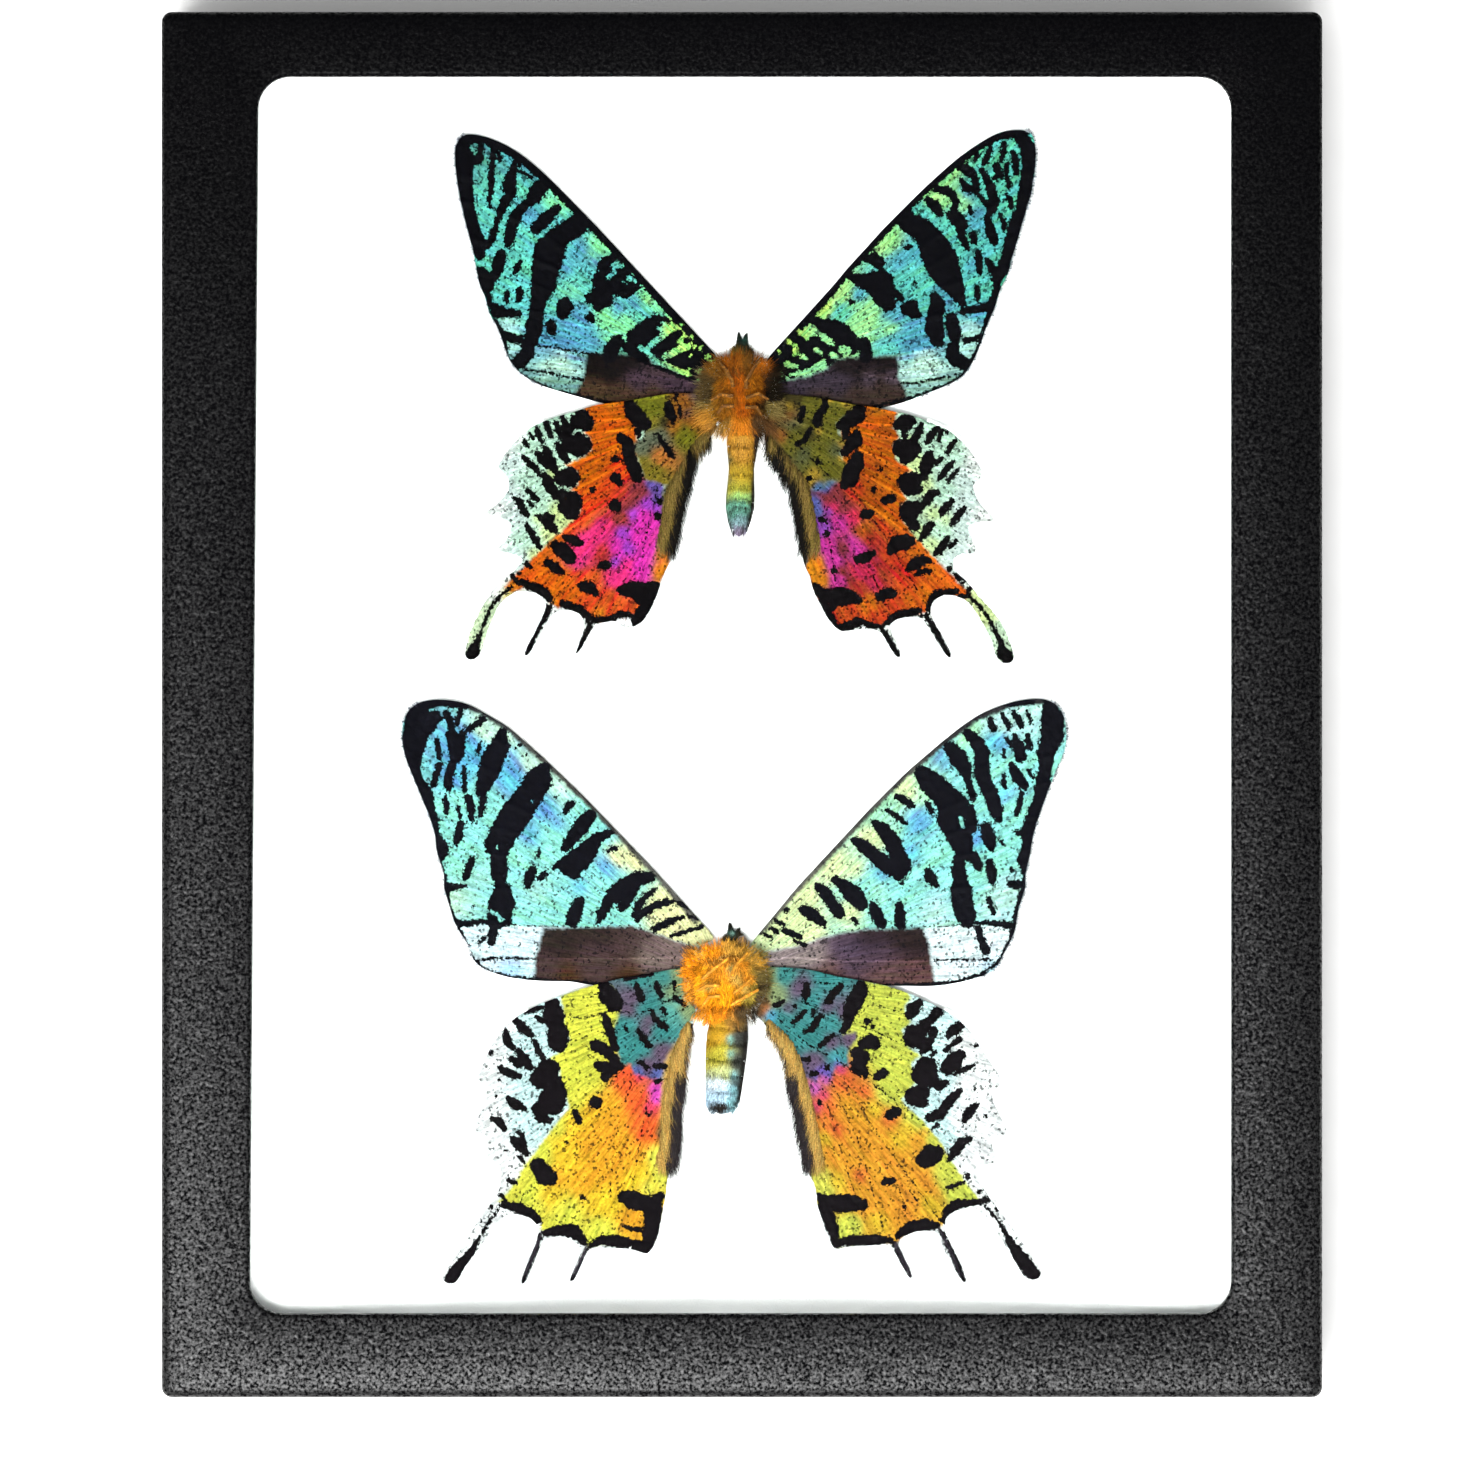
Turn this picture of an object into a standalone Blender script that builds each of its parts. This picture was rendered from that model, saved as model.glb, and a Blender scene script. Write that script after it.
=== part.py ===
"""A glazed specimen case with two spread sunset moths, seen from the underside.

The case lies on its back. A shallow card tray holds a bed of soft batting, and the two
moths lie on it, one above the other. A card lid with a glass pane telescopes over the tray.
X runs to the right, +Y towards the top edge of the case, +Z out of the glass. The origin is
the centre of the back face. All sizes below are in millimetres, and each moth's own points
are measured from the middle of its thorax.
"""

import math

import bmesh
import bpy
from mathutils import Matrix, Vector

MM = 0.001
GAP = 0.3
MERGE = 0.00001

# Case
CASE_WIDTH = 160.0
CASE_HEIGHT = 191.0
CASE_DEPTH = 19.0
LID_WALL = 1.6
LID_CARD = 1.7
LID_EDGE_ROUNDING = 1.4
LID_SKIRT_BOTTOM = 1.2
TRAY_WALL = 1.2
TRAY_FLOOR = 1.2
GLASS_THICKNESS = 2.0

WINDOW_TOP = 86.5
WINDOW_BOTTOM = -83.9
WINDOW_RIGHT = 67.4
WINDOW_LEFT_TOP = -66.7
WINDOW_LEFT_BOTTOM = -67.8
WINDOW_CORNER = 4.4

GLASS_TOP = CASE_DEPTH - LID_CARD - GAP
GLASS_BOTTOM = GLASS_TOP - GLASS_THICKNESS
TRAY_TOP = GLASS_BOTTOM - GAP
POCKET_WIDTH = CASE_WIDTH - 2 * LID_WALL
POCKET_HEIGHT = CASE_HEIGHT - 2 * LID_WALL
TRAY_WIDTH = POCKET_WIDTH - 2 * GAP
TRAY_HEIGHT = POCKET_HEIGHT - 2 * GAP
BED_WIDTH = TRAY_WIDTH - 2 * TRAY_WALL - 2 * GAP
BED_HEIGHT = TRAY_HEIGHT - 2 * TRAY_WALL - 2 * GAP

# Wings: flat at the body, bowed gently up towards the glass at their tips
WING_THICKNESS = 0.3
FOREWING_BASE = 10.6
HINDWING_BASE = FOREWING_BASE + WING_THICKNESS + GAP
WING_RISE = 2.6
WING_RISE_AT = 45.0
WING_STRIP = 5.0

# Batting: a dish that follows the wings and fills the case up to the glass outside them
BED_BOTTOM = TRAY_FLOOR + GAP
BED_BELOW_WINGS = 0.4
BED_TOP = 14.3
BED_COLUMNS = 22
BED_ROWS = 26
BED_EDGE_START = 82.0
BED_EDGE_END = 90.0

# Bodies
BODY_LEVEL = 10.6
ABDOMEN_LEVEL = 10.7
PALP_LEVEL = 10.9
PALP_ROOT_RADIUS = 0.6
PALP_TIP_RADIUS = 0.2
CLEARANCE = 0.35
LEG_RADIUS = 0.28
LEG_TAPER = 0.7
LEG_HEIGHT = LEG_RADIUS + GAP + 0.1

LOWER_LEFT_FOREWING = [
    (-1.5, 3.0), (-1.2, 5.7), (-3.4, 8.2), (-10, 15.5), (-15, 20.6), (-20, 25.9), (-25, 30.7),
    (-30, 35.1), (-35, 38.05), (-37.1, 38.75), (-40, 39), (-42.5, 38.6), (-43.9, 37.5),
    (-44.6, 35.8), (-44.8, 33.8), (-44.5, 31.6), (-43.6, 29), (-42.5, 26.5), (-41.6, 24.2),
    (-40.9, 22.5), (-40.2, 20.3), (-40, 17.9), (-39.3, 15.8), (-38.8, 14.4), (-39.1, 13),
    (-38.3, 10.7), (-37.6, 8.15), (-36.3, 5.9), (-35.4, 4.8), (-35, 2.9), (-34, 1.95),
    (-32.3, 1.1), (-30.1, 0.45), (-27.3, 0.05), (-24.5, -0.1), (-21.6, -0.1), (-18.8, -0.6),
    (-15, -1.1), (-10, -1.3), (-6, -1.2), (-3, -0.5),
]

LOWER_RIGHT_FOREWING = [
    (2.5, 2.5), (3.3, 4.9), (5, 7), (10, 13), (15, 18.3), (20, 23.8), (25, 28.8), (30, 33.1),
    (32.5, 35.1), (35, 36.8), (37.2, 37.8), (40, 38.7), (42.2, 39.05), (44.2, 39), (45.7, 38.4),
    (46.6, 37.4), (47, 35.9), (47.2, 34.1), (47.1, 32.6), (46.6, 30.9), (45.7, 29.1), (45, 27.3),
    (44.4, 25.6), (43.1, 22), (42.3, 19.1), (42.2, 17.6), (41.4, 14.4), (41.6, 12.9),
    (40.7, 10.5), (40.3, 8.75), (40.2, 7.3), (39.7, 5.8), (38.8, 4.3), (38.1, 3), (37.8, 2),
    (36.6, 1.1), (34.8, 0.35), (32.8, -0.15), (30, -0.7), (27.5, -0.8), (25, -0.75),
    (22.4, -0.7), (20, -1), (15, -1.2), (10, -1), (6, -0.6), (3, -0.5),
]

LOWER_LEFT_HINDWING = [
    (-3.2, 1.2), (-4.9, 2), (-10, 1.1), (-15, 0.2), (-17.4, -0.4), (-20, -1.1), (-22.3, -1.85),
    (-25.9, -3.3), (-27.6, -4.1), (-29.1, -5.1), (-30.4, -6.1), (-31.5, -7.6), (-32.5, -9.1),
    (-33.4, -11.2), (-34.5, -13.4), (-32.9, -15), (-33.6, -17.4), (-35.2, -20.9), (-32.9, -21.2),
    (-33.2, -24.6), (-31.4, -25.2), (-31, -27), (-31.5, -29.5), (-33.2, -31.6), (-35.2, -34.6),
    (-37.3, -38.1), (-39.3, -40.5), (-39.3, -41.4), (-38.1, -42.1), (-37.2, -41.7),
    (-36.2, -39.9), (-34.6, -37.7), (-33, -35.6), (-31.6, -33.6), (-30.3, -32.3), (-28.2, -32.4),
    (-26.8, -33), (-25.9, -33.9), (-26.1, -35.9), (-27.4, -39), (-28.5, -41.6), (-28.4, -42.4),
    (-27.8, -42.2), (-26.6, -39.4), (-25.1, -35.6), (-23.5, -35.5), (-22, -35.5), (-20.9, -36.2),
    (-19.9, -37.1), (-20.9, -39.6), (-21.8, -41.5), (-21.5, -42), (-21, -41.6), (-20, -39.4),
    (-18.9, -37), (-16.7, -37.1), (-13.2, -37.1), (-11.7, -37.7), (-10.8, -38.1), (-9.9, -36.8),
    (-9.3, -35.3), (-9, -33.6), (-8.6, -31.5), (-8.2, -29.3), (-8, -26.8), (-7.2, -26),
    (-6.3, -23.5), (-6.1, -20.6), (-6.1, -17.6), (-5.5, -14.7), (-5.5, -11.7), (-5.2, -8),
    (-4.9, -6.8), (-4.2, -5.8), (-3.2, -2.5),
]

LOWER_RIGHT_HINDWING = [
    (3.4, 1), (5.6, 1.9), (10, 1.75), (12.7, 1.3), (15, 0.65), (17.7, 0.2), (20, -0.25),
    (22.4, -0.7), (25, -1.55), (27.4, -2.6), (30, -3.9), (32.2, -5.1), (33.9, -7), (35.4, -9.4),
    (36.9, -11.7), (38.6, -13.9), (36.6, -15.6), (37.8, -18.4), (39.4, -21.4), (36.5, -21.3),
    (37.6, -25.4), (34.6, -25.4), (34.9, -27.6), (36.6, -30), (38.6, -32.6), (40.6, -35.5),
    (42.8, -38.6), (43.9, -40.2), (43.7, -41), (42.8, -41.5), (41.3, -41.2), (40.4, -39.5),
    (38.9, -37.1), (37.2, -34.3), (35.6, -32.2), (34.4, -31.4), (33, -31.5), (31.3, -32.1),
    (30.4, -33), (30.4, -34.8), (31.9, -37.8), (33.4, -41), (33.4, -42), (32.9, -42),
    (31.4, -39.5), (30, -36.9), (29.3, -34.7), (26.8, -34.6), (25.4, -35.05), (24, -35.8),
    (23.9, -36.6), (25, -38.8), (26, -40.9), (25.9, -41.5), (25.4, -41.3), (24, -38.9),
    (22.9, -36.6), (20.4, -36.7), (17.1, -36.9), (15, -37.5), (14.45, -36.2), (13.7, -34.5),
    (13.1, -32.4), (12.5, -30.6), (12.6, -29.4), (12.2, -28), (11.6, -26.8), (11, -26.2),
    (10.2, -22), (9.4, -17.8), (8.5, -14.8), (8.3, -11.8), (8.1, -10), (7.1, -8), (5.4, -6),
    (4.4, -5.2), (3.4, -2.5),
]

UPPER_LEFT_FOREWING = [
    (-2, 2.5), (-3, 4.9), (-5, 7), (-10, 12.4), (-15, 17.9), (-20, 23.2), (-25, 28.3),
    (-27.5, 30.7), (-30, 32.8), (-32.5, 34.3), (-35, 35.3), (-36.3, 35.6), (-37.6, 35.7),
    (-38.5, 35.5), (-39.1, 34.7), (-39.4, 33.5), (-39.4, 31.7), (-38.9, 27.8), (-38, 23.6),
    (-36.9, 19.6), (-36.3, 16.2), (-36, 14.6), (-35.2, 13.3), (-34.7, 10.7), (-33.8, 9.6),
    (-32.8, 7), (-31.9, 4.35), (-30.5, 2.65), (-29.2, 1.75), (-27.3, 0.8), (-25, 0.1),
    (-22.5, -0.6), (-20, -1.3), (-17, -2), (-13, -2.3), (-9, -2.1), (-5.5, -1.8), (-3, -1),
]

UPPER_RIGHT_FOREWING = [
    (2.5, 2.5), (4.1, 5), (8.3, 9.6), (12.55, 14.3), (15, 17.2), (20, 22.7), (25, 27.7),
    (27.5, 30), (30, 32.2), (32.5, 34), (35, 35.5), (36.7, 36.1), (38.3, 36.3), (39.7, 36.2),
    (40.5, 35.7), (40.9, 34.7), (41, 33), (41, 31.4), (40.4, 27.5), (39.3, 23.7), (38.1, 19.8),
    (37.1, 16.1), (35.85, 13.8), (35.6, 12.1), (34.2, 9.1), (33.1, 5.8), (31.7, 3), (30.5, 1.8),
    (28.5, 0.8), (25, -0.6), (23.2, -1.3), (21, -1.9), (18, -2.6), (13, -2.6), (8, -2.2),
    (3, -1.2),
]

UPPER_LEFT_HINDWING = [
    (-3.2, 0.2), (-5, -0.1), (-10, -0.2), (-15, -1.15), (-20, -1.8), (-22.8, -2.7), (-25, -3.3),
    (-27.1, -4), (-28.7, -4.8), (-30, -5.7), (-31.4, -7.2), (-32.6, -8.8), (-33.7, -10.5),
    (-32.2, -11.4), (-31.6, -13), (-33.2, -15.4), (-35.6, -16.9), (-33.2, -17.3), (-31.3, -18.4),
    (-32.4, -20.7), (-34, -22), (-31.8, -22.3), (-29.8, -23.1), (-31.1, -24.7), (-33.3, -26.4),
    (-34.6, -28), (-35.7, -29.9), (-36.8, -32), (-37.6, -34.1), (-38.1, -36), (-37.9, -37),
    (-36.9, -37.3), (-36.1, -36.9), (-35.4, -35.2), (-34.9, -33.4), (-34.2, -31.5),
    (-33.3, -29.5), (-31.9, -28.2), (-30.7, -27.5), (-28.2, -27.8), (-27.2, -28.5),
    (-26.6, -29.6), (-28, -32.5), (-29.5, -35.4), (-30.1, -36.8), (-29.3, -36.7), (-27.3, -33.2),
    (-25.9, -30.6), (-23.9, -30.1), (-22.5, -30.5), (-21.6, -31.3), (-21.5, -33), (-22.2, -34.4),
    (-22.9, -36.6), (-22.3, -36.3), (-21.2, -34.3), (-20.1, -32.3), (-18.5, -31.8),
    (-17.4, -31.8), (-16.3, -32.5), (-15.2, -32.8), (-14.4, -32.6), (-13.35, -31.8),
    (-12.4, -30.4), (-11.6, -28.6), (-10.9, -26.6), (-10.4, -25), (-9.5, -23.4), (-8.4, -19.8),
    (-7.9, -17.5), (-7.4, -14.5), (-6.3, -10.8), (-5.7, -8.3), (-4.9, -6.9), (-3.3, -5.6),
    (-2.6, -3.5),
]

UPPER_RIGHT_HINDWING = [
    (3.4, -0.2), (6.2, -0.2), (10.8, -0.75), (15, -1.6), (19.4, -2.25), (23.2, -3), (25, -3.6),
    (26.9, -4.4), (28.6, -5.1), (29.9, -5.9), (31.25, -7.2), (32.3, -8.6), (33.9, -11.6),
    (32.1, -12.9), (33.2, -15.6), (35.7, -17.9), (33.3, -18), (31.5, -18.5), (33, -22.5),
    (29.9, -22.4), (29.3, -24), (31.8, -26.6), (33.1, -28.25), (34.7, -29.9), (36.1, -31.75),
    (37.2, -33.9), (37.9, -36.1), (38.1, -37.1), (37.6, -37.8), (36.8, -37.9), (36, -37.5),
    (35.4, -36.6), (35, -34.7), (33.6, -32), (32.6, -30.4), (31.6, -29), (30.7, -28.6),
    (29.1, -28), (27.3, -28.5), (26.6, -29.3), (26.3, -30.4), (26.8, -31.5), (28.2, -33.9),
    (29.3, -36), (29.5, -37.1), (28.9, -37), (27.5, -35), (25.9, -32.3), (25.1, -31.1),
    (22.1, -31.3), (21, -31.9), (20.8, -32.8), (21.7, -34.4), (22.5, -36.6), (22.3, -37.1),
    (21.7, -36.9), (20.5, -34.9), (19.4, -33), (17.2, -32.8), (15.6, -33.1), (14, -33.3),
    (13.2, -32.6), (12.1, -31.3), (11.2, -29.5), (10.3, -28), (9.6, -25.2), (9, -24.3),
    (8.35, -21.2), (7.7, -17.5), (6.8, -12.9), (5.6, -10.9), (4.7, -9.2), (4, -8), (3.5, -7.2),
    (3.5, -5.6), (3, -3.5),
]

# Each moth: thorax centre in the case, half-sizes of the thorax, the abdomen's profile as
# (distance behind the thorax centre, radius), and the routes of the folded legs
MOTHS = {
    "upper_moth": {
        "centre": (-0.34, 43.31),
        "thorax": (5.0, 5.4, 3.2),
        "head": ((0.3, 4.9), 1.7),
        "palp_tips": [(-0.05, 8.1), (0.85, 8.0)],
        "abdomen_start": 0.7,
        "abdomen_turn": -2.3,
        "abdomen": [
            (4.0, 0), (4.0, 2.4), (6.0, 2.35), (8.0, 2.0), (10.0, 1.7), (12.0, 1.8),
            (14.0, 1.95), (15.6, 1.95), (17.2, 1.6), (18.6, 1.15), (19.6, 0.65), (20.1, 0),
        ],
        "legs": {
            "left_foreleg": [(-0.9, 0.6), (-1.1, 1.6), (-1.9, 3.0), (-2.7, 4.1)],
            "left_midleg": [(-0.9, -0.7), (-2.6, -0.4), (-3.9, -1.2)],
            "left_hindleg": [(-0.8, -2.0), (-2.3, -2.0), (-3.0, -3.0)],
            "right_foreleg": [(0.9, 0.4), (0.9, 1.4), (1.9, 3.1), (3.0, 4.7)],
            "right_midleg": [(0.9, -0.9), (2.6, -0.3), (3.9, -1.1)],
            "right_hindleg": [(0.8, -2.2), (2.3, -2.1), (3.0, -3.1)],
        },
        "wings": {
            "left_forewing": (UPPER_LEFT_FOREWING, FOREWING_BASE),
            "right_forewing": (UPPER_RIGHT_FOREWING, FOREWING_BASE),
            "left_hindwing": (UPPER_LEFT_HINDWING, HINDWING_BASE),
            "right_hindwing": (UPPER_RIGHT_HINDWING, HINDWING_BASE),
        },
    },
    "lower_moth": {
        "centre": (-2.27, -38.21),
        "thorax": (5.8, 5.6, 3.2),
        "head": ((1.2, 4.9), 1.9),
        "palp_tips": [(0.65, 7.9), (1.7, 7.2)],
        "abdomen_start": 0.85,
        "abdomen_turn": -4.3,
        "abdomen": [
            (4.2, 0), (4.2, 2.8), (6.0, 2.9), (8.0, 2.9), (10.0, 2.85), (13.0, 2.65),
            (15.0, 2.4), (16.6, 2.1), (17.8, 1.7), (18.5, 1.1), (18.6, 0),
        ],
        "legs": {
            "left_foreleg": [(-3.2, 0.3), (-2.2, 1.2), (-0.8, 2.3), (0.3, 3.1)],
            "left_midleg": [(-0.9, -0.6), (-2.6, -0.6), (-4.0, -1.4)],
            "left_hindleg": [(-0.8, -2.0), (-2.3, -2.2), (-3.1, -3.3)],
            "right_foreleg": [(0.9, 0.7), (1.3, 2.0), (2.2, 3.0), (3.1, 3.9)],
            "right_midleg": [(1.1, -1.7), (2.2, -0.9), (3.5, 0.2)],
            "right_hindleg": [(0.8, -3.3), (2.0, -2.6), (3.4, -1.8), (4.5, -1.2)],
        },
        "wings": {
            "left_forewing": (LOWER_LEFT_FOREWING, FOREWING_BASE),
            "right_forewing": (LOWER_RIGHT_FOREWING, FOREWING_BASE),
            "left_hindwing": (LOWER_LEFT_HINDWING, HINDWING_BASE),
            "right_hindwing": (LOWER_RIGHT_HINDWING, HINDWING_BASE),
        },
    },
}

# Finish of each kind of piece: colour, roughness and how much light passes through
FINISHES = {
    "black_card": ("1A1A1A", 0.55, 0.0),
    "tray_card": ("24211F", 0.75, 0.0),
    "clear_glass": ("F4F8F6", 0.02, 1.0),
    "white_batting": ("F4F4F2", 0.95, 0.0),
    "moth_fur": ("C8741C", 0.8, 0.0),
    "moth_leg": ("5A3A1C", 0.6, 0.0),
    "upper_forewing_scales": ("3E8C74", 0.4, 0.0),
    "upper_hindwing_scales": ("B8481E", 0.4, 0.0),
    "lower_forewing_scales": ("5FB4B8", 0.4, 0.0),
    "lower_hindwing_scales": ("E07A2A", 0.4, 0.0),
}


def clear_scene():
    for item in list(bpy.data.objects):
        bpy.data.objects.remove(item, do_unlink=True)


def new_collection(name):
    collection = bpy.data.collections.new(name)
    bpy.context.scene.collection.children.link(collection)
    return collection


def to_linear(hex_colour):
    """Turn an sRGB hex value into linear red, green, blue and alpha."""
    values = [int(hex_colour[i:i + 2], 16) / 255 for i in (0, 2, 4)]
    return [v / 12.92 if v <= 0.04045 else ((v + 0.055) / 1.055) ** 2.4 for v in values] + [1.0]


def finish(name):
    """The Principled material of a finish, made the first time it is asked for."""
    if name in bpy.data.materials:
        return bpy.data.materials[name]
    colour, roughness, transmission = FINISHES[name]
    material = bpy.data.materials.new(name)
    material.use_nodes = True
    shader = material.node_tree.nodes["Principled BSDF"]
    shader.inputs["Base Color"].default_value = to_linear(colour)
    shader.inputs["Roughness"].default_value = roughness
    shader.inputs["Metallic"].default_value = 0.0
    shader.inputs["Transmission Weight"].default_value = transmission
    return material


def add_object(name, data, collection, finish_name=None):
    item = bpy.data.objects.new(name, data)
    collection.objects.link(item)
    if finish_name:
        data.materials.append(finish(finish_name))
    return item


def mesh_from(bm, name):
    mesh = bpy.data.meshes.new(name)
    bm.to_mesh(mesh)
    bm.free()
    return mesh


def block(size, low_corner):
    """A box as a bmesh, from its size and its lowest corner in millimetres."""
    bm = bmesh.new()
    bmesh.ops.create_cube(bm, size=1)
    bmesh.ops.scale(bm, vec=Vector(size) * MM, verts=bm.verts)
    middle = (Vector(low_corner) + Vector(size) / 2) * MM
    bmesh.ops.translate(bm, vec=middle, verts=bm.verts)
    return bm


def centred_block(width, height, bottom, top):
    return block((width, height, top - bottom), (-width / 2, -height / 2, bottom))


def hide_cutter(item):
    item.hide_render = True
    item.display_type = "WIRE"


def cut(item, cutter, operation="DIFFERENCE"):
    modifier = item.modifiers.new(f"{operation.lower()}_{cutter.name}", "BOOLEAN")
    modifier.operation = operation
    modifier.solver = "EXACT"
    modifier.object = cutter


def plate(name, outline, bottom, thickness):
    """A flat plate of the given outline, made as a filled curve and turned into a mesh."""
    curve = bpy.data.curves.new(name, "CURVE")
    curve.dimensions = "2D"
    curve.fill_mode = "BOTH"
    curve.extrude = thickness * MM / 2
    spline = curve.splines.new("POLY")
    spline.points.add(len(outline) - 1)
    for point, (x, y) in zip(spline.points, outline):
        point.co = (x * MM, y * MM, 0, 1)
    spline.use_cyclic_u = True
    item = bpy.data.objects.new(name + "_curve", curve)
    bpy.context.scene.collection.objects.link(item)
    bpy.context.view_layer.update()
    evaluated = item.evaluated_get(bpy.context.evaluated_depsgraph_get())
    mesh = bpy.data.meshes.new_from_object(evaluated)
    mesh.name = name
    bpy.data.objects.remove(item, do_unlink=True)
    bpy.data.curves.remove(curve)
    bm = bmesh.new()
    bm.from_mesh(mesh)
    bmesh.ops.remove_doubles(bm, verts=bm.verts, dist=MERGE)
    bmesh.ops.translate(bm, vec=(0, 0, (bottom + thickness / 2) * MM), verts=bm.verts)
    bm.to_mesh(mesh)
    bm.free()
    return mesh


def wing_rise(x):
    """How far a wing has bowed up at this distance from the case's centre line."""
    return WING_RISE * (x / WING_RISE_AT) ** 2


def rounded_outline(corners, radius, steps=6):
    """A four-cornered outline, listed anticlockwise, with an arc of the radius at each corner."""
    centre = sum((Vector(c) for c in corners), Vector((0, 0))) / len(corners)
    points = []
    for index, corner in enumerate(corners):
        start_angle = math.pi + index * math.pi / 2
        inward_x = radius if corner[0] < centre.x else -radius
        inward_y = radius if corner[1] < centre.y else -radius
        for step in range(steps + 1):
            angle = start_angle + step * math.pi / 2 / steps
            x = corner[0] + inward_x + radius * math.cos(angle)
            y = corner[1] + inward_y + radius * math.sin(angle)
            points.append((x, y))
    return points


def make_tray(parts, cutters):
    bm = centred_block(TRAY_WIDTH, TRAY_HEIGHT, 0, TRAY_TOP)
    tray = add_object("tray", mesh_from(bm, "tray"), parts, "tray_card")
    inner_width = TRAY_WIDTH - 2 * TRAY_WALL
    inner_height = TRAY_HEIGHT - 2 * TRAY_WALL
    bm = centred_block(inner_width, inner_height, TRAY_FLOOR, CASE_DEPTH)
    hollow = add_object("tray_hollow", mesh_from(bm, "tray_hollow"), cutters)
    hide_cutter(hollow)
    cut(tray, hollow)


def make_lid(parts, cutters):
    """The lid's block with rounded outer edges, hollowed from below and cut by its window."""
    bm = centred_block(CASE_WIDTH, CASE_HEIGHT, LID_SKIRT_BOTTOM, CASE_DEPTH)
    skirt_level = LID_SKIRT_BOTTOM * MM + MERGE
    outer_edges = [e for e in bm.edges if max(v.co.z for v in e.verts) > skirt_level]
    bmesh.ops.bevel(
        bm, geom=outer_edges, offset=LID_EDGE_ROUNDING * MM, segments=3, profile=0.5,
        affect="EDGES", material=-1,
    )
    lid = add_object("lid", mesh_from(bm, "lid"), parts, "black_card")

    pocket_top = CASE_DEPTH - LID_CARD
    bm = centred_block(POCKET_WIDTH, POCKET_HEIGHT, -LID_SKIRT_BOTTOM, pocket_top)
    pocket = add_object("lid_pocket", mesh_from(bm, "lid_pocket"), cutters)
    hide_cutter(pocket)
    cut(lid, pocket)

    corners = [
        (WINDOW_LEFT_BOTTOM, WINDOW_BOTTOM), (WINDOW_RIGHT, WINDOW_BOTTOM),
        (WINDOW_RIGHT, WINDOW_TOP), (WINDOW_LEFT_TOP, WINDOW_TOP),
    ]
    outline = rounded_outline(corners, WINDOW_CORNER)
    window_mesh = plate("lid_window", outline, GLASS_TOP, LID_CARD * 2)
    window = add_object("lid_window", window_mesh, cutters)
    hide_cutter(window)
    cut(lid, window)


def make_glass(parts):
    bm = centred_block(TRAY_WIDTH, TRAY_HEIGHT, GLASS_BOTTOM, GLASS_TOP)
    add_object("glass_pane", mesh_from(bm, "glass_pane"), parts, "clear_glass")


def ellipsoid(name, half_sizes, middle, collection, segments, rings):
    bm = bmesh.new()
    bmesh.ops.create_uvsphere(bm, u_segments=segments, v_segments=rings, radius=MM)
    bmesh.ops.scale(bm, vec=half_sizes, verts=bm.verts)
    bmesh.ops.translate(bm, vec=Vector(middle) * MM, verts=bm.verts)
    mesh = mesh_from(bm, name)
    mesh.shade_smooth()
    return add_object(name, mesh, collection)


def turned_abdomen(name, moth, grow, collection):
    """The abdomen's profile turned about its own axis, then laid back from the thorax."""
    profile = moth["abdomen"]
    mesh = bpy.data.meshes.new(name)
    verts = []
    for index, (behind, radius) in enumerate(profile):
        end_step = grow * ((index == len(profile) - 1) - (index < 2))
        reach = radius + grow if radius else 0
        verts.append((reach * MM, 0, -(behind + end_step) * MM))
    edges = [(i, i + 1) for i in range(len(verts) - 1)]
    mesh.from_pydata(verts, edges, [])
    item = add_object(name, mesh, collection)
    screw = item.modifiers.new("turn", "SCREW")
    screw.steps = 14
    screw.render_steps = 14
    screw.use_merge_vertices = True
    screw.merge_threshold = MERGE
    item.rotation_euler = (-math.pi / 2, 0, math.radians(moth["abdomen_turn"]))
    x, y = moth["centre"]
    item.location = Vector((x + moth["abdomen_start"], y, ABDOMEN_LEVEL)) * MM
    return item


def palp(name, moth, tip, collection):
    """One of the two short mouth feelers, a tapered rod from inside the head."""
    x, y = moth["centre"]
    (head_x, head_y), _ = moth["head"]
    root = Vector((x + (head_x + tip[0]) / 2, y + head_y, PALP_LEVEL))
    end = Vector((x + tip[0], y + tip[1], PALP_LEVEL))
    along = end - root
    bm = bmesh.new()
    bmesh.ops.create_cone(
        bm, cap_ends=True, segments=8, radius1=PALP_ROOT_RADIUS * MM,
        radius2=PALP_TIP_RADIUS * MM, depth=along.length * MM,
    )
    turn = along.to_track_quat("Z", "Y").to_matrix().to_4x4()
    middle = Matrix.Translation((root + end) / 2 * MM)
    bmesh.ops.transform(bm, matrix=middle @ turn, verts=bm.verts)
    return add_object(name, mesh_from(bm, name), collection)


def body_forms(moth_name, grow, collection):
    """Thorax, abdomen and head as overlapping forms, each larger than the body by grow."""
    moth = MOTHS[moth_name]
    x, y = moth["centre"]
    label = f"{moth_name}_{'clearance' if grow else 'form'}"
    half_sizes = [size + grow for size in moth["thorax"]]
    (head_x, head_y), head_radius = moth["head"]
    thorax = ellipsoid(f"{label}_thorax", half_sizes, (x, y, BODY_LEVEL), collection, 20, 12)
    abdomen = turned_abdomen(f"{label}_abdomen", moth, grow, collection)
    head = ellipsoid(
        f"{label}_head", [head_radius + grow] * 3, (x + head_x, y + head_y, BODY_LEVEL),
        collection, 14, 8,
    )
    return [thorax, abdomen, head]


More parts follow.
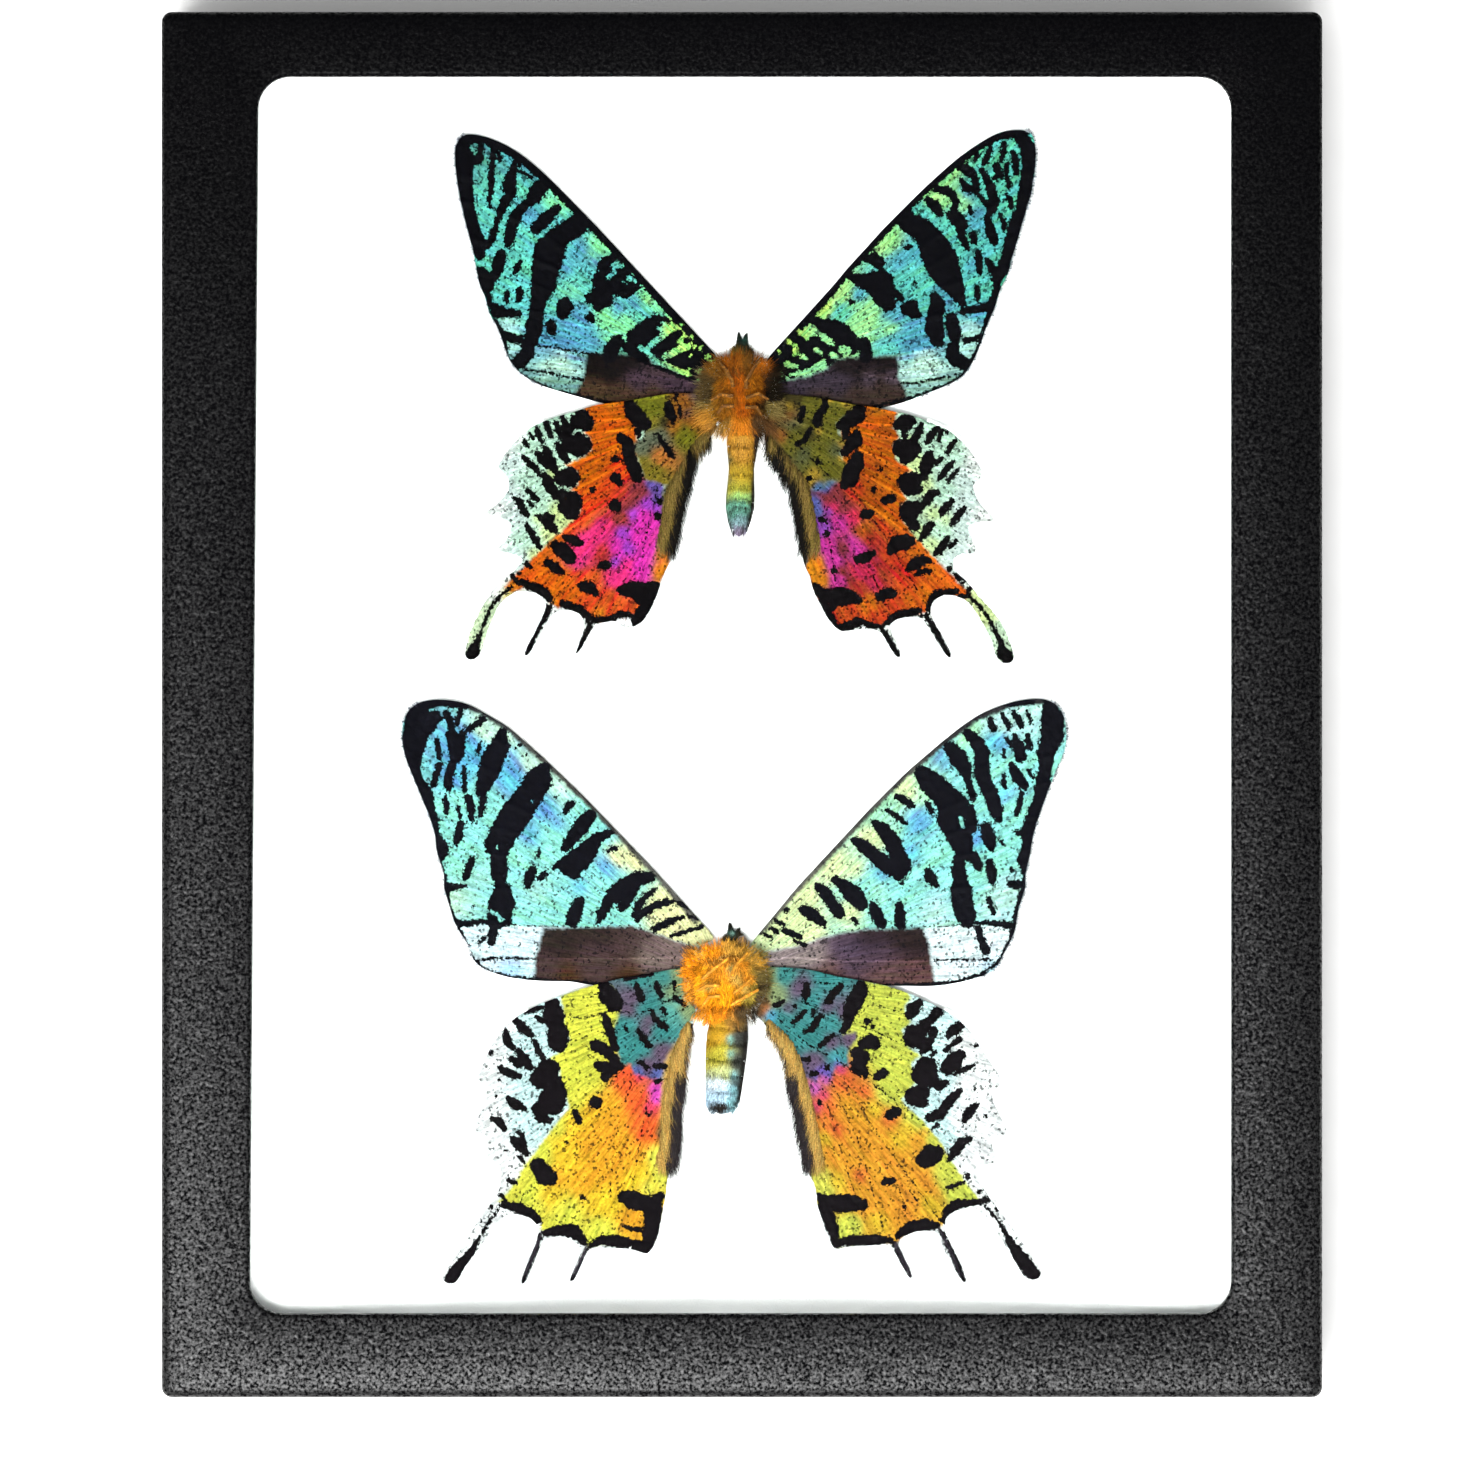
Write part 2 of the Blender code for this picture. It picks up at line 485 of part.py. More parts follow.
def make_body(moth_name, parts, cutters):
    """The grown body in one piece: the thorax joined with the abdomen, head and palps."""
    thorax, *others = body_forms(moth_name, 0, cutters)
    cutters.objects.unlink(thorax)
    parts.objects.link(thorax)
    thorax.name = f"{moth_name}_body"
    thorax.data.materials.append(finish("moth_fur"))
    for index, tip in enumerate(MOTHS[moth_name]["palp_tips"]):
        others.append(palp(f"{moth_name}_palp_{index + 1}", MOTHS[moth_name], tip, cutters))
    for other in others:
        hide_cutter(other)
        cut(thorax, other, "UNION")


def make_wing(moth_name, wing_name, clearances, parts):
    """A wing plate of its outline, bowed up, and cut clear of the thorax and head."""
    outline, base = MOTHS[moth_name]["wings"][wing_name]
    x, y = MOTHS[moth_name]["centre"]
    placed = [(x + px, y + py) for px, py in outline]
    name = f"{moth_name}_{wing_name}"
    mesh = plate(name, placed, base, WING_THICKNESS)
    bm = bmesh.new()
    bm.from_mesh(mesh)
    steps = int(CASE_WIDTH / 2 / WING_STRIP)
    for step in range(-steps, steps + 1):
        bmesh.ops.bisect_plane(
            bm, geom=bm.verts[:] + bm.edges[:] + bm.faces[:], dist=MERGE,
            plane_co=(step * WING_STRIP * MM, 0, 0), plane_no=(1, 0, 0),
        )
    for vert in bm.verts:
        vert.co.z += wing_rise(vert.co.x / MM) * MM
    bm.to_mesh(mesh)
    bm.free()
    kind = "forewing" if "forewing" in wing_name else "hindwing"
    level = moth_name.split("_")[0]
    wing = add_object(name, mesh, parts, f"{level}_{kind}_scales")
    for clearance in clearances:
        cut(wing, clearance)


def leg_height(moth, x, y):
    """The middle of a leg that lies over the rounded thorax, with room for the leg itself."""
    half_x, half_y, half_z = [size + LEG_HEIGHT for size in moth["thorax"]]
    inside = max(0.0, 1 - (x / half_x) ** 2 - (y / half_y) ** 2)
    return BODY_LEVEL + half_z * math.sqrt(inside)


def make_leg(moth_name, leg_name, parts):
    """A folded leg, a thin tapering tube that lies on the underside of the thorax."""
    moth = MOTHS[moth_name]
    centre_x, centre_y = moth["centre"]
    route = moth["legs"][leg_name]
    name = f"{moth_name}_{leg_name}"
    curve = bpy.data.curves.new(name, "CURVE")
    curve.dimensions = "3D"
    curve.bevel_depth = LEG_RADIUS * MM
    curve.bevel_resolution = 1
    curve.use_fill_caps = True
    spline = curve.splines.new("POLY")
    spline.points.add(len(route) - 1)
    for index, (point, (x, y)) in enumerate(zip(spline.points, route)):
        z = leg_height(moth, x, y)
        point.co = ((centre_x + x) * MM, (centre_y + y) * MM, z * MM, 1)
        point.radius = 1 - (1 - LEG_TAPER) * index / (len(route) - 1)
    add_object(name, curve, parts, "moth_leg")


def bed_height(x, y):
    """The batting's top: just below the wings, and rising to the glass outside them."""
    under_wings = FOREWING_BASE - BED_BELOW_WINGS + wing_rise(x)
    share = (abs(y) - BED_EDGE_START) / (BED_EDGE_END - BED_EDGE_START)
    share = min(1.0, max(0.0, share))
    edge = share * share * (3 - 2 * share)
    return min(BED_TOP, under_wings + (BED_TOP - under_wings) * edge)


def make_batting(parts, clearances):
    """A bed of batting with a dished top, and hollows where the bodies press into it."""
    bm = bmesh.new()
    bmesh.ops.create_grid(bm, x_segments=BED_COLUMNS, y_segments=BED_ROWS, size=0.5)
    bmesh.ops.scale(bm, vec=(BED_WIDTH * MM, BED_HEIGHT * MM, 1), verts=bm.verts)
    for vert in bm.verts:
        vert.co.z = bed_height(vert.co.x / MM, vert.co.y / MM) * MM
    rim = [edge for edge in bm.edges if edge.is_boundary]
    walls = bmesh.ops.extrude_edge_only(bm, edges=rim)
    for item in walls["geom"]:
        if isinstance(item, bmesh.types.BMVert):
            item.co.z = BED_BOTTOM * MM
    bottom_rim = [edge for edge in bm.edges if edge.is_boundary]
    bmesh.ops.contextual_create(bm, geom=bottom_rim)
    bmesh.ops.recalc_face_normals(bm, faces=bm.faces)
    batting = add_object("batting", mesh_from(bm, "batting"), parts, "white_batting")
    for clearance in clearances:
        cut(batting, clearance)


def build():
    clear_scene()
    parts = new_collection("framed_sunset_moths")
    cutters = new_collection("cutters")
    make_tray(parts, cutters)
    make_lid(parts, cutters)
    make_glass(parts)
    all_clearances = []
    for moth_name, moth in MOTHS.items():
        make_body(moth_name, parts, cutters)
        clearances = body_forms(moth_name, CLEARANCE, cutters)
        for clearance in clearances:
            hide_cutter(clearance)
        all_clearances += clearances
        thorax, _, head = clearances
        for wing_name in moth["wings"]:
            make_wing(moth_name, wing_name, [thorax, head], parts)
        for leg_name in moth["legs"]:
            make_leg(moth_name, leg_name, parts)
    make_batting(parts, all_clearances)


build()
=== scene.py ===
import math
import random

import bmesh
import bpy
import numpy
from mathutils import Matrix, Vector, noise


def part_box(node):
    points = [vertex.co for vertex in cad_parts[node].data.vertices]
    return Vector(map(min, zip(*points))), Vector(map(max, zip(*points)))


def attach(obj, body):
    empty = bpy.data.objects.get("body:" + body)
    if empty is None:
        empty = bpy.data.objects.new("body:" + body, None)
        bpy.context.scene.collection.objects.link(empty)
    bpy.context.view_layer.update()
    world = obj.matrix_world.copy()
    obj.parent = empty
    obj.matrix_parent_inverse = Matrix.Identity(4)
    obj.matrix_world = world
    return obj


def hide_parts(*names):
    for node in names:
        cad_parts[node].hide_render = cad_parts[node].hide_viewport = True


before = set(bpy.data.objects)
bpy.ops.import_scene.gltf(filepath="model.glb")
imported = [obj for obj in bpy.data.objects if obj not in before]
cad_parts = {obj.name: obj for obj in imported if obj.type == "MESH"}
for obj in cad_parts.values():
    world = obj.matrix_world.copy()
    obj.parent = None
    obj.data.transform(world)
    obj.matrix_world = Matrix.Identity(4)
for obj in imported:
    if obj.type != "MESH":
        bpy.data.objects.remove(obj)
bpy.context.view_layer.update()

MM = 0.001


# Camera
# The case lies on its back and is seen straight from above with a long lens. The case sits
# a little above the middle of the picture.
CAMERA_LENS = 200.0
CAMERA_SENSOR = 36.0
PHOTO_WIDTH_MM = 204.35
CASE_DEPTH = 19.0
CASE_ABOVE_MIDDLE = 5.16

camera_data = bpy.data.cameras.new("studio_camera")
camera_data.lens = CAMERA_LENS
camera_data.sensor_width = CAMERA_SENSOR
camera_distance = PHOTO_WIDTH_MM * CAMERA_LENS / CAMERA_SENSOR
camera_data.clip_start = 0.05
camera_data.clip_end = 10.0
camera = bpy.data.objects.new("studio_camera", camera_data)
camera.location = (0, -CASE_ABOVE_MIDDLE * MM, (CASE_DEPTH + camera_distance) * MM)
bpy.context.scene.collection.objects.link(camera)
bpy.context.scene.camera = camera
bpy.context.scene.view_settings.view_transform = "Standard"


# Studio
# A plain white table under a bright dome of light, dark straight overhead so that the glass
# shows no reflection, and dim near the table. A lamp high at the near left gives the
# leatherette its sheen.
def linear(hex_colour):
    """An sRGB hex colour as linear red, green, blue and an alpha of 1."""
    parts = [int(hex_colour[i:i + 2], 16) / 255 for i in (1, 3, 5)]
    return [c / 12.92 if c <= 0.04045 else ((c + 0.055) / 1.055) ** 2.4 for c in parts] + [1.0]


def add_node(tree, kind, inputs=None, **settings):
    """Adds a node with its settings, and gives each input a value or links it to an output."""
    made = tree.nodes.new(kind)
    for name, value in settings.items():
        setattr(made, name, value)
    for key, value in (inputs or {}).items():
        if isinstance(value, bpy.types.NodeSocket):
            tree.links.new(value, made.inputs[key])
        else:
            made.inputs[key].default_value = value
    return made


def new_material(name):
    """An empty node material, and its tree."""
    material = bpy.data.materials.new(name)
    material.use_nodes = True
    material.node_tree.nodes.clear()
    return material, material.node_tree


def new_piece(name, bm, material, replaced=()):
    """Turns a finished bmesh into a piece of the object that rides on the one body."""
    mesh = bpy.data.meshes.new(name)
    bm.to_mesh(mesh)
    bm.free()
    return finish_piece(name, mesh, material, replaced)


def finish_piece(name, mesh, material, replaced=()):
    mesh.shade_smooth()
    mesh.materials.clear()
    mesh.materials.append(material)
    piece = bpy.data.objects.new(name, mesh)
    bpy.context.scene.collection.objects.link(piece)
    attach(piece, "root")
    if replaced:
        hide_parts(*replaced)
    return piece


TABLE_SIZE = 3.0
DOME_STRENGTH = 1.5
DARK_CAP_START = 0.85
DARK_CAP_END = 0.978

table_paint, tree = new_material("white_laminate_table")
speckle = add_node(tree, "ShaderNodeTexNoise", {"Scale": 900.0, "Detail": 2.0})
tone = add_node(
    tree, "ShaderNodeMix", {0: speckle.outputs["Fac"], 6: linear("#F4F4F3"), 7: linear("#FAFAF9")},
    data_type="RGBA",
)
surface = add_node(
    tree, "ShaderNodeBsdfPrincipled", {"Base Color": tone.outputs[2], "Roughness": 0.7}
)
add_node(tree, "ShaderNodeOutputMaterial", {"Surface": surface.outputs[0]})

bm = bmesh.new()
bmesh.ops.create_grid(bm, x_segments=1, y_segments=1, size=TABLE_SIZE)
table_mesh = bpy.data.meshes.new("table")
bm.to_mesh(table_mesh)
bm.free()
table_mesh.materials.append(table_paint)
table = bpy.data.objects.new("table", table_mesh)
bpy.context.scene.collection.objects.link(table)

world = bpy.data.worlds.new("light_dome")
world.use_nodes = True
world.node_tree.nodes.clear()
tree = world.node_tree
direction = add_node(tree, "ShaderNodeTexCoord")
height = add_node(tree, "ShaderNodeSeparateXYZ", {0: direction.outputs["Generated"]})
# The dark cap overhead is what the glass mirrors back to a camera straight above it.
overhead = add_node(
    tree, "ShaderNodeMapRange",
    {
        "Value": height.outputs["Z"], "From Min": DARK_CAP_START, "From Max": DARK_CAP_END,
        "To Min": 1.0, "To Max": 0.005,
    },
    interpolation_type="SMOOTHSTEP",
)
# The near left side of the dome is brighter than the far right one.
nearness = add_node(
    tree, "ShaderNodeMath",
    {0: height.outputs["X"], 1: 0.25, 2: height.outputs["Y"]}, operation="MULTIPLY_ADD",
)
near_side = add_node(
    tree, "ShaderNodeMapRange",
    {
        "Value": nearness.outputs[0], "From Min": -0.5, "From Max": 0.45,
        "To Min": DOME_STRENGTH * 1.75, "To Max": DOME_STRENGTH * 0.3,
    },
    interpolation_type="SMOOTHSTEP",
)
# The dome fades near the table, so that the glass stays clear when seen from the side.
low_wall = add_node(
    tree, "ShaderNodeMapRange",
    {
        "Value": height.outputs["Z"], "From Min": 0.2, "From Max": 0.5,
        "To Min": 0.15, "To Max": 1.0,
    },
    interpolation_type="SMOOTHSTEP",
)
dome_shape = add_node(
    tree, "ShaderNodeMath", {0: overhead.outputs[0], 1: low_wall.outputs[0]}, operation="MULTIPLY"
)
dome_light = add_node(
    tree, "ShaderNodeMath", {0: dome_shape.outputs[0], 1: near_side.outputs[0]},
    operation="MULTIPLY",
)
dome = add_node(
    tree, "ShaderNodeBackground", {"Color": (1, 1, 1, 1), "Strength": dome_light.outputs[0]}
)
add_node(tree, "ShaderNodeOutputWorld", {"Surface": dome.outputs[0]})
bpy.context.scene.world = world

lamp_data = bpy.data.lights.new("near_left_lamp", "AREA")
lamp_data.energy = 16.0
lamp_data.shape = "RECTANGLE"
lamp_data.size = 0.7
lamp_data.size_y = 0.35
lamp = bpy.data.objects.new("near_left_lamp", lamp_data)
lamp.location = (-0.18, -0.40, 1.0)
lamp.rotation_euler = Vector((0.15, 0.32, -1.0)).to_track_quat("-Z", "Y").to_euler()
bpy.context.scene.collection.objects.link(lamp)


# Lid
# The lid is a shallow card box covered in black pebbled leatherette paper, wrapped round
# its softly rounded outer edges and over the edge of the window. It slides over the tray.
CASE_WIDTH = 160.0
CASE_HEIGHT = 191.0
LID_WALL = 1.6
LID_UNDERSIDE = 17.3
LID_SKIRT_BOTTOM = 1.2
LID_ROUNDING = 1.4
WINDOW_ROUNDING = 0.7
WINDOW_CORNER = 4.4
WINDOW = [(-67.8, -83.9), (67.4, -83.9), (67.4, 86.5), (-66.7, 86.5)]


def rounded_ring(bm, corners, radius, z, steps=8):
    """The points of a ring round four corners, listed anticlockwise, each corner an arc."""
    ring = []
    for index, (x, y) in enumerate(corners):
        middle_x = x - math.copysign(radius, x)
        middle_y = y - math.copysign(radius, y)
        for step in range(steps + 1):
            angle = math.pi + index * math.pi / 2 + step * math.pi / 2 / steps
            ring.append(bm.verts.new((
                (middle_x + radius * math.cos(angle)) * MM,
                (middle_y + radius * math.sin(angle)) * MM, z * MM,
            )))
    return ring


def grown(corners, by):
    """Four corners, moved outwards from the middle by a distance in mm."""
    return [(x + (by if x > 0 else -by), y + (by if y > 0 else -by)) for x, y in corners]


def ring_shell(rings_wanted):
    """A closed shell through a run of rings (corners, radius, z), each joined to the next.
    The rings lie flat inside each other, where bridge_loops would twist them."""
    shell = bmesh.new()
    rings = [rounded_ring(shell, *ring) for ring in rings_wanted]
    for ring, following in zip(rings, rings[1:] + rings[:1]):
        for index in range(len(ring)):
            shell.faces.new((ring[index - 1], ring[index], following[index], following[index - 1]))
    bmesh.ops.recalc_face_normals(shell, faces=shell.faces)
    return shell


# Pebbled leatherette: a black paper pressed with small pebbles, whose tips catch the light as
# tiny glints. The glints are painted stronger along the near rail than along the far one, a
# painted sheen for where the lamp lights the frame.
leatherette, tree = new_material("black_pebbled_leatherette")
place = add_node(tree, "ShaderNodeTexCoord")
in_mm = add_node(
    tree, "ShaderNodeVectorMath", {0: place.outputs["Object"], "Scale": 1 / MM}, operation="SCALE"
)
pebbles = add_node(
    tree, "ShaderNodeTexVoronoi",
    {"Vector": in_mm.outputs[0], "Scale": 1 / 0.75, "Smoothness": 0.5},
    feature="SMOOTH_F1",
)
fine_grain = add_node(
    tree, "ShaderNodeTexNoise",
    {"Vector": in_mm.outputs[0], "Scale": 1 / 0.45, "Detail": 4.0, "Roughness": 0.65},
)
blotches = add_node(
    tree, "ShaderNodeTexNoise", {"Vector": in_mm.outputs[0], "Scale": 1 / 14.0, "Detail": 3.0}
)
relief = add_node(
    tree, "ShaderNodeMix",
    {0: 0.55, 2: pebbles.outputs["Distance"], 3: fine_grain.outputs["Fac"]}, data_type="FLOAT",
)
bump = add_node(
    tree, "ShaderNodeBump",
    {"Height": relief.outputs[0], "Strength": 0.4, "Distance": 0.25 * MM},
)
tint = add_node(
    tree, "ShaderNodeMix",
    {0: blotches.outputs["Fac"], 6: linear("#030304"), 7: linear("#070708")}, data_type="RGBA",
)
glints = add_node(
    tree, "ShaderNodeMapRange",
    {
        "Value": fine_grain.outputs["Fac"], "From Min": 0.41, "From Max": 0.7,
        "To Min": 0.0, "To Max": 0.55,
    },
)
along = add_node(tree, "ShaderNodeSeparateXYZ", {0: in_mm.outputs[0]})
# Painted sheen: the glints' strength falls from the near rail to the far rail, standing in for the
# lamp's light.
painted_near_sheen = add_node(
    tree, "ShaderNodeMapRange",
    {
        "Value": along.outputs["Y"], "From Min": -90.0, "From Max": 88.0,
        "To Min": 1.3, "To Max": 0.14,
    },
)
gloss = add_node(
    tree, "ShaderNodeMath", {0: glints.outputs[0], 1: painted_near_sheen.outputs[0]}, operation="MULTIPLY"
)
surface = add_node(
    tree, "ShaderNodeBsdfPrincipled",
    {
        "Base Color": tint.outputs[2], "Roughness": 0.34, "Specular IOR Level": gloss.outputs[0],
        "Normal": bump.outputs[0],
    },
)
add_node(tree, "ShaderNodeOutputMaterial", {"Surface": surface.outputs[0]})

case_corners = [
    (-CASE_WIDTH / 2, -CASE_HEIGHT / 2), (CASE_WIDTH / 2, -CASE_HEIGHT / 2),
    (CASE_WIDTH / 2, CASE_HEIGHT / 2), (-CASE_WIDTH / 2, CASE_HEIGHT / 2),
]
lid_rings = [
    (grown(case_corners, -LID_WALL), 0.5, LID_SKIRT_BOTTOM),
    (case_corners, LID_ROUNDING, LID_SKIRT_BOTTOM),
]
for step in range(5):
    angle = step * math.pi / 8
    inset = LID_ROUNDING * (1 - math.cos(angle))
    level = CASE_DEPTH - LID_ROUNDING * (1 - math.sin(angle))
    lid_rings.append((grown(case_corners, -inset), LID_ROUNDING - inset * 0.6, level))
lid_rings.append((grown(WINDOW, 6.0), WINDOW_CORNER + 3.0, CASE_DEPTH))
for step in range(5):
    angle = math.pi / 2 - step * math.pi / 8
    outset = WINDOW_ROUNDING * (1 - math.cos(angle))
    level = CASE_DEPTH - WINDOW_ROUNDING * (1 - math.sin(angle))
    lid_rings.append((grown(WINDOW, outset), WINDOW_CORNER + outset, level))
lid_rings.append((WINDOW, WINDOW_CORNER, LID_UNDERSIDE))
lid_rings.append((grown(case_corners, -LID_WALL), 0.5, LID_UNDERSIDE))
new_piece("lid_leatherette", ring_shell(lid_rings), leatherette, ["lid"])


# Tray
# The tray is plain grey-black card, folded up and glued. Only its back shows, below the lid.
# Grey-black board: dull, with the faint mottle of paper fibres.
tray_card, tree = new_material("black_grey_board")
place = add_node(tree, "ShaderNodeTexCoord")
fibres = add_node(
    tree, "ShaderNodeTexNoise",
    {"Vector": place.outputs["Object"], "Scale": 1 / (0.4 * MM), "Detail": 4.0},
)
tint = add_node(
    tree, "ShaderNodeMix",
    {0: fibres.outputs["Fac"], 6: linear("#161618"), 7: linear("#242427")}, data_type="RGBA",
)
bump = add_node(
    tree, "ShaderNodeBump", {"Height": fibres.outputs["Fac"], "Strength": 0.3, "Distance": 0.1 * MM}
)
surface = add_node(
    tree, "ShaderNodeBsdfPrincipled",
    {"Base Color": tint.outputs[2], "Roughness": 0.75, "Normal": bump.outputs[0]},
)
add_node(tree, "ShaderNodeOutputMaterial", {"Surface": surface.outputs[0]})
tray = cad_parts["tray"]
tray.data.materials.clear()
tray.data.materials.append(tray_card)


# Glass
# A pane of clear float glass, cut to the tray's size, lies on the tray's rim under the lid.
# Its edges are ground with a fine bevel.
# Clear glass: it lets the picture through, and mirrors the dome faintly.
glass, tree = new_material("clear_float_glass")
surface = add_node(
    tree, "ShaderNodeBsdfPrincipled",
    {
        "Base Color": linear("#FCFFFD"), "Roughness": 0.0, "IOR": 1.5,
        "Transmission Weight": 1.0,
    },
)
add_node(tree, "ShaderNodeOutputMaterial", {"Surface": surface.outputs[0]})
low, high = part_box("glass_pane")
bm = bmesh.new()
bmesh.ops.create_cube(bm, size=1.0)
bmesh.ops.scale(bm, vec=high - low, verts=bm.verts)
bmesh.ops.translate(bm, vec=(low + high) / 2, verts=bm.verts)
bmesh.ops.bevel(
    bm, geom=bm.edges[:], offset=0.2 * MM, segments=1, profile=0.5, affect="EDGES", material=-1
)
pane = new_piece("glass_sheet", bm, glass, ["glass_pane"])
pane.data.shade_flat()
pane.visible_shadow = False


# Batting
# A bed of soft white polyester batting fills the tray. It dips under the wings and rises
# to the glass outside them, and loose fibres lie over it.
MOTHS = {
    "upper_moth": {"centre": (-0.34, 43.31), "thorax": (5.0, 5.4, 3.2), "abdomen": (0.7, -2.3)},
    "lower_moth": {"centre": (-2.27, -38.21), "thorax": (5.8, 5.6, 3.2), "abdomen": (0.85, -4.3)},
}
BED_WIDTH = 153.2
BED_HEIGHT = 184.2
BED_BOTTOM = 1.5
BED_LEVEL = 10.2
BED_TOP = 14.3
DISH_EDGE = 82.0
DISH_SLOPE = 8.0
ABDOMEN_HOLLOW = 3.4
ABDOMEN_START = 3.0
ABDOMEN_END = 20.5
WING_RISE = 2.6
WING_RISE_AT = 45.0
BODY_LEVEL = 10.6


def wing_rise(x):
    """How far the wings and the batting have bowed up, this far from the case's middle."""
    return WING_RISE * (x / WING_RISE_AT) ** 2


def bed_height(x, y):
    """The top of the batting in mm: a dish that rises at the ends, with soft lumps."""
    share = min(1.0, max(0.0, (abs(y) - DISH_EDGE) / DISH_SLOPE))
    share = share * share * (3 - 2 * share)
    low_level = BED_LEVEL + wing_rise(x)
    level = min(BED_TOP, low_level + (BED_TOP - low_level) * share)
    lumps = 0.22 * noise.noise(Vector((x / 9, y / 9, 0))) + 0.10 * noise.noise(
        Vector((x / 2.5, y / 2.5, 4))
    )
    level = min(BED_TOP, level + lumps)
    for moth in MOTHS.values():
        centre_x, centre_y = moth["centre"]
        half_x, half_y, half_z = [size + 0.5 for size in moth["thorax"]]
        reach = ((x - centre_x) / half_x) ** 2 + ((y - centre_y) / half_y) ** 2
        if reach < 1:
            level = min(level, BODY_LEVEL - half_z * math.sqrt(1 - reach))
        start, turn = moth["abdomen"]
        back = centre_y - y
        side = x - centre_x - start + back * math.sin(math.radians(turn))
        if ABDOMEN_START < back < ABDOMEN_END and abs(side) < ABDOMEN_HOLLOW:
            level = min(level, BODY_LEVEL - math.sqrt(ABDOMEN_HOLLOW ** 2 - side ** 2))
    return level


# White polyester batting: matt and bright, with soft wisps and a faint sheen at its edges.
batting_fleece, tree = new_material("white_polyester_batting")
place = add_node(tree, "ShaderNodeTexCoord")
in_mm = add_node(
    tree, "ShaderNodeVectorMath", {0: place.outputs["Object"], "Scale": 1 / MM}, operation="SCALE"
)
wisps = add_node(
    tree, "ShaderNodeTexNoise",
    {"Vector": in_mm.outputs[0], "Scale": 1 / 1.6, "Detail": 6.0, "Roughness": 0.7, "Distortion": 1.5},
)
tint = add_node(
    tree, "ShaderNodeMix",
    {0: wisps.outputs["Fac"], 6: linear("#F7F7F8"), 7: linear("#FEFEFE")}, data_type="RGBA",
)
bump = add_node(
    tree, "ShaderNodeBump", {"Height": wisps.outputs["Fac"], "Strength": 0.35, "Distance": 0.3 * MM}
)
surface = add_node(
    tree, "ShaderNodeBsdfPrincipled",
    {
        "Base Color": tint.outputs[2], "Roughness": 1.0, "Specular IOR Level": 0.0,
        "Sheen Weight": 0.3, "Sheen Roughness": 0.5, "Normal": bump.outputs[0],
    },
)
add_node(tree, "ShaderNodeOutputMaterial", {"Surface": surface.outputs[0]})

bm = bmesh.new()
bmesh.ops.create_grid(bm, x_segments=150, y_segments=180, size=0.5)
bmesh.ops.scale(bm, vec=(BED_WIDTH * MM, BED_HEIGHT * MM, 1), verts=bm.verts)
for vert in bm.verts:
    vert.co.z = bed_height(vert.co.x / MM, vert.co.y / MM) * MM
rim = [edge for edge in bm.edges if edge.is_boundary]
walls = bmesh.ops.extrude_edge_only(bm, edges=rim)
for item in walls["geom"]:
    if isinstance(item, bmesh.types.BMVert):
        item.co.z = BED_BOTTOM * MM
bmesh.ops.contextual_create(bm, geom=[edge for edge in bm.edges if edge.is_boundary])
bmesh.ops.recalc_face_normals(bm, faces=bm.faces)
bed = new_piece("batting_bed", bm, batting_fleece, ["batting"])


# Batting fibres
# Single fibres lie loosely on the bed, each a fine curved thread.
def strand_mesh(name, strands, width, tip_share=0.25):
    """One mesh of many fine fibres with three sides. Each strand is its points in mm, all of
    one length."""
    section = bpy.data.curves.new(name + "_section", "CURVE")
    outline = section.splines.new("POLY")
    outline.points.add(2)
    outline.use_cyclic_u = True
    radius = width * 0.56 * MM
    for index, point in enumerate(outline.points):
        angle = -index * 2 * math.pi / 3
        point.co = (radius * math.cos(angle), radius * math.sin(angle), 0, 1)
    section_item = bpy.data.objects.new(name + "_section", section)
    bpy.context.scene.collection.objects.link(section_item)
    curve = bpy.data.curves.new(name, "CURVE")
    curve.dimensions = "3D"
    curve.bevel_mode = "OBJECT"
    curve.bevel_object = section_item
    curve.use_fill_caps = True
    for strand in strands:
        spline = curve.splines.new("POLY")
        spline.points.add(len(strand) - 1)
        for index, (point, place) in enumerate(zip(spline.points, strand)):
            point.co = (place[0] * MM, place[1] * MM, place[2] * MM, 1)
            point.radius = 1 - (1 - tip_share) * index / (len(strand) - 1)
    item = bpy.data.objects.new(name + "_curve", curve)
    bpy.context.scene.collection.objects.link(item)
    bpy.context.view_layer.update()
    evaluated = item.evaluated_get(bpy.context.evaluated_depsgraph_get())
    mesh = bpy.data.meshes.new_from_object(evaluated)
    mesh.name = name
    for leftover in (item, section_item):
        bpy.data.objects.remove(leftover, do_unlink=True)
    bpy.data.curves.remove(curve)
    bpy.data.curves.remove(section)
    return mesh


FIBRE_COUNT = 1500
FIBRE_WIDTH = 0.05
FIBRE_STEP = 1.6
FIBRE_REACH = (75.0, 91.0)
picker = random.Random(3)
threads = []
for _ in range(FIBRE_COUNT):
    x = picker.uniform(-70, 70)
    y = picker.uniform(-88, 88)
    heading = picker.uniform(0, 2 * math.pi)
    bend = picker.uniform(-0.5, 0.5)
    thread = []
    for _ in range(5):
        thread.append((x, y, bed_height(x, y) + FIBRE_WIDTH))
        x += FIBRE_STEP * math.cos(heading)
        y += FIBRE_STEP * math.sin(heading)
        x = max(-FIBRE_REACH[0], min(FIBRE_REACH[0], x))
        y = max(-FIBRE_REACH[1], min(FIBRE_REACH[1], y))
        heading += bend
    threads.append(thread)
fibre_mesh = strand_mesh("batting_fibres", threads, FIBRE_WIDTH)
finish_piece("batting_fibres", fibre_mesh, batting_fleece)


# Wings
# Each wing is a thin dry membrane, stiffened by veins and covered on both sides in tiny
# scales that lie like roof tiles. The scales carry all the colour.
FOREWING_TOP = 10.9
HINDWING_TOP = 11.5
WING_SHEET = 0.12
CELL = 1.2


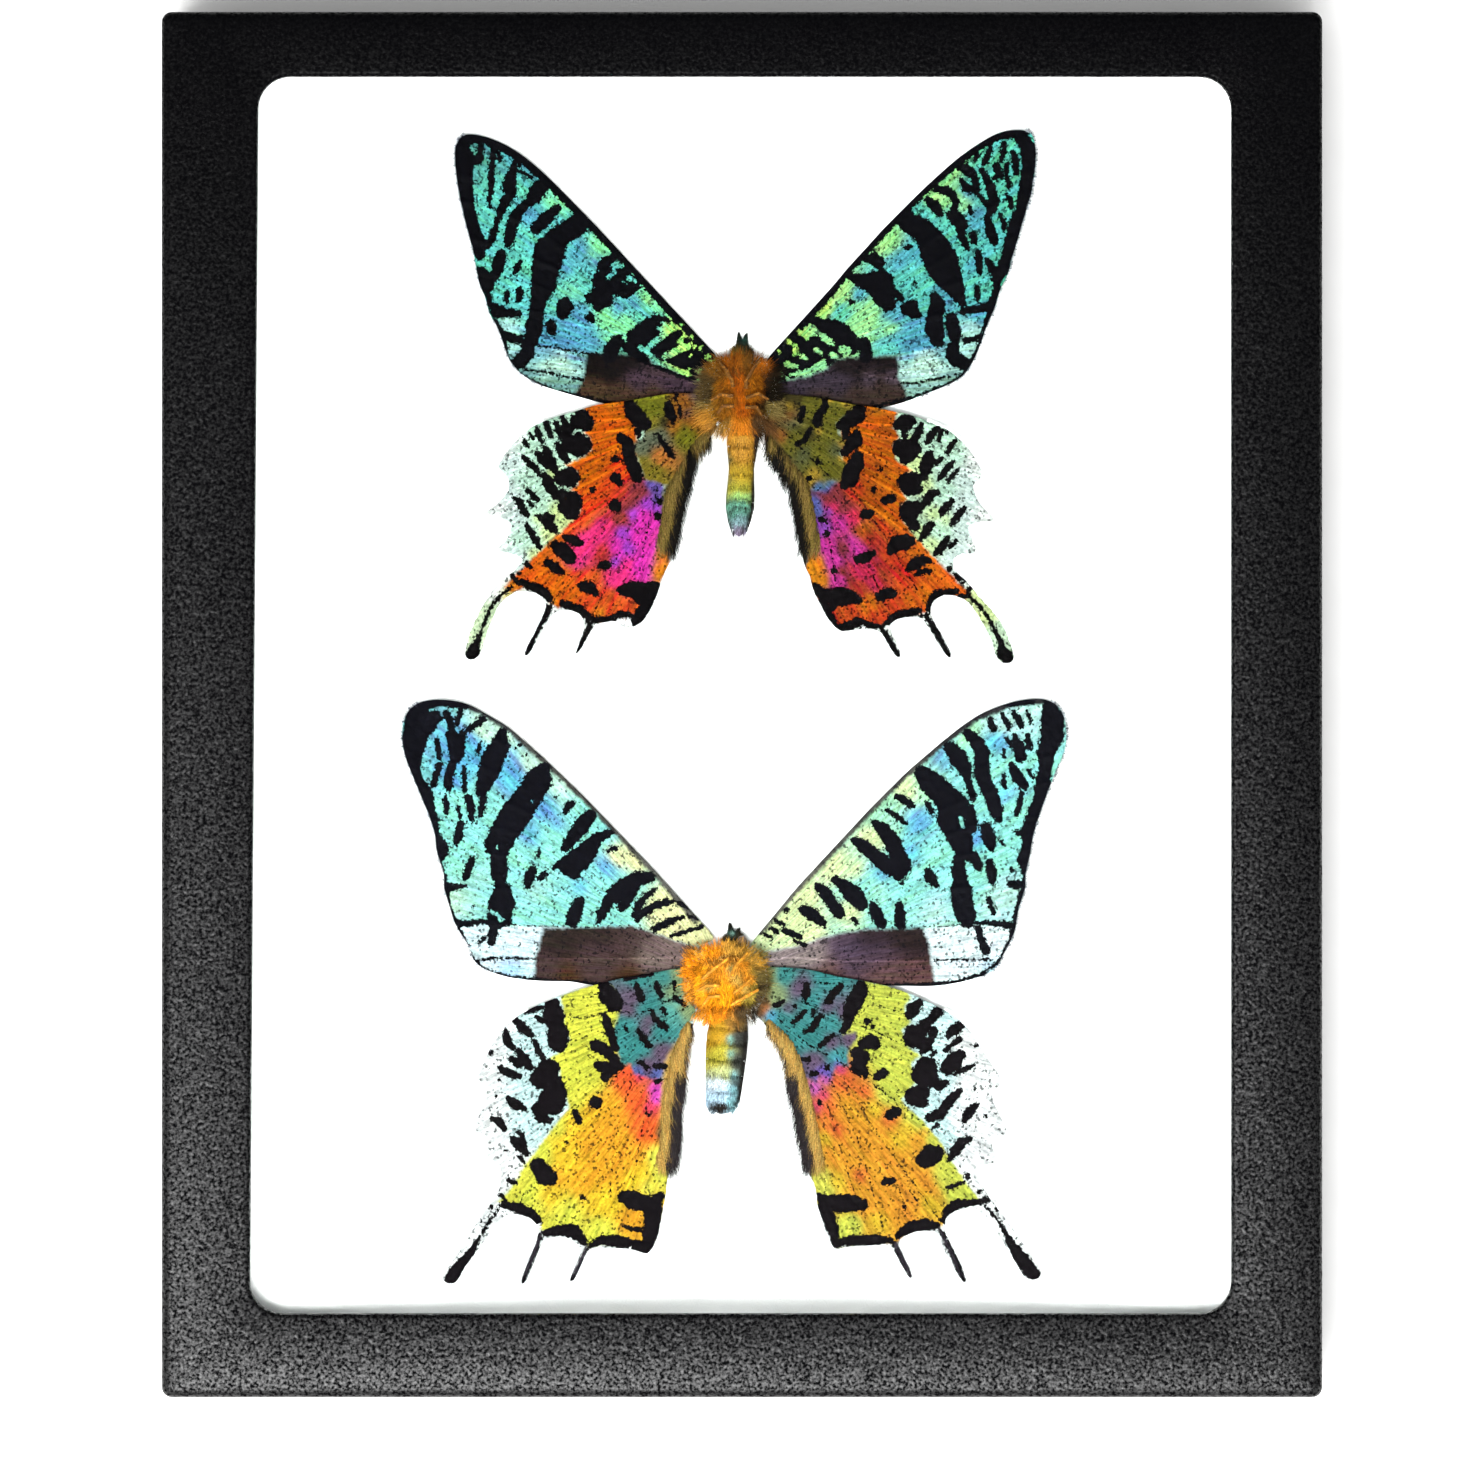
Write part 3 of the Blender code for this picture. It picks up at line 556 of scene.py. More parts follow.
def wing_sheet(node):
    """The top of a CAD wing with its outline rounded, divided finely enough for the pattern."""
    bm = bmesh.new()
    bm.from_mesh(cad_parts[node].data)
    bmesh.ops.remove_doubles(bm, verts=bm.verts, dist=0.01 * MM)
    bm.normal_update()
    sides = [face for face in bm.faces if face.normal.z < 0.5]
    bmesh.ops.delete(bm, geom=sides, context="FACES")
    bmesh.ops.scale(bm, vec=(1, 1, 0), verts=bm.verts)
    bmesh.ops.dissolve_limit(bm, angle_limit=0.02, verts=bm.verts[:], edges=bm.edges[:])
    for _ in range(4):
        long_edges = [edge for edge in bm.edges if edge.calc_length() > 0.9 * MM]
        bmesh.ops.bisect_edges(bm, edges=long_edges, cuts=1)
    for _ in range(2):
        bmesh.ops.smooth_vert(
            bm, verts=bm.verts[:], factor=0.5, use_axis_x=True, use_axis_y=True
        )
    for axis, normal in ((0, (1, 0, 0)), (1, (0, 1, 0))):
        first = min(vert.co[axis] for vert in bm.verts)
        last = max(vert.co[axis] for vert in bm.verts)
        for step in range(1, int((last - first) / (CELL * MM)) + 1):
            level = first + step * CELL * MM
            bmesh.ops.bisect_plane(
                bm, geom=bm.verts[:] + bm.edges[:] + bm.faces[:], dist=0.001 * MM,
                plane_co=Vector(normal) * level, plane_no=normal,
            )
    bmesh.ops.triangulate(bm, faces=[face for face in bm.faces if len(face.verts) > 4])
    bmesh.ops.subdivide_edges(bm, edges=bm.edges[:], cuts=4, use_grid_fill=True)
    return bm


def edge_distance(x, y, strokes):
    """Distance in mm to the nearest stroke's edge, negative inside it. A stroke is a run of
    (x, y, half-width)."""
    nearest = numpy.full(len(x), 9.0)
    for stroke in strokes:
        ends = stroke if len(stroke) > 1 else stroke * 2
        for (ax, ay, ar), (bx, by, br) in zip(ends, ends[1:]):
            run_x, run_y = bx - ax, by - ay
            square = max(run_x ** 2 + run_y ** 2, 1e-6)
            along = numpy.clip(((x - ax) * run_x + (y - ay) * run_y) / square, 0, 1)
            away = numpy.hypot(x - ax - along * run_x, y - ay - along * run_y)
            nearest = numpy.minimum(nearest, away - ar - along * (br - ar))
    return nearest


def area_distance(x, y, outline):
    """Distance in mm to the edge of an area, negative inside it."""
    closed = outline + outline[:1]
    nearest = edge_distance(x, y, [[(px, py, 0.0) for px, py in closed]])
    inside = numpy.zeros(len(x), bool)
    for (ax, ay), (bx, by) in zip(closed, closed[1:]):
        crosses = (ay > y) != (by > y)
        run = (bx - ax) * (y - ay) / (by - ay if by != ay else 1e-9) + ax
        inside ^= crosses & (x < run)
    return numpy.where(inside, -nearest, nearest)


def blended_colour(x, y, patches):
    """A soft blend of patches of scale colour, {hex colour: [(x, y, reach)]}."""
    total = numpy.full(len(x), 1e-12)
    colour = numpy.zeros((len(x), 3))
    for hex_colour, places in patches.items():
        rgb = numpy.array(linear(hex_colour)[:3])
        for px, py, reach in places:
            gap = ((x - px) ** 2 + (y - py) ** 2) / (2 * reach ** 2)
            weight = 1 / (1 + gap) ** 3
            total += weight
            colour += weight[:, None] * rgb
    return colour / total[:, None]


def set_float(mesh, name, values):
    attribute = mesh.attributes.new(name, "FLOAT", "POINT")
    attribute.data.foreach_set("value", values.astype(numpy.float32))


def set_colour(mesh, name, values):
    attribute = mesh.attributes.new(name, "FLOAT_COLOR", "POINT")
    rgba = numpy.ones((len(values), 4), numpy.float32)
    rgba[:, :3] = values
    attribute.data.foreach_set("color", rgba.ravel())


def wing_scales(name, speckle, edge_noise, spread, stray, shimmer, black_tone):
    """Scaled wing membrane. Tiny tile-like scales give a grainy surface with scattered dark
    ones, fine streaks along the veins that shift in hue, and crumbly edges to the marks.
    Speckle is how far single scales differ in lightness, edge_noise how crumbly the marks'
    edges are, spread how far in mm the marks grow, stray the share of dark scales, and
    shimmer how far the hue shifts."""
    material, tree = new_material(name)
    place = add_node(tree, "ShaderNodeTexCoord")
    in_mm = add_node(
        tree, "ShaderNodeVectorMath", {0: place.outputs["Object"], "Scale": 1 / MM},
        operation="SCALE",
    )
    ground = add_node(tree, "ShaderNodeAttribute", attribute_name="ground")
    black = add_node(tree, "ShaderNodeAttribute", attribute_name="black_mark")
    bright = add_node(tree, "ShaderNodeAttribute", attribute_name="bright_vein")
    rays = add_node(tree, "ShaderNodeAttribute", attribute_name="rays")
    grain = add_node(
        tree, "ShaderNodeTexNoise",
        {"Vector": in_mm.outputs[0], "Scale": 1 / 0.28, "Detail": 2.0, "Roughness": 0.6},
    )
    crumbs = add_node(
        tree, "ShaderNodeTexNoise",
        {"Vector": in_mm.outputs[0], "Scale": 1 / 0.6, "Detail": 3.0, "Roughness": 0.7},
    )
    single_scales = add_node(
        tree, "ShaderNodeTexVoronoi", {"Vector": in_mm.outputs[0], "Scale": 1 / 0.3},
    )
    scale_luck = add_node(tree, "ShaderNodeSeparateColor", {0: single_scales.outputs["Color"]})
    streaks = add_node(
        tree, "ShaderNodeTexNoise",
        {"Vector": rays.outputs["Vector"], "Scale": 1.0, "Detail": 3.0, "Roughness": 0.6},
    )
    light_grain = add_node(
        tree, "ShaderNodeMapRange",
        {
            "Value": scale_luck.outputs[0], "From Min": 0.0, "From Max": 1.0,
            "To Min": 1 - speckle, "To Max": 1 + speckle,
        },
        clamp=False,
    )
    light_streak = add_node(
        tree, "ShaderNodeMapRange",
        {
            "Value": streaks.outputs["Fac"], "From Min": 0.3, "From Max": 0.7,
            "To Min": 0.21, "To Max": 0.55,
        },
        clamp=False,
    )
    light = add_node(
        tree, "ShaderNodeMath", {0: light_grain.outputs[0], 1: light_streak.outputs[0]},
        operation="MULTIPLY",
    )
    broad_rays = add_node(
        tree, "ShaderNodeVectorMath", {0: rays.outputs["Vector"], "Scale": 0.55},
        operation="SCALE",
    )
    hue_streaks = add_node(
        tree, "ShaderNodeTexNoise",
        {"Vector": broad_rays.outputs[0], "Scale": 1.0, "Detail": 2.0, "Roughness": 0.6},
    )
    hue = add_node(
        tree, "ShaderNodeMapRange",
        {
            "Value": hue_streaks.outputs["Fac"], "From Min": 0.3, "From Max": 0.7,
            "To Min": 0.5 - shimmer, "To Max": 0.5 + shimmer,
        },
    )
    shifting = add_node(
        tree, "ShaderNodeHueSaturation",
        {"Hue": hue.outputs[0], "Saturation": 1.0, "Color": ground.outputs["Color"]},
    )
    tinted = add_node(
        tree, "ShaderNodeVectorMath", {0: shifting.outputs[0], "Scale": light.outputs[0]},
        operation="SCALE",
    )
    vein_light = add_node(
        tree, "ShaderNodeMapRange",
        {
            "Value": bright.outputs["Fac"], "From Min": 0.0, "From Max": 0.18,
            "To Min": 1.9, "To Max": 1.0,
        },
    )
    lighter = add_node(
        tree, "ShaderNodeVectorMath", {0: tinted.outputs[0], "Scale": vein_light.outputs[0]},
        operation="SCALE",
    )
    stray_dark = add_node(
        tree, "ShaderNodeMapRange",
        {
            "Value": scale_luck.outputs[1], "From Min": stray, "From Max": stray + 0.1,
            "To Min": 0.8, "To Max": 0.0,
        },
    )
    speckled = add_node(
        tree, "ShaderNodeMix",
        {0: stray_dark.outputs[0], 6: lighter.outputs[0], 7: linear(black_tone)},
        data_type="RGBA",
    )
    crumbled = add_node(
        tree, "ShaderNodeMath",
        {0: crumbs.outputs["Fac"], 1: edge_noise, 2: black.outputs["Fac"]},
        operation="MULTIPLY_ADD",
    )
    shifted = add_node(
        tree, "ShaderNodeMath",
        {0: scale_luck.outputs[2], 1: 0.28, 2: crumbled.outputs[0]}, operation="MULTIPLY_ADD",
    )
    mark = add_node(
        tree, "ShaderNodeMapRange",
        {
            "Value": shifted.outputs[0], "From Min": edge_noise / 2 + spread + 0.12,
            "From Max": edge_noise / 2 + spread + 0.2, "To Min": 1.0, "To Max": 0.0,
        },
        interpolation_type="SMOOTHSTEP",
    )
    patterned = add_node(
        tree, "ShaderNodeMix",
        {0: mark.outputs[0], 6: speckled.outputs[2], 7: linear(black_tone)}, data_type="RGBA",
    )
    relief = add_node(
        tree, "ShaderNodeMath", {0: grain.outputs["Fac"], 1: streaks.outputs["Fac"]},
        operation="ADD",
    )
    bump = add_node(
        tree, "ShaderNodeBump",
        {"Height": relief.outputs[0], "Strength": 0.5, "Distance": 0.06 * MM},
    )
    surface = add_node(
        tree, "ShaderNodeBsdfPrincipled",
        {
            "Base Color": patterned.outputs[2], "Roughness": 0.5, "Specular IOR Level": 0.015,
            "Normal": bump.outputs[0],
        },
    )
    add_node(tree, "ShaderNodeOutputMaterial", {"Surface": surface.outputs[0]})
    return material


def make_wing(moth, wing, material, black, clear, ground, zones=(), bright=(), dark_veins=()):
    """A wing with its markings. All points are in mm from the middle of the thorax."""
    node = f"{moth}_{wing}"
    centre_x, centre_y = MOTHS[moth]["centre"]
    bm = wing_sheet(node)
    mesh = bpy.data.meshes.new(node)
    bm.to_mesh(mesh)
    bm.free()
    count = len(mesh.vertices)
    places = numpy.empty(count * 3)
    mesh.vertices.foreach_get("co", places)
    places = places.reshape(-1, 3) / MM
    x, y = places[:, 0] - centre_x, places[:, 1] - centre_y
    shake = numpy.array([
        noise.noise_vector(Vector((px * 1.3, py * 1.3, 0))) + 0.6 * noise.noise_vector(
            Vector((px * 4, py * 4, 2))
        )
        for px, py in zip(x, y)
    ])
    shaken_x, shaken_y = x + 0.22 * shake[:, 0], y + 0.22 * shake[:, 1]
    colour = blended_colour(x, y, ground)
    for outline, softness, patches in zones:
        distance = area_distance(shaken_x, shaken_y, outline)
        share = numpy.clip(0.5 - distance / softness, 0, 1)[:, None]
        colour = colour * (1 - share) + blended_colour(x, y, patches) * share
    distance = edge_distance(x, y, list(black))
    if clear:
        distance = numpy.maximum(distance, -edge_distance(x, y, list(clear)))
    if dark_veins:
        distance = numpy.minimum(distance, edge_distance(x, y, list(dark_veins)) + 0.12)
    vein = edge_distance(x, y, list(bright))
    ridges = numpy.minimum(vein, edge_distance(x, y, list(dark_veins)))
    top = FOREWING_TOP if "forewing" in wing else HINDWING_TOP
    places[:, 2] = (
        top + wing_rise(places[:, 0]) + 0.09 * numpy.exp(-(ridges / 0.35) ** 2)
        + 0.05 * shake[:, 2]
    )
    mesh.vertices.foreach_set("co", (places * MM).ravel())
    set_colour(mesh, "ground", colour)
    set_float(mesh, "black_mark", distance)
    set_float(mesh, "bright_vein", vein)
    away = numpy.hypot(x, y)
    turn = numpy.arctan2(y, numpy.abs(x))
    rays = numpy.stack([turn * 75, away * 0.25, numpy.zeros(count)], 1)
    attribute = mesh.attributes.new("rays", "FLOAT_VECTOR", "POINT")
    attribute.data.foreach_set("vector", rays.astype(numpy.float32).ravel())
    bm = bmesh.new()
    bm.from_mesh(mesh)
    bm.normal_update()
    under = bm.faces[:]
    below = bm.verts[:]
    bmesh.ops.extrude_face_region(bm, geom=under, use_keep_orig=True)
    for vert in below:
        vert.co.z -= WING_SHEET * MM
    bmesh.ops.reverse_faces(bm, faces=under)
    bm.to_mesh(mesh)
    bm.free()
    return finish_piece(f"{node}_scaled", mesh, material, [node])


lower_forewing_scales = wing_scales("turquoise_moth_scales", 0.22, 0.7, 0.0, 0.05, 0.05, "#040408")
lower_hindwing_scales = wing_scales("yellow_moth_scales", 0.2, 0.6, 0.08, 0.06, 0.012, "#060406")
upper_forewing_scales = wing_scales("teal_moth_scales", 0.3, 0.75, 0.04, 0.12, 0.06, "#020204")
upper_hindwing_scales = wing_scales("orange_moth_scales", 0.28, 0.6, 0.1, 0.08, 0.015, "#030203")


# Lower moth, left forewing
# Turquoise with black bars, a brown hind border that ends in a pale blue tip, and a dark
# navy point.
make_wing(
    "lower_moth", "left_forewing", lower_forewing_scales,
    black=[
        [(-43, 38, 1.6), (-42.5, 35.5, 1.9), (-43.3, 32.5, 1.8), (-43.2, 30, 1.1), (-42.6, 28, 0.7),
        (-41.8, 25.8, 1.4), (-41.5, 24, 1.3), (-40.8, 22, 1.1), (-40.3, 20, 0.9),
        (-39.6, 18.2, 1.4), (-39.8, 16.5, 0.6), (-38.9, 14.5, 0.3), (-38.8, 12.7, 0.5),
        (-38.2, 10.6, 0.3), (-37.4, 8, 0.3), (-36, 5.6, 0.3), (-35, 3, 0.25), (-33.5, 1.7, 0.2),
        (-30, 0.6, 0.2), (-26, 0.15, 0.25), (-20, -0.3, 0.3), (-14, -0.9, 0.3)], [(-42, 38.4, 0.9),
        (-39, 38.5, 0.5), (-36, 38, 0.4)], [(-40.2, 36.5, 1.0), (-41.2, 34.8, 0.8)],
        [(-39, 12.9, 0.9), (-37.5, 12.9, 0.5), (-36, 13.1, 0.25)], [(-38.6, 36.9, 0.6),
        (-37.9, 35.2, 0.6)], [(-36.6, 37.4, 0.45), (-37.3, 35.6, 0.45)], [(-33.5, 36.2, 0.5),
        (-34.8, 35.3, 0.5), (-35.7, 34.7, 0.5)], [(-37.9, 34, 0.9), (-37.5, 32.4, 0.9),
        (-37.4, 31, 0.9)], [(-36.4, 34.1, 0.6), (-36.8, 31.2, 0.6)], [(-39.9, 33.2, 0.4),
        (-39.6, 31, 0.4)], [(-34, 33, 0.25), (-34.3, 31.2, 0.25)], [(-39.6, 29.9, 0.5),
        (-40.4, 27.2, 0.5)], [(-37.8, 30, 0.65), (-38.3, 28.2, 0.65), (-38.4, 26.9, 0.65)],
        [(-36.2, 29.5, 0.35), (-36.1, 26.4, 0.35)], [(-30.9, 34.4, 0.7), (-31.2, 32.5, 1.4),
        (-32.2, 30.7, 1.6), (-32.9, 28.5, 1.45), (-33.8, 26.3, 0.9)], [(-35.6, 25.2, 0.6),
        (-35.2, 23.8, 0.6), (-35.2, 22.3, 0.4)], [(-33.5, 25.4, 0.5), (-34, 22.8, 0.4)],
        [(-37, 24.1, 0.3), (-36.7, 22.5, 0.3)], [(-38.8, 25.4, 0.4), (-38.6, 23.2, 0.4)],
        [(-25.2, 29.4, 0.9), (-25.9, 27.8, 1.9), (-27.2, 25.6, 1.9), (-28.9, 23.2, 2.1),
        (-30.4, 20.9, 2), (-31.5, 18.9, 1.9)], [(-31.4, 17.2, 1.2), (-31.3, 15.2, 1.25),
        (-31.2, 13.3, 0.8)], [(-30.8, 12.6, 1.2), (-31, 10.8, 1.9), (-31.3, 9, 1.8),
        (-31.8, 8.2, 1.3)], [(-32.1, 7.2, 0.7), (-32.4, 5.4, 0.6)], [(-33.2, 6, 0.3),
        (-34.2, 5.2, 0.2)], [(-36.7, 21.6, 0.6), (-37, 20, 0.7), (-37.2, 19, 0.4)],
        [(-35.1, 16.8, 0.5), (-35.6, 15.4, 0.65), (-36, 14.3, 0.45)], [(-18.6, 23, 0.8),
        (-19.6, 21.9, 1.2), (-20.8, 20.4, 1), (-21.8, 19, 0.9), (-22.4, 18.1, 0.4)],
        [(-20.9, 24.9, 0.25), (-21.6, 24.3, 0.6), (-22.3, 23.4, 0.35)], [(-16, 20.6, 0.5),
        (-17.9, 19.6, 0.9), (-19, 18.1, 1.4), (-20.3, 16.8, 1.7), (-21.6, 15.9, 1.5), (-21, 15, 1)],
        [(-23.2, 16, 0.6), (-24, 15.6, 0.25)], [(-16.2, 18, 0.3), (-15.3, 18.3, 0.45)],
        [(-26.8, 15.4, 0.6), (-27.2, 14.2, 0.75), (-27.4, 13.2, 0.5)], [(-25, 15.1, 0.3),
        (-25.6, 14.2, 0.5)], [(-24.7, 14.7, 0.3)], [(-25.9, 18.2, 0.3), (-26, 17.2, 0.35)],
        [(-30.9, 25.5, 0.3)], [(-23.6, 25.4, 0.22)], [(-27.9, 18.7, 0.22)], [(-22.6, 12.8, 0.22)],
        [(-35, 10.3, 0.25)], [(-29.1, 32.2, 0.25)], [(-28.4, 32.6, 0.3)], [(-27.6, 31.4, 0.3)],
        [(-10.4, 14.4, 0.7), (-12.2, 14, 1.1), (-14, 12.9, 1.3), (-15.5, 11.8, 1.2),
        (-16.5, 10.9, 0.7)], [(-16.2, 10.5, 0.5), (-17.2, 9.3, 0.8), (-17.6, 8.2, 0.4)],
        [(-12.6, 12.7, 0.6), (-13.3, 11.6, 0.7), (-14.3, 10.3, 0.8)], [(-9.7, 12.7, 0.3),
        (-10.9, 11.8, 0.4), (-12, 10.5, 0.6), (-12.6, 9, 0.5)], [(-7.3, 11, 0.35),
        (-9.2, 10.6, 0.6), (-11, 9.7, 0.6), (-12.2, 8.7, 0.6)], [(-6, 8.8, 0.3), (-8.2, 8, 0.6),
        (-9.6, 7.2, 0.5), (-10.1, 7.4, 0.3)], [(-3.2, 7.5, 0.3), (-5, 6.9, 0.35),
        (-7.5, 6.2, 0.35)], [(-6.5, 10.8, 0.4), (-5.4, 10.2, 0.3)], [(-5.2, 9, 0.25),
        (-3.8, 8.6, 0.25)], [(-20.2, 11, 0.7), (-20.7, 9.8, 1), (-21.2, 8.3, 1)], [(-37.8, 8, 0.7),
        (-36, 7.9, 0.45), (-33.5, 8.2, 0.35), (-30, 7.9, 0.3)], [(-35, 2.7, 0.18), (-32, 3.2, 0.15),
        (-26, 3, 0.15)],
    ],
    clear=[[(-32.5, 9.8, 0.2), (-31, 8.4, 0.3)], [(-31.5, 18.5, 0.22)], [(-26.7, 24.8, 0.2)]],
    ground={
        "#8CDED2": [(-33, 12, 3), (-29, 17, 2.5), (-20, 22, 2), (-24, 20, 2), (-18, 13, 2),
            (-36, 17, 2), (-35, 24, 2), (-24, 10, 3)],
        "#5DACD6": [(-29.5, 28.5, 1.2), (-25, 23.5, 1.2), (-23.5, 21.5, 1), (-27, 20, 1.2),
            (-16.5, 15.5, 1), (-35.5, 31.5, 1.2), (-20, 13, 1), (-37, 28, 1)],
        "#E4E5A8": [(-15, 17, 0.8), (-12.5, 17, 0.8), (-8.5, 10, 0.9), (-5, 7.5, 1),
            (-7, 6.5, 0.8)],
        "#C0E7D2": [(-31, 35.3, 1), (-22.5, 27, 1), (-37, 11, 1.5), (-27, 30, 0.9), (-33, 35, 0.8)],
        "#A5DED6": [(-35, 11, 1.5), (-34, 14, 1.5), (-26, 12.5, 1.5), (-22, 25, 1)],
    },
    zones=[
        ([(-0.5, 9), (-4, 11), (-10, 17), (-20, 27.5), (-30, 36.5), (-37, 40), (-46, 41),
          (-46, 37.5), (-37, 38), (-34, 36.9), (-30, 34.3), (-25, 29.8), (-20, 25), (-15, 19.8),
          (-10, 14.5), (-4.5, 8)], 0.3, {
            "#494744": [(-20, 25, 5)], "#595753": [(-8, 13, 4)], "#2E2C2F": [(-36, 38, 4)],
        }),
        ([(-1, 3), (-2, 4.2), (-6, 5.2), (-9, 6.3), (-13, 7.6), (-20, 7.4), (-28, 7.6), (-37.8, 8),
          (-37, 4), (-33, 0), (-20, -2), (-5, -2)], 0.3, {
            "#D5EDF3": [(-32, 6, 2.5), (-33, 2.5, 1.5), (-28, 5, 2)], "#A0CEED": [(-30, 1.8, 1.2)],
        }),
        ([(-1, 3), (-2, 4.2), (-6, 5.2), (-9, 6.3), (-13, 7.6), (-20, 7.4), (-25.2, 7.3),
          (-25.8, 5), (-26.3, 3.5), (-26.5, 0.5), (-26, -2), (-5, -2)], 0.5, {
            "#2B211E": [(-22, 6.5, 2), (-17, 6.5, 2), (-23, 4.5, 1.5)],
            "#473534": [(-15, 4.8, 2), (-19, 2.6, 2), (-24, 2, 1.5)],
            "#75625F": [(-7, 3.5, 1.5), (-10, 2.5, 1.5)],
            "#472C14": [(-22, 0.8, 1.5), (-13, 0.2, 1.5)],
        }),
    ],
    bright=[[(-25, 3, 0.02), (-15, 3, 0.02), (-5, 3.2, 0.02)]],
    dark_veins=[
        [(-38, 35, 0.05), (-33, 34, 0.05), (-30.5, 32.7, 0.05)], [(-42, 30.4, 0.07),
        (-34.2, 29.9, 0.05), (-31.5, 28.4, 0.05)], [(-41.5, 26.5, 0.07), (-38, 26.3, 0.05),
        (-35, 25.8, 0.05), (-31.5, 24.8, 0.05), (-25, 22.6, 0.05)], [(-40, 22.3, 0.07),
        (-36, 22, 0.05), (-32.3, 21.2, 0.05), (-28, 20.2, 0.05), (-23, 18, 0.05)],
        [(-38.5, 18, 0.07), (-36, 18.2, 0.05), (-33, 17.7, 0.05), (-29, 17, 0.05),
        (-23.5, 15.2, 0.05)], [(-38.5, 14.1, 0.07), (-36.5, 13.3, 0.05), (-32.5, 12.9, 0.05),
        (-28, 12.4, 0.05), (-24, 12, 0.05), (-19.5, 11.5, 0.05)], [(-33.5, 8.2, 0.2),
        (-30, 7.9, 0.2), (-28, 7.6, 0.12), (-20, 7.45, 0.1), (-13, 7.6, 0.12), (-9, 6.3, 0.1),
        (-6, 5.2, 0.1)],
    ],
)


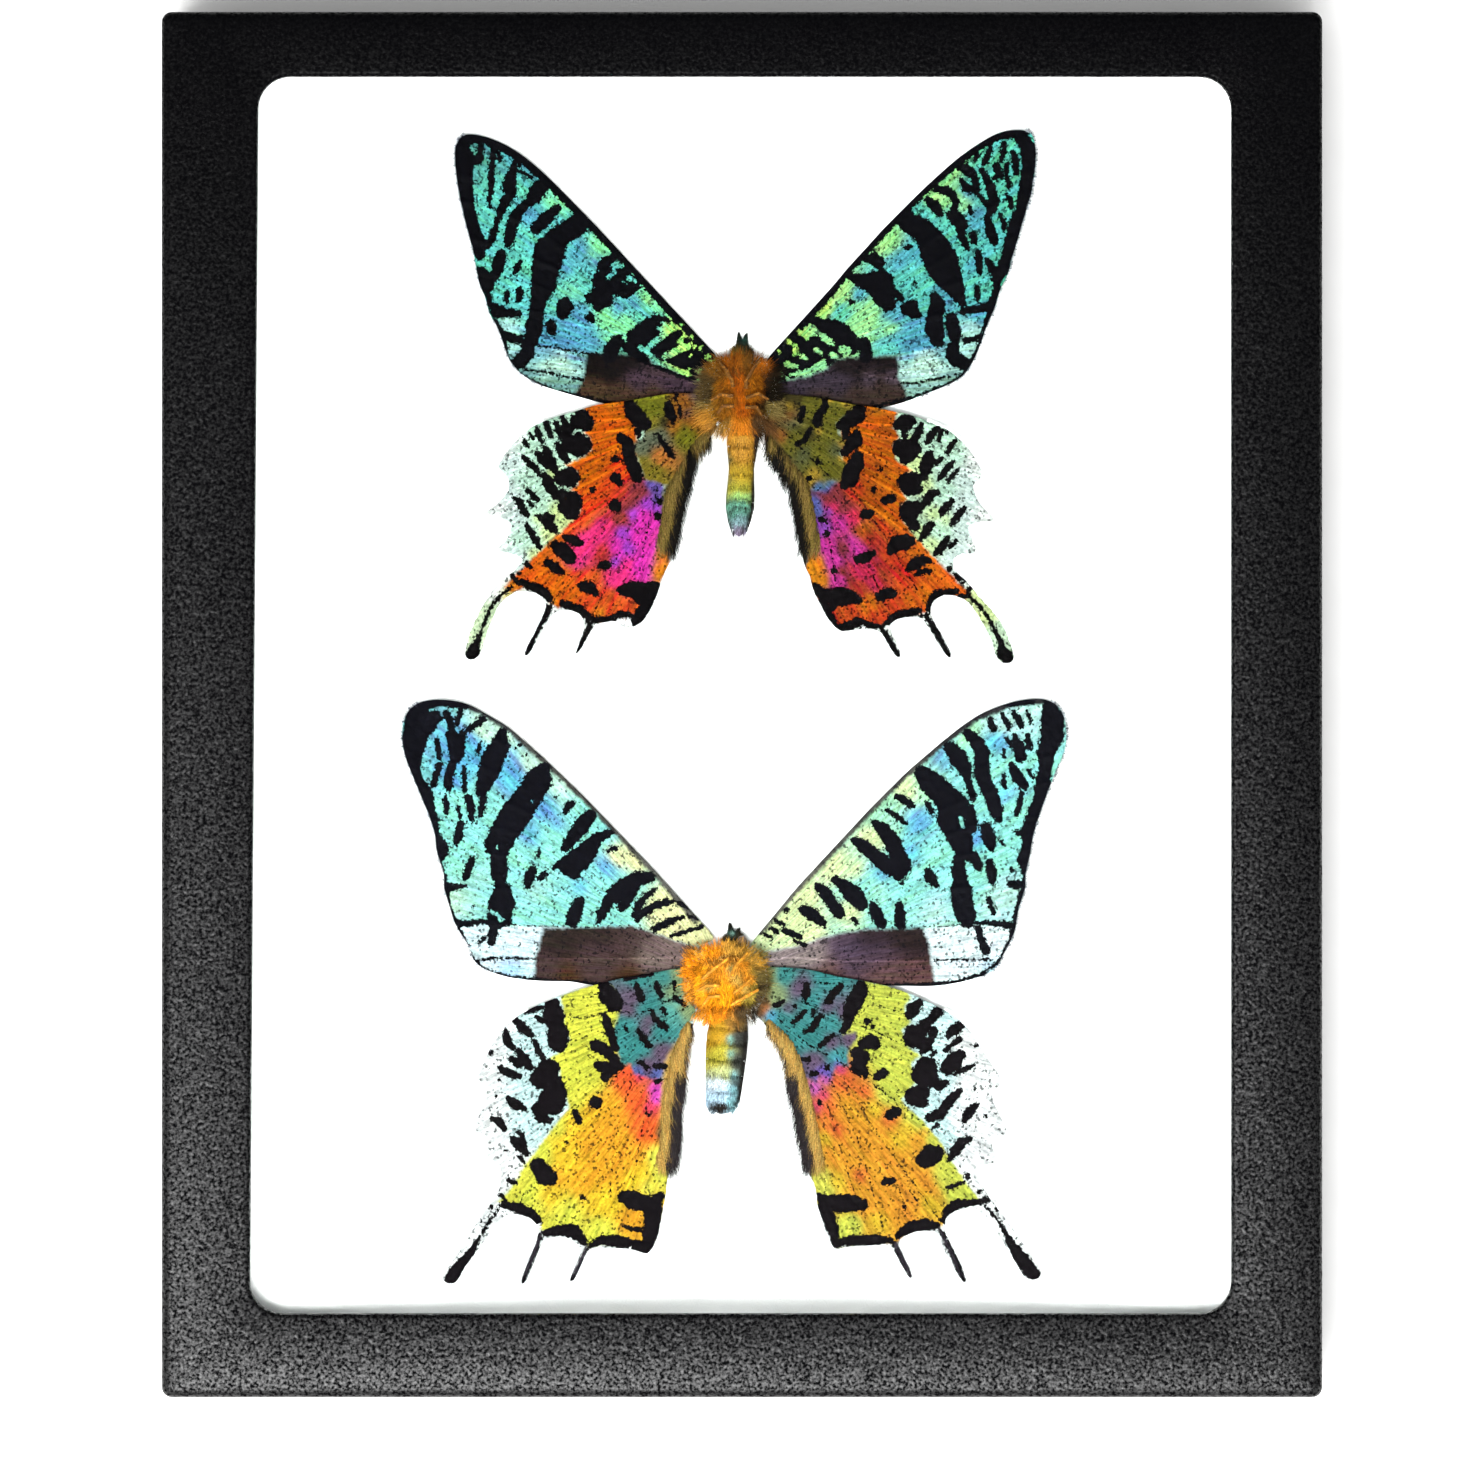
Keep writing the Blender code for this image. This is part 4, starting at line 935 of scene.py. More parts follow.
# Lower moth, right forewing
# The same markings on the other side, not quite mirrored, with more green near the front
# edge.
make_wing(
    "lower_moth", "right_forewing", lower_forewing_scales,
    black=[
        [(44.8, 38.6, 0.9), (45.2, 36, 1.7), (45.2, 33.8, 1.6), (44.3, 31.5, 1.3),
        (44.3, 29.5, 0.9), (43.8, 27, 1.1), (43.5, 25.3, 0.9), (42.6, 23, 1.0), (41.8, 20.8, 1.0),
        (41.7, 18.5, 0.8), (41.2, 16.5, 0.9), (41.4, 14.6, 0.3), (41.2, 12.8, 0.4),
        (40.4, 10.3, 0.3), (40, 7.6, 0.6), (39.4, 5.6, 0.3), (37.8, 2.6, 0.3), (35.5, 0.9, 0.25),
        (32, -0.1, 0.25), (27, -0.6, 0.3), (20, -0.8, 0.3), (12, -0.9, 0.3)], [(33.5, 34.3, 0.7),
        (34.6, 33.2, 0.9), (35.5, 31.6, 1.1), (35.4, 29, 1.1), (36, 27.2, 1), (36.9, 25.3, 1.15),
        (37.5, 23.5, 0.95), (37.8, 22.4, 0.6)], [(36, 21.2, 0.8), (36.4, 19.8, 1.05),
        (36.8, 18.4, 0.6)], [(38, 19.7, 0.25), (38.4, 18.9, 0.25)], [(36.5, 16.6, 0.45),
        (36.8, 15.2, 0.8), (36.9, 13.7, 0.5)], [(36.4, 11.4, 0.4), (37.1, 9.5, 0.4)],
        [(34.9, 7.3, 0.5), (35.4, 5.8, 0.6), (36, 4.2, 0.65)], [(31.1, 32.3, 0.9),
        (32.2, 30.9, 1.3), (33.1, 29.3, 1), (33.6, 27.8, 0.5), (34, 26.3, 0.55), (34.2, 25.2, 0.5)],
        [(27.2, 28.7, 1.1), (28.6, 27.3, 1.7), (30.3, 25.6, 1.8), (31.6, 24, 2.2), (31, 22.4, 1.8),
        (32, 20.8, 1.8), (32.6, 19.3, 1.7), (33.2, 17.8, 1.2)], [(33.8, 23.6, 0.8),
        (34.1, 22.2, 0.8), (34, 21, 0.8)], [(28, 24.6, 0.4), (28.5, 23.4, 0.45)],
        [(32.3, 17.2, 0.8), (32.3, 15.3, 1.05), (32.6, 13.3, 1.15)], [(34.3, 17.2, 0.8),
        (35, 15.9, 0.7), (35.2, 15.2, 0.3)], [(32.6, 12.5, 1.5), (32.8, 11, 1.5), (33.2, 9.3, 1.5),
        (33.4, 8.2, 0.9)], [(23.8, 25.5, 0.5), (24.9, 24.9, 0.6), (26, 24.2, 0.5)],
        [(22.5, 23.6, 0.35), (23.6, 22.8, 0.45), (25, 21.8, 0.3)], [(20.8, 21.8, 0.6),
        (22, 20.7, 1), (23.1, 19.2, 1.2), (23.9, 17.3, 1.2), (24.1, 15.9, 1.7), (24, 14.9, 1.1)],
        [(17.9, 19.4, 0.6), (19.2, 18.6, 0.9), (20.7, 17.3, 1), (22.1, 16.1, 1.1),
        (23.2, 15.2, 0.9)], [(24.5, 13.4, 0.35)], [(28, 15.3, 0.4), (28.3, 14.3, 0.85),
        (29.2, 13.2, 0.45)], [(15.2, 14, 0.6), (16.6, 12.9, 1), (18, 11.6, 1.3), (18.8, 10.5, 0.9)],
        [(12.8, 13, 0.6), (13.9, 12.1, 0.9), (14.6, 10.9, 0.8), (15.7, 9.5, 0.95)],
        [(10.6, 9.9, 0.5), (11.9, 9.3, 1), (13.2, 8.2, 0.7), (13.7, 7.5, 0.3)], [(20.3, 10.6, 0.5),
        (20.8, 9.4, 1), (21.5, 8, 0.8)], [(24, 10.5, 0.5), (24.2, 9.2, 0.85), (24.2, 7.8, 0.75)],
        [(17.5, 8.7, 0.3), (18.2, 7.9, 0.35)], [(8.5, 9.7, 0.4)], [(7, 8.3, 0.3), (8.2, 7.6, 0.3)],
        [(6.2, 7.3, 0.3), (7.3, 6.6, 0.3)], [(5.2, 6.6, 0.25), (6.3, 5.9, 0.25)], [(8.2, 6.9, 0.5),
        (10.2, 6.1, 0.5)], [(9.6, 5.5, 0.3), (11.2, 4.9, 0.3)], [(36.6, 36.2, 0.4), (37, 35, 0.6)],
        [(38.3, 37, 0.3), (39, 35.6, 0.5), (39.2, 34.9, 0.3)], [(39.8, 37.3, 0.3), (40.6, 36, 0.6),
        (40.9, 35.2, 0.4)], [(41.7, 37.4, 0.25), (42.2, 35.9, 0.35)], [(38.7, 33.5, 0.3),
        (39.6, 32.6, 0.4)], [(38.5, 31.9, 0.3), (38.5, 31, 0.25)], [(40, 33.9, 0.4),
        (40.6, 32.5, 0.8), (40.8, 31, 0.9)], [(41.8, 33.9, 0.4), (42, 32.3, 0.5)],
        [(38.5, 28.4, 0.3), (38.6, 27, 0.4)], [(39.6, 29.8, 0.5), (40.4, 28.3, 0.9),
        (41.3, 27, 0.7)], [(41.9, 29.2, 0.25), (42.6, 28, 0.25)], [(40.9, 25.8, 0.4),
        (40.7, 24.5, 0.5), (40.2, 23, 0.35)], [(40.2, 20.6, 0.4), (41, 20.2, 0.4)],
        [(39.6, 15.4, 0.3)], [(36.9, 31.3, 0.2)], [(33.5, 7.9, 0.2), (36, 8.1, 0.3),
        (38.5, 7.8, 0.5), (40.2, 7.6, 0.6)], [(39.5, 13.3, 0.6), (41.3, 13.3, 0.7)],
        [(29, 2.85, 0.15), (36.5, 2.9, 0.18)], [(42.5, 38.7, 0.5), (39, 38.2, 0.35)],
    ],
    clear=[[(32.5, 22.4, 0.3), (32.9, 21.4, 0.2)]],
    ground={
        "#8CDED2": [(33, 13, 3), (29, 18, 2.5), (26, 12, 2.5), (38, 17, 2), (37, 29, 2),
            (20, 13, 2), (35, 25, 1.5), (39, 24, 1.5)],
        "#5DACD6": [(27, 21.5, 1.2), (21.5, 14.5, 1), (29.5, 30, 1), (35, 19.5, 1), (38.5, 25.5, 1),
            (26, 17.8, 1), (37.5, 33, 1)],
        "#D4E5A8": [(18, 15.3, 1), (15.5, 15.5, 1), (20.5, 19.8, 1), (10, 12, 1.2), (7.5, 9, 1),
            (17.5, 9.8, 0.9), (11, 7.6, 0.9), (25.5, 26.5, 1)],
        "#A5E5BF": [(22, 23, 1.5), (29, 29.5, 1), (27, 26.5, 1), (21, 12.5, 1.2), (34, 34.8, 1)],
        "#B5E2DE": [(37, 10.5, 1.5), (29, 10, 2), (38, 36.5, 1.5), (39, 13, 1.5)],
    },
    zones=[
        ([(1, 6), (4, 9), (12, 17.5), (20, 26), (30, 35), (37, 39.5), (47, 40.5), (46, 38.6),
          (40, 38), (35, 36), (30, 32.3), (25, 27.9), (20, 22.9), (15, 17.4), (10, 12.1), (5, 6.3)],
          0.3, {
            "#494744": [(20, 24, 5)], "#605E57": [(8, 11, 4)], "#2E2C2F": [(38, 38.5, 4)],
        }),
        ([(1, 2.5), (4, 3.8), (7, 4.2), (10, 4.8), (13, 5.8), (16, 6.6), (19, 7.1), (28, 7.2),
          (33.5, 7.8), (40.4, 7.6), (40, 4), (37, 0), (25, -2), (3, -2)], 0.3, {
            "#DEF0F3": [(33, 4, 3), (31, 1.5, 1.5), (36, 5, 2)], "#B0D6EA": [(36.5, 2.2, 1)],
        }),
        ([(1, 2.5), (4, 3.8), (7, 4.2), (10, 4.8), (13, 5.8), (16, 6.6), (19, 7.1), (27.4, 7.4),
          (27.8, 6), (28.2, 5), (28.4, 3.2), (29, 0), (29, -2), (3, -2)], 0.5, {
            "#251A1B": [(24, 6.2, 2), (20, 6, 2), (26, 4.5, 1.5)],
            "#503F50": [(17, 4.5, 2), (21, 3.5, 2)], "#8A7B7C": [(8, 3, 1.5), (12, 3.6, 1.5)],
            "#5F413E": [(14, 0.8, 1.5), (22, 1, 2), (26, 1.2, 1.5)],
        }),
    ],
    bright=[[(6, 2.9, 0.05), (9, 3.2, 0.05), (15, 2.7, 0.02), (28, 2.7, 0.0)]],
    dark_veins=[
        [(14, 6.4, 0.1), (20, 7.3, 0.1), (28, 7.4, 0.12), (33, 7.8, 0.15)], [(20.2, 11.3, 0.05),
        (24, 11.8, 0.05), (28, 12.2, 0.05), (31.5, 12.7, 0.05), (35, 13.1, 0.07),
        (40.5, 13.3, 0.1)], [(25.9, 15, 0.05), (28, 16, 0.05), (31, 16.9, 0.05), (34, 17.6, 0.05),
        (37, 18, 0.05), (42.3, 18.3, 0.07)], [(25, 17.9, 0.05), (30.5, 20.1, 0.05),
        (34, 21.3, 0.05), (37, 22, 0.05), (43, 22.8, 0.07)], [(27, 22, 0.04), (33, 25, 0.05),
        (38, 26.6, 0.05), (44.5, 27.4, 0.07)], [(32, 28.4, 0.04), (37, 30, 0.05), (45.5, 31, 0.07)],
        [(33, 32.4, 0.04), (38, 34.4, 0.05), (44, 35.4, 0.05)],
    ],
)


# Lower moth, left hindwing
# Teal at the base, then a yellow band and an orange-red fan, with black spots, a white and
# black border, one long clubbed tail and two short ones.
make_wing(
    "lower_moth", "left_hindwing", lower_hindwing_scales,
    black=[
        [(-16.8, -0.8, 0.8), (-16.3, -2, 1.3), (-15.4, -3.1, 1.2)], [(-16.8, -4.6, 0.3),
        (-16.5, -5.5, 0.6), (-16, -7, 0.6), (-15.6, -8.2, 0.5), (-15.3, -9.4, 0.5)],
        [(-18, -9, 0.8), (-17, -9.4, 0.8), (-16, -10.2, 0.7), (-15.3, -11.2, 0.6),
        (-14.6, -12, 0.5)], [(-17.7, -11.7, 0.6), (-16.8, -12, 0.7), (-15.8, -12.3, 0.9),
        (-16.8, -13.5, 0.5)], [(-9.6, -0.5, 0.4), (-8.9, -2, 0.45)], [(-12.4, -0.8, 0.3),
        (-11.9, -1.8, 0.5), (-11.6, -2.7, 0.4)], [(-13.8, 0.4, 0.4), (-12.5, 0.6, 0.3),
        (-10.3, 1, 0.35)], [(-7.2, -0.2, 0.25), (-7, -1.4, 0.2)], [(-7, -2.3, 0.35),
        (-5.8, -3.4, 0.3)], [(-8.8, -3.8, 0.3), (-8.3, -4.6, 0.2)], [(-10.2, -4.2, 0.25),
        (-9.8, -5.3, 0.35), (-8.8, -6.2, 0.45), (-8.2, -6.6, 0.3)], [(-12, -7, 0.3),
        (-11.5, -8, 0.45), (-10.6, -9, 0.4)], [(-14, -6.5, 0.2), (-13.6, -7, 0.2)],
        [(-11.9, -11.3, 0.3), (-10.9, -12, 0.35)], [(-9.8, -11.8, 0.3), (-8.4, -11.9, 0.4)],
        [(-9.5, -14, 0.4), (-9, -13.8, 0.25)], [(-24, -3.3, 1), (-23.8, -5, 1.5), (-23.5, -6, 1.0),
        (-23.2, -7.4, 1.5), (-23.2, -8.6, 1.3)], [(-25, -11.6, 0.8), (-24.4, -12.2, 1.4),
        (-25.8, -13.5, 1.3), (-24, -14, 1.3), (-23.6, -15.5, 1.6), (-24, -16.6, 1.9)],
        [(-26, -17.6, 0.8), (-25.5, -18.8, 0.9), (-24.5, -19.3, 0.5)], [(-25.9, -25.7, 1.1),
        (-25, -27, 1.3), (-24.3, -27.3, 1.0)], [(-18, -16.9, 0.85)], [(-20.8, -18.4, 0.45),
        (-20.3, -19.4, 0.45)], [(-22, -22.3, 0.25)], [(-19.9, -30, 0.25), (-19.5, -30.1, 0.25)],
        [(-10.8, -18.5, 0.25)], [(-14, -30, 0.9), (-12.8, -30.4, 1.3), (-11.3, -30.9, 1.1),
        (-10, -30.8, 0.9), (-8.9, -29.8, 0.5)], [(-10.1, -31.5, 1.3), (-10.1, -33.5, 1.1),
        (-10.5, -35.5, 1.0), (-10.9, -37.3, 0.6)], [(-14, -34, 0.2), (-12.8, -34.4, 0.25),
        (-11.5, -34.4, 0.25)], [(-30.8, -30.9, 0.4), (-28.8, -31.4, 0.65), (-27, -32.2, 0.7),
        (-25.8, -33.4, 0.4)], [(-25, -34.9, 0.4), (-23, -34.5, 0.75), (-21, -34.7, 0.9),
        (-19.8, -36, 0.6)], [(-18.7, -36.6, 0.3), (-17, -35.9, 0.6), (-14.5, -36.2, 0.85),
        (-12, -36.8, 0.7), (-10.8, -37.4, 0.6)], [(-27.7, -4.3, 0.25), (-26.5, -3.9, 0.3),
        (-25.3, -3.7, 0.3)], [(-26.3, -4.9, 0.25), (-25.3, -5.6, 0.35)], [(-29, -5.5, 0.4),
        (-28, -6.6, 0.65), (-27, -7.4, 0.5)], [(-26.5, -8.3, 0.3), (-26, -9.5, 0.4),
        (-25.3, -10.7, 0.35)], [(-30.5, -6.8, 0.3), (-30.2, -8.2, 0.65), (-29.5, -9.3, 0.4)],
        [(-28.6, -9.7, 0.4), (-28, -10.8, 0.8), (-27.2, -11.9, 0.6)], [(-29.6, -10.8, 0.4),
        (-28.5, -11.6, 0.5)], [(-31.2, -12, 0.35), (-30, -12.8, 0.55), (-28.5, -13.3, 0.3)],
        [(-30, -16.3, 0.4), (-29, -17.1, 0.75), (-27.8, -17.7, 0.3)], [(-32.3, -19, 0.3),
        (-31.2, -19.5, 0.45), (-30.6, -20.5, 0.35)], [(-28.8, -20.9, 0.25), (-28, -21.4, 0.35)],
        [(-29.5, -21.9, 0.4), (-28.4, -22.7, 0.9), (-27.6, -23.8, 0.4)], [(-28.6, -24.3, 0.25),
        (-27.9, -25, 0.2)], [(-29.9, -27.6, 0.3), (-29.1, -28, 0.25)], [(-31, -29.7, 0.35)],
        [(-32.4, -9.9, 0.3)], [(-31.4, -13.7, 0.2)], [(-31.8, -16, 0.2)], [(-30.4, -23.5, 0.2)],
        [(-32.4, -31.3, 0.3)], [(-33.8, -33.3, 0.18)], [(-30.5, -30.2, 0.14), (-32.3, -32.7, 0.14),
        (-34, -35.3, 0.16), (-34.8, -36.8, 0.3), (-36, -38.7, 0.8), (-37.2, -40.2, 1.0),
        (-38.1, -41.2, 0.8)], [(-25.7, -35.2, 0.3), (-26.3, -37, 0.35), (-27.2, -39.3, 0.35),
        (-28.2, -41.8, 0.2)], [(-19.1, -37.3, 0.25), (-19.4, -38.4, 0.35), (-20.3, -40.2, 0.35),
        (-21.4, -41.7, 0.25)],
    ],
    clear=[[(-17, -10.7, 0.25)]],
    ground={
        "#C2E3E4": [(-27, -9, 2), (-28, -14.5, 2), (-27.5, -20, 1.5), (-26.8, -6, 1.5)],
        "#E7EBEC": [(-32, -12, 2), (-34, -20, 2), (-33, -16, 2), (-32, -24, 2), (-31, -27, 1.5),
            (-35, -35, 3), (-27, -39, 3), (-21, -40, 2), (-30, -6, 1), (-33, -9, 1.5)],
    },
    zones=[
        ([(-17.5, -0.3), (-20, -1), (-22.8, -2.1), (-22.5, -4.5), (-22.6, -6), (-21.6, -7.8),
          (-22.5, -9.6), (-24.3, -10.6), (-22.8, -12.5), (-23.2, -14.5), (-21.8, -16.5),
          (-21.6, -17.6), (-23.2, -19.4), (-24.5, -21), (-26.5, -23.8), (-27.8, -25.5),
          (-29, -27.6), (-30.2, -29.4), (-31.5, -30.6), (-29.5, -31.5), (-26, -33), (-25.5, -34.5),
          (-24, -35), (-20, -35), (-19, -37), (-17, -36.5), (-13, -37), (-10.5, -37.5), (-8.5, -33),
          (-7.5, -28), (-7.6, -24), (-8.6, -19), (-8.6, -16), (-8.4, -14), (-13.5, -11),
          (-13.8, -9), (-14, -4), (-15.5, 0)], 0.3, {
            "#D0D246": [(-20, -3, 2), (-20, -7, 2), (-21, -11, 2), (-19, -14, 1.5),
                (-21, -16.5, 1.2), (-23.5, -20, 0.9), (-25.5, -24, 1), (-28, -28.5, 1.5),
                (-22.5, -32, 1.5), (-17.5, -34.5, 1.2), (-26.5, -31, 1.2)],
            "#E09E26": [(-17, -18, 2), (-18, -22, 2), (-17, -26, 2), (-19.5, -27.5, 1.5),
                (-23.5, -27.5, 0.8), (-14.5, -24, 1.8), (-13.5, -33.2, 1)],
            "#E3BD2C": [(-20, -19.5, 1.2), (-22, -24, 1.3), (-24, -30, 1.3), (-17, -30.5, 1.5),
                (-12, -27.5, 1.3)],
            "#E05A2A": [(-14, -14, 1.3), (-12.2, -17, 1.2), (-11.5, -20.5, 1.1), (-13, -12.8, 0.8)],
            "#DC3C5D": [(-12, -13.2, 0.6), (-10.6, -17.5, 0.6)],
            "#CD43B2": [(-9.6, -15.2, 0.5), (-9.8, -16.4, 0.4)],
            "#D5D54D": [(-9, -26.8, 0.9), (-9.5, -24.5, 0.7), (-11, -28.4, 0.8)],
        }),
        ([(-3.2, 2.5), (-5, 2.8), (-10, 2), (-15, 1), (-17.3, 0), (-15.5, -1), (-14.5, -3),
          (-15, -5), (-15.8, -7.5), (-15, -9.5), (-14.5, -11.8), (-13.2, -11.6), (-12.8, -12.8),
          (-10.5, -13.6), (-9, -13.8), (-8, -12), (-7, -9), (-5.2, -6), (-3, -4)], 0.5, {
            "#398482": [(-11, -3.5, 1), (-9, -7, 1), (-12, -9, 1), (-13.8, -6, 0.8),
                (-14, -10.5, 0.8), (-8, 0.5, 0.8), (-12, 0, 0.6)],
            "#624D64": [(-12.5, -2.5, 0.8), (-10.5, -5.5, 0.7), (-13.5, -4.2, 0.7),
                (-11, -11.8, 0.7), (-8.8, -9.8, 0.8), (-11, -7, 0.6)],
            "#849667": [(-6.5, -1, 0.9), (-5.5, -3.5, 0.8), (-7, 0.8, 0.7)],
            "#515E9C": [(-12, -12.6, 0.5), (-9.5, -12.9, 0.5)],
            "#58A49C": [(-7.5, -4.8, 0.7), (-6.3, -2.8, 0.6)],
        }),
        ([(-5.6, -7), (-7.8, -9.8), (-8.6, -12), (-8.9, -14.5), (-9, -18), (-9.6, -21),
          (-8.8, -24.4), (-7.6, -26), (-5, -24), (-4.5, -12), (-4, -6)], 0.6, {
            "#BF994C": [(-7.5, -12, 1.2), (-7.8, -17, 1.2)],
            "#56402D": [(-6.2, -11, 0.7), (-6.6, -19, 1), (-7.2, -23, 1)],
        }),
    ],
    bright=[],
    dark_veins=[
        [(-14, -12.6, 0.08), (-17, -15, 0.08), (-20.5, -17.4, 0.08), (-24.5, -20.9, 0.05)],
        [(-16, -4.2, 0.1), (-19.5, -5.2, 0.1), (-22, -4.9, 0.08)], [(-18, -1.9, 0.04),
        (-20, -2.6, 0.04)], [(-16.2, -7.3, 0.08), (-18.5, -6.8, 0.06)], [(-15, -4.3, 0.08),
        (-11.5, -4.4, 0.1), (-8.5, -3, 0.1), (-5, -1.8, 0.1)], [(-13, -9.8, 0.05),
        (-9.5, -6.2, 0.08), (-5, -3.4, 0.08)], [(-27.5, -29, 0.08), (-28.6, -30.8, 0.08)],
        [(-10.6, -15.5, 0.03), (-12, -23, 0.03), (-13, -29, 0.04)], [(-13, -14, 0.03),
        (-15.5, -22, 0.03), (-16, -29.6, 0.06)],
    ],
)


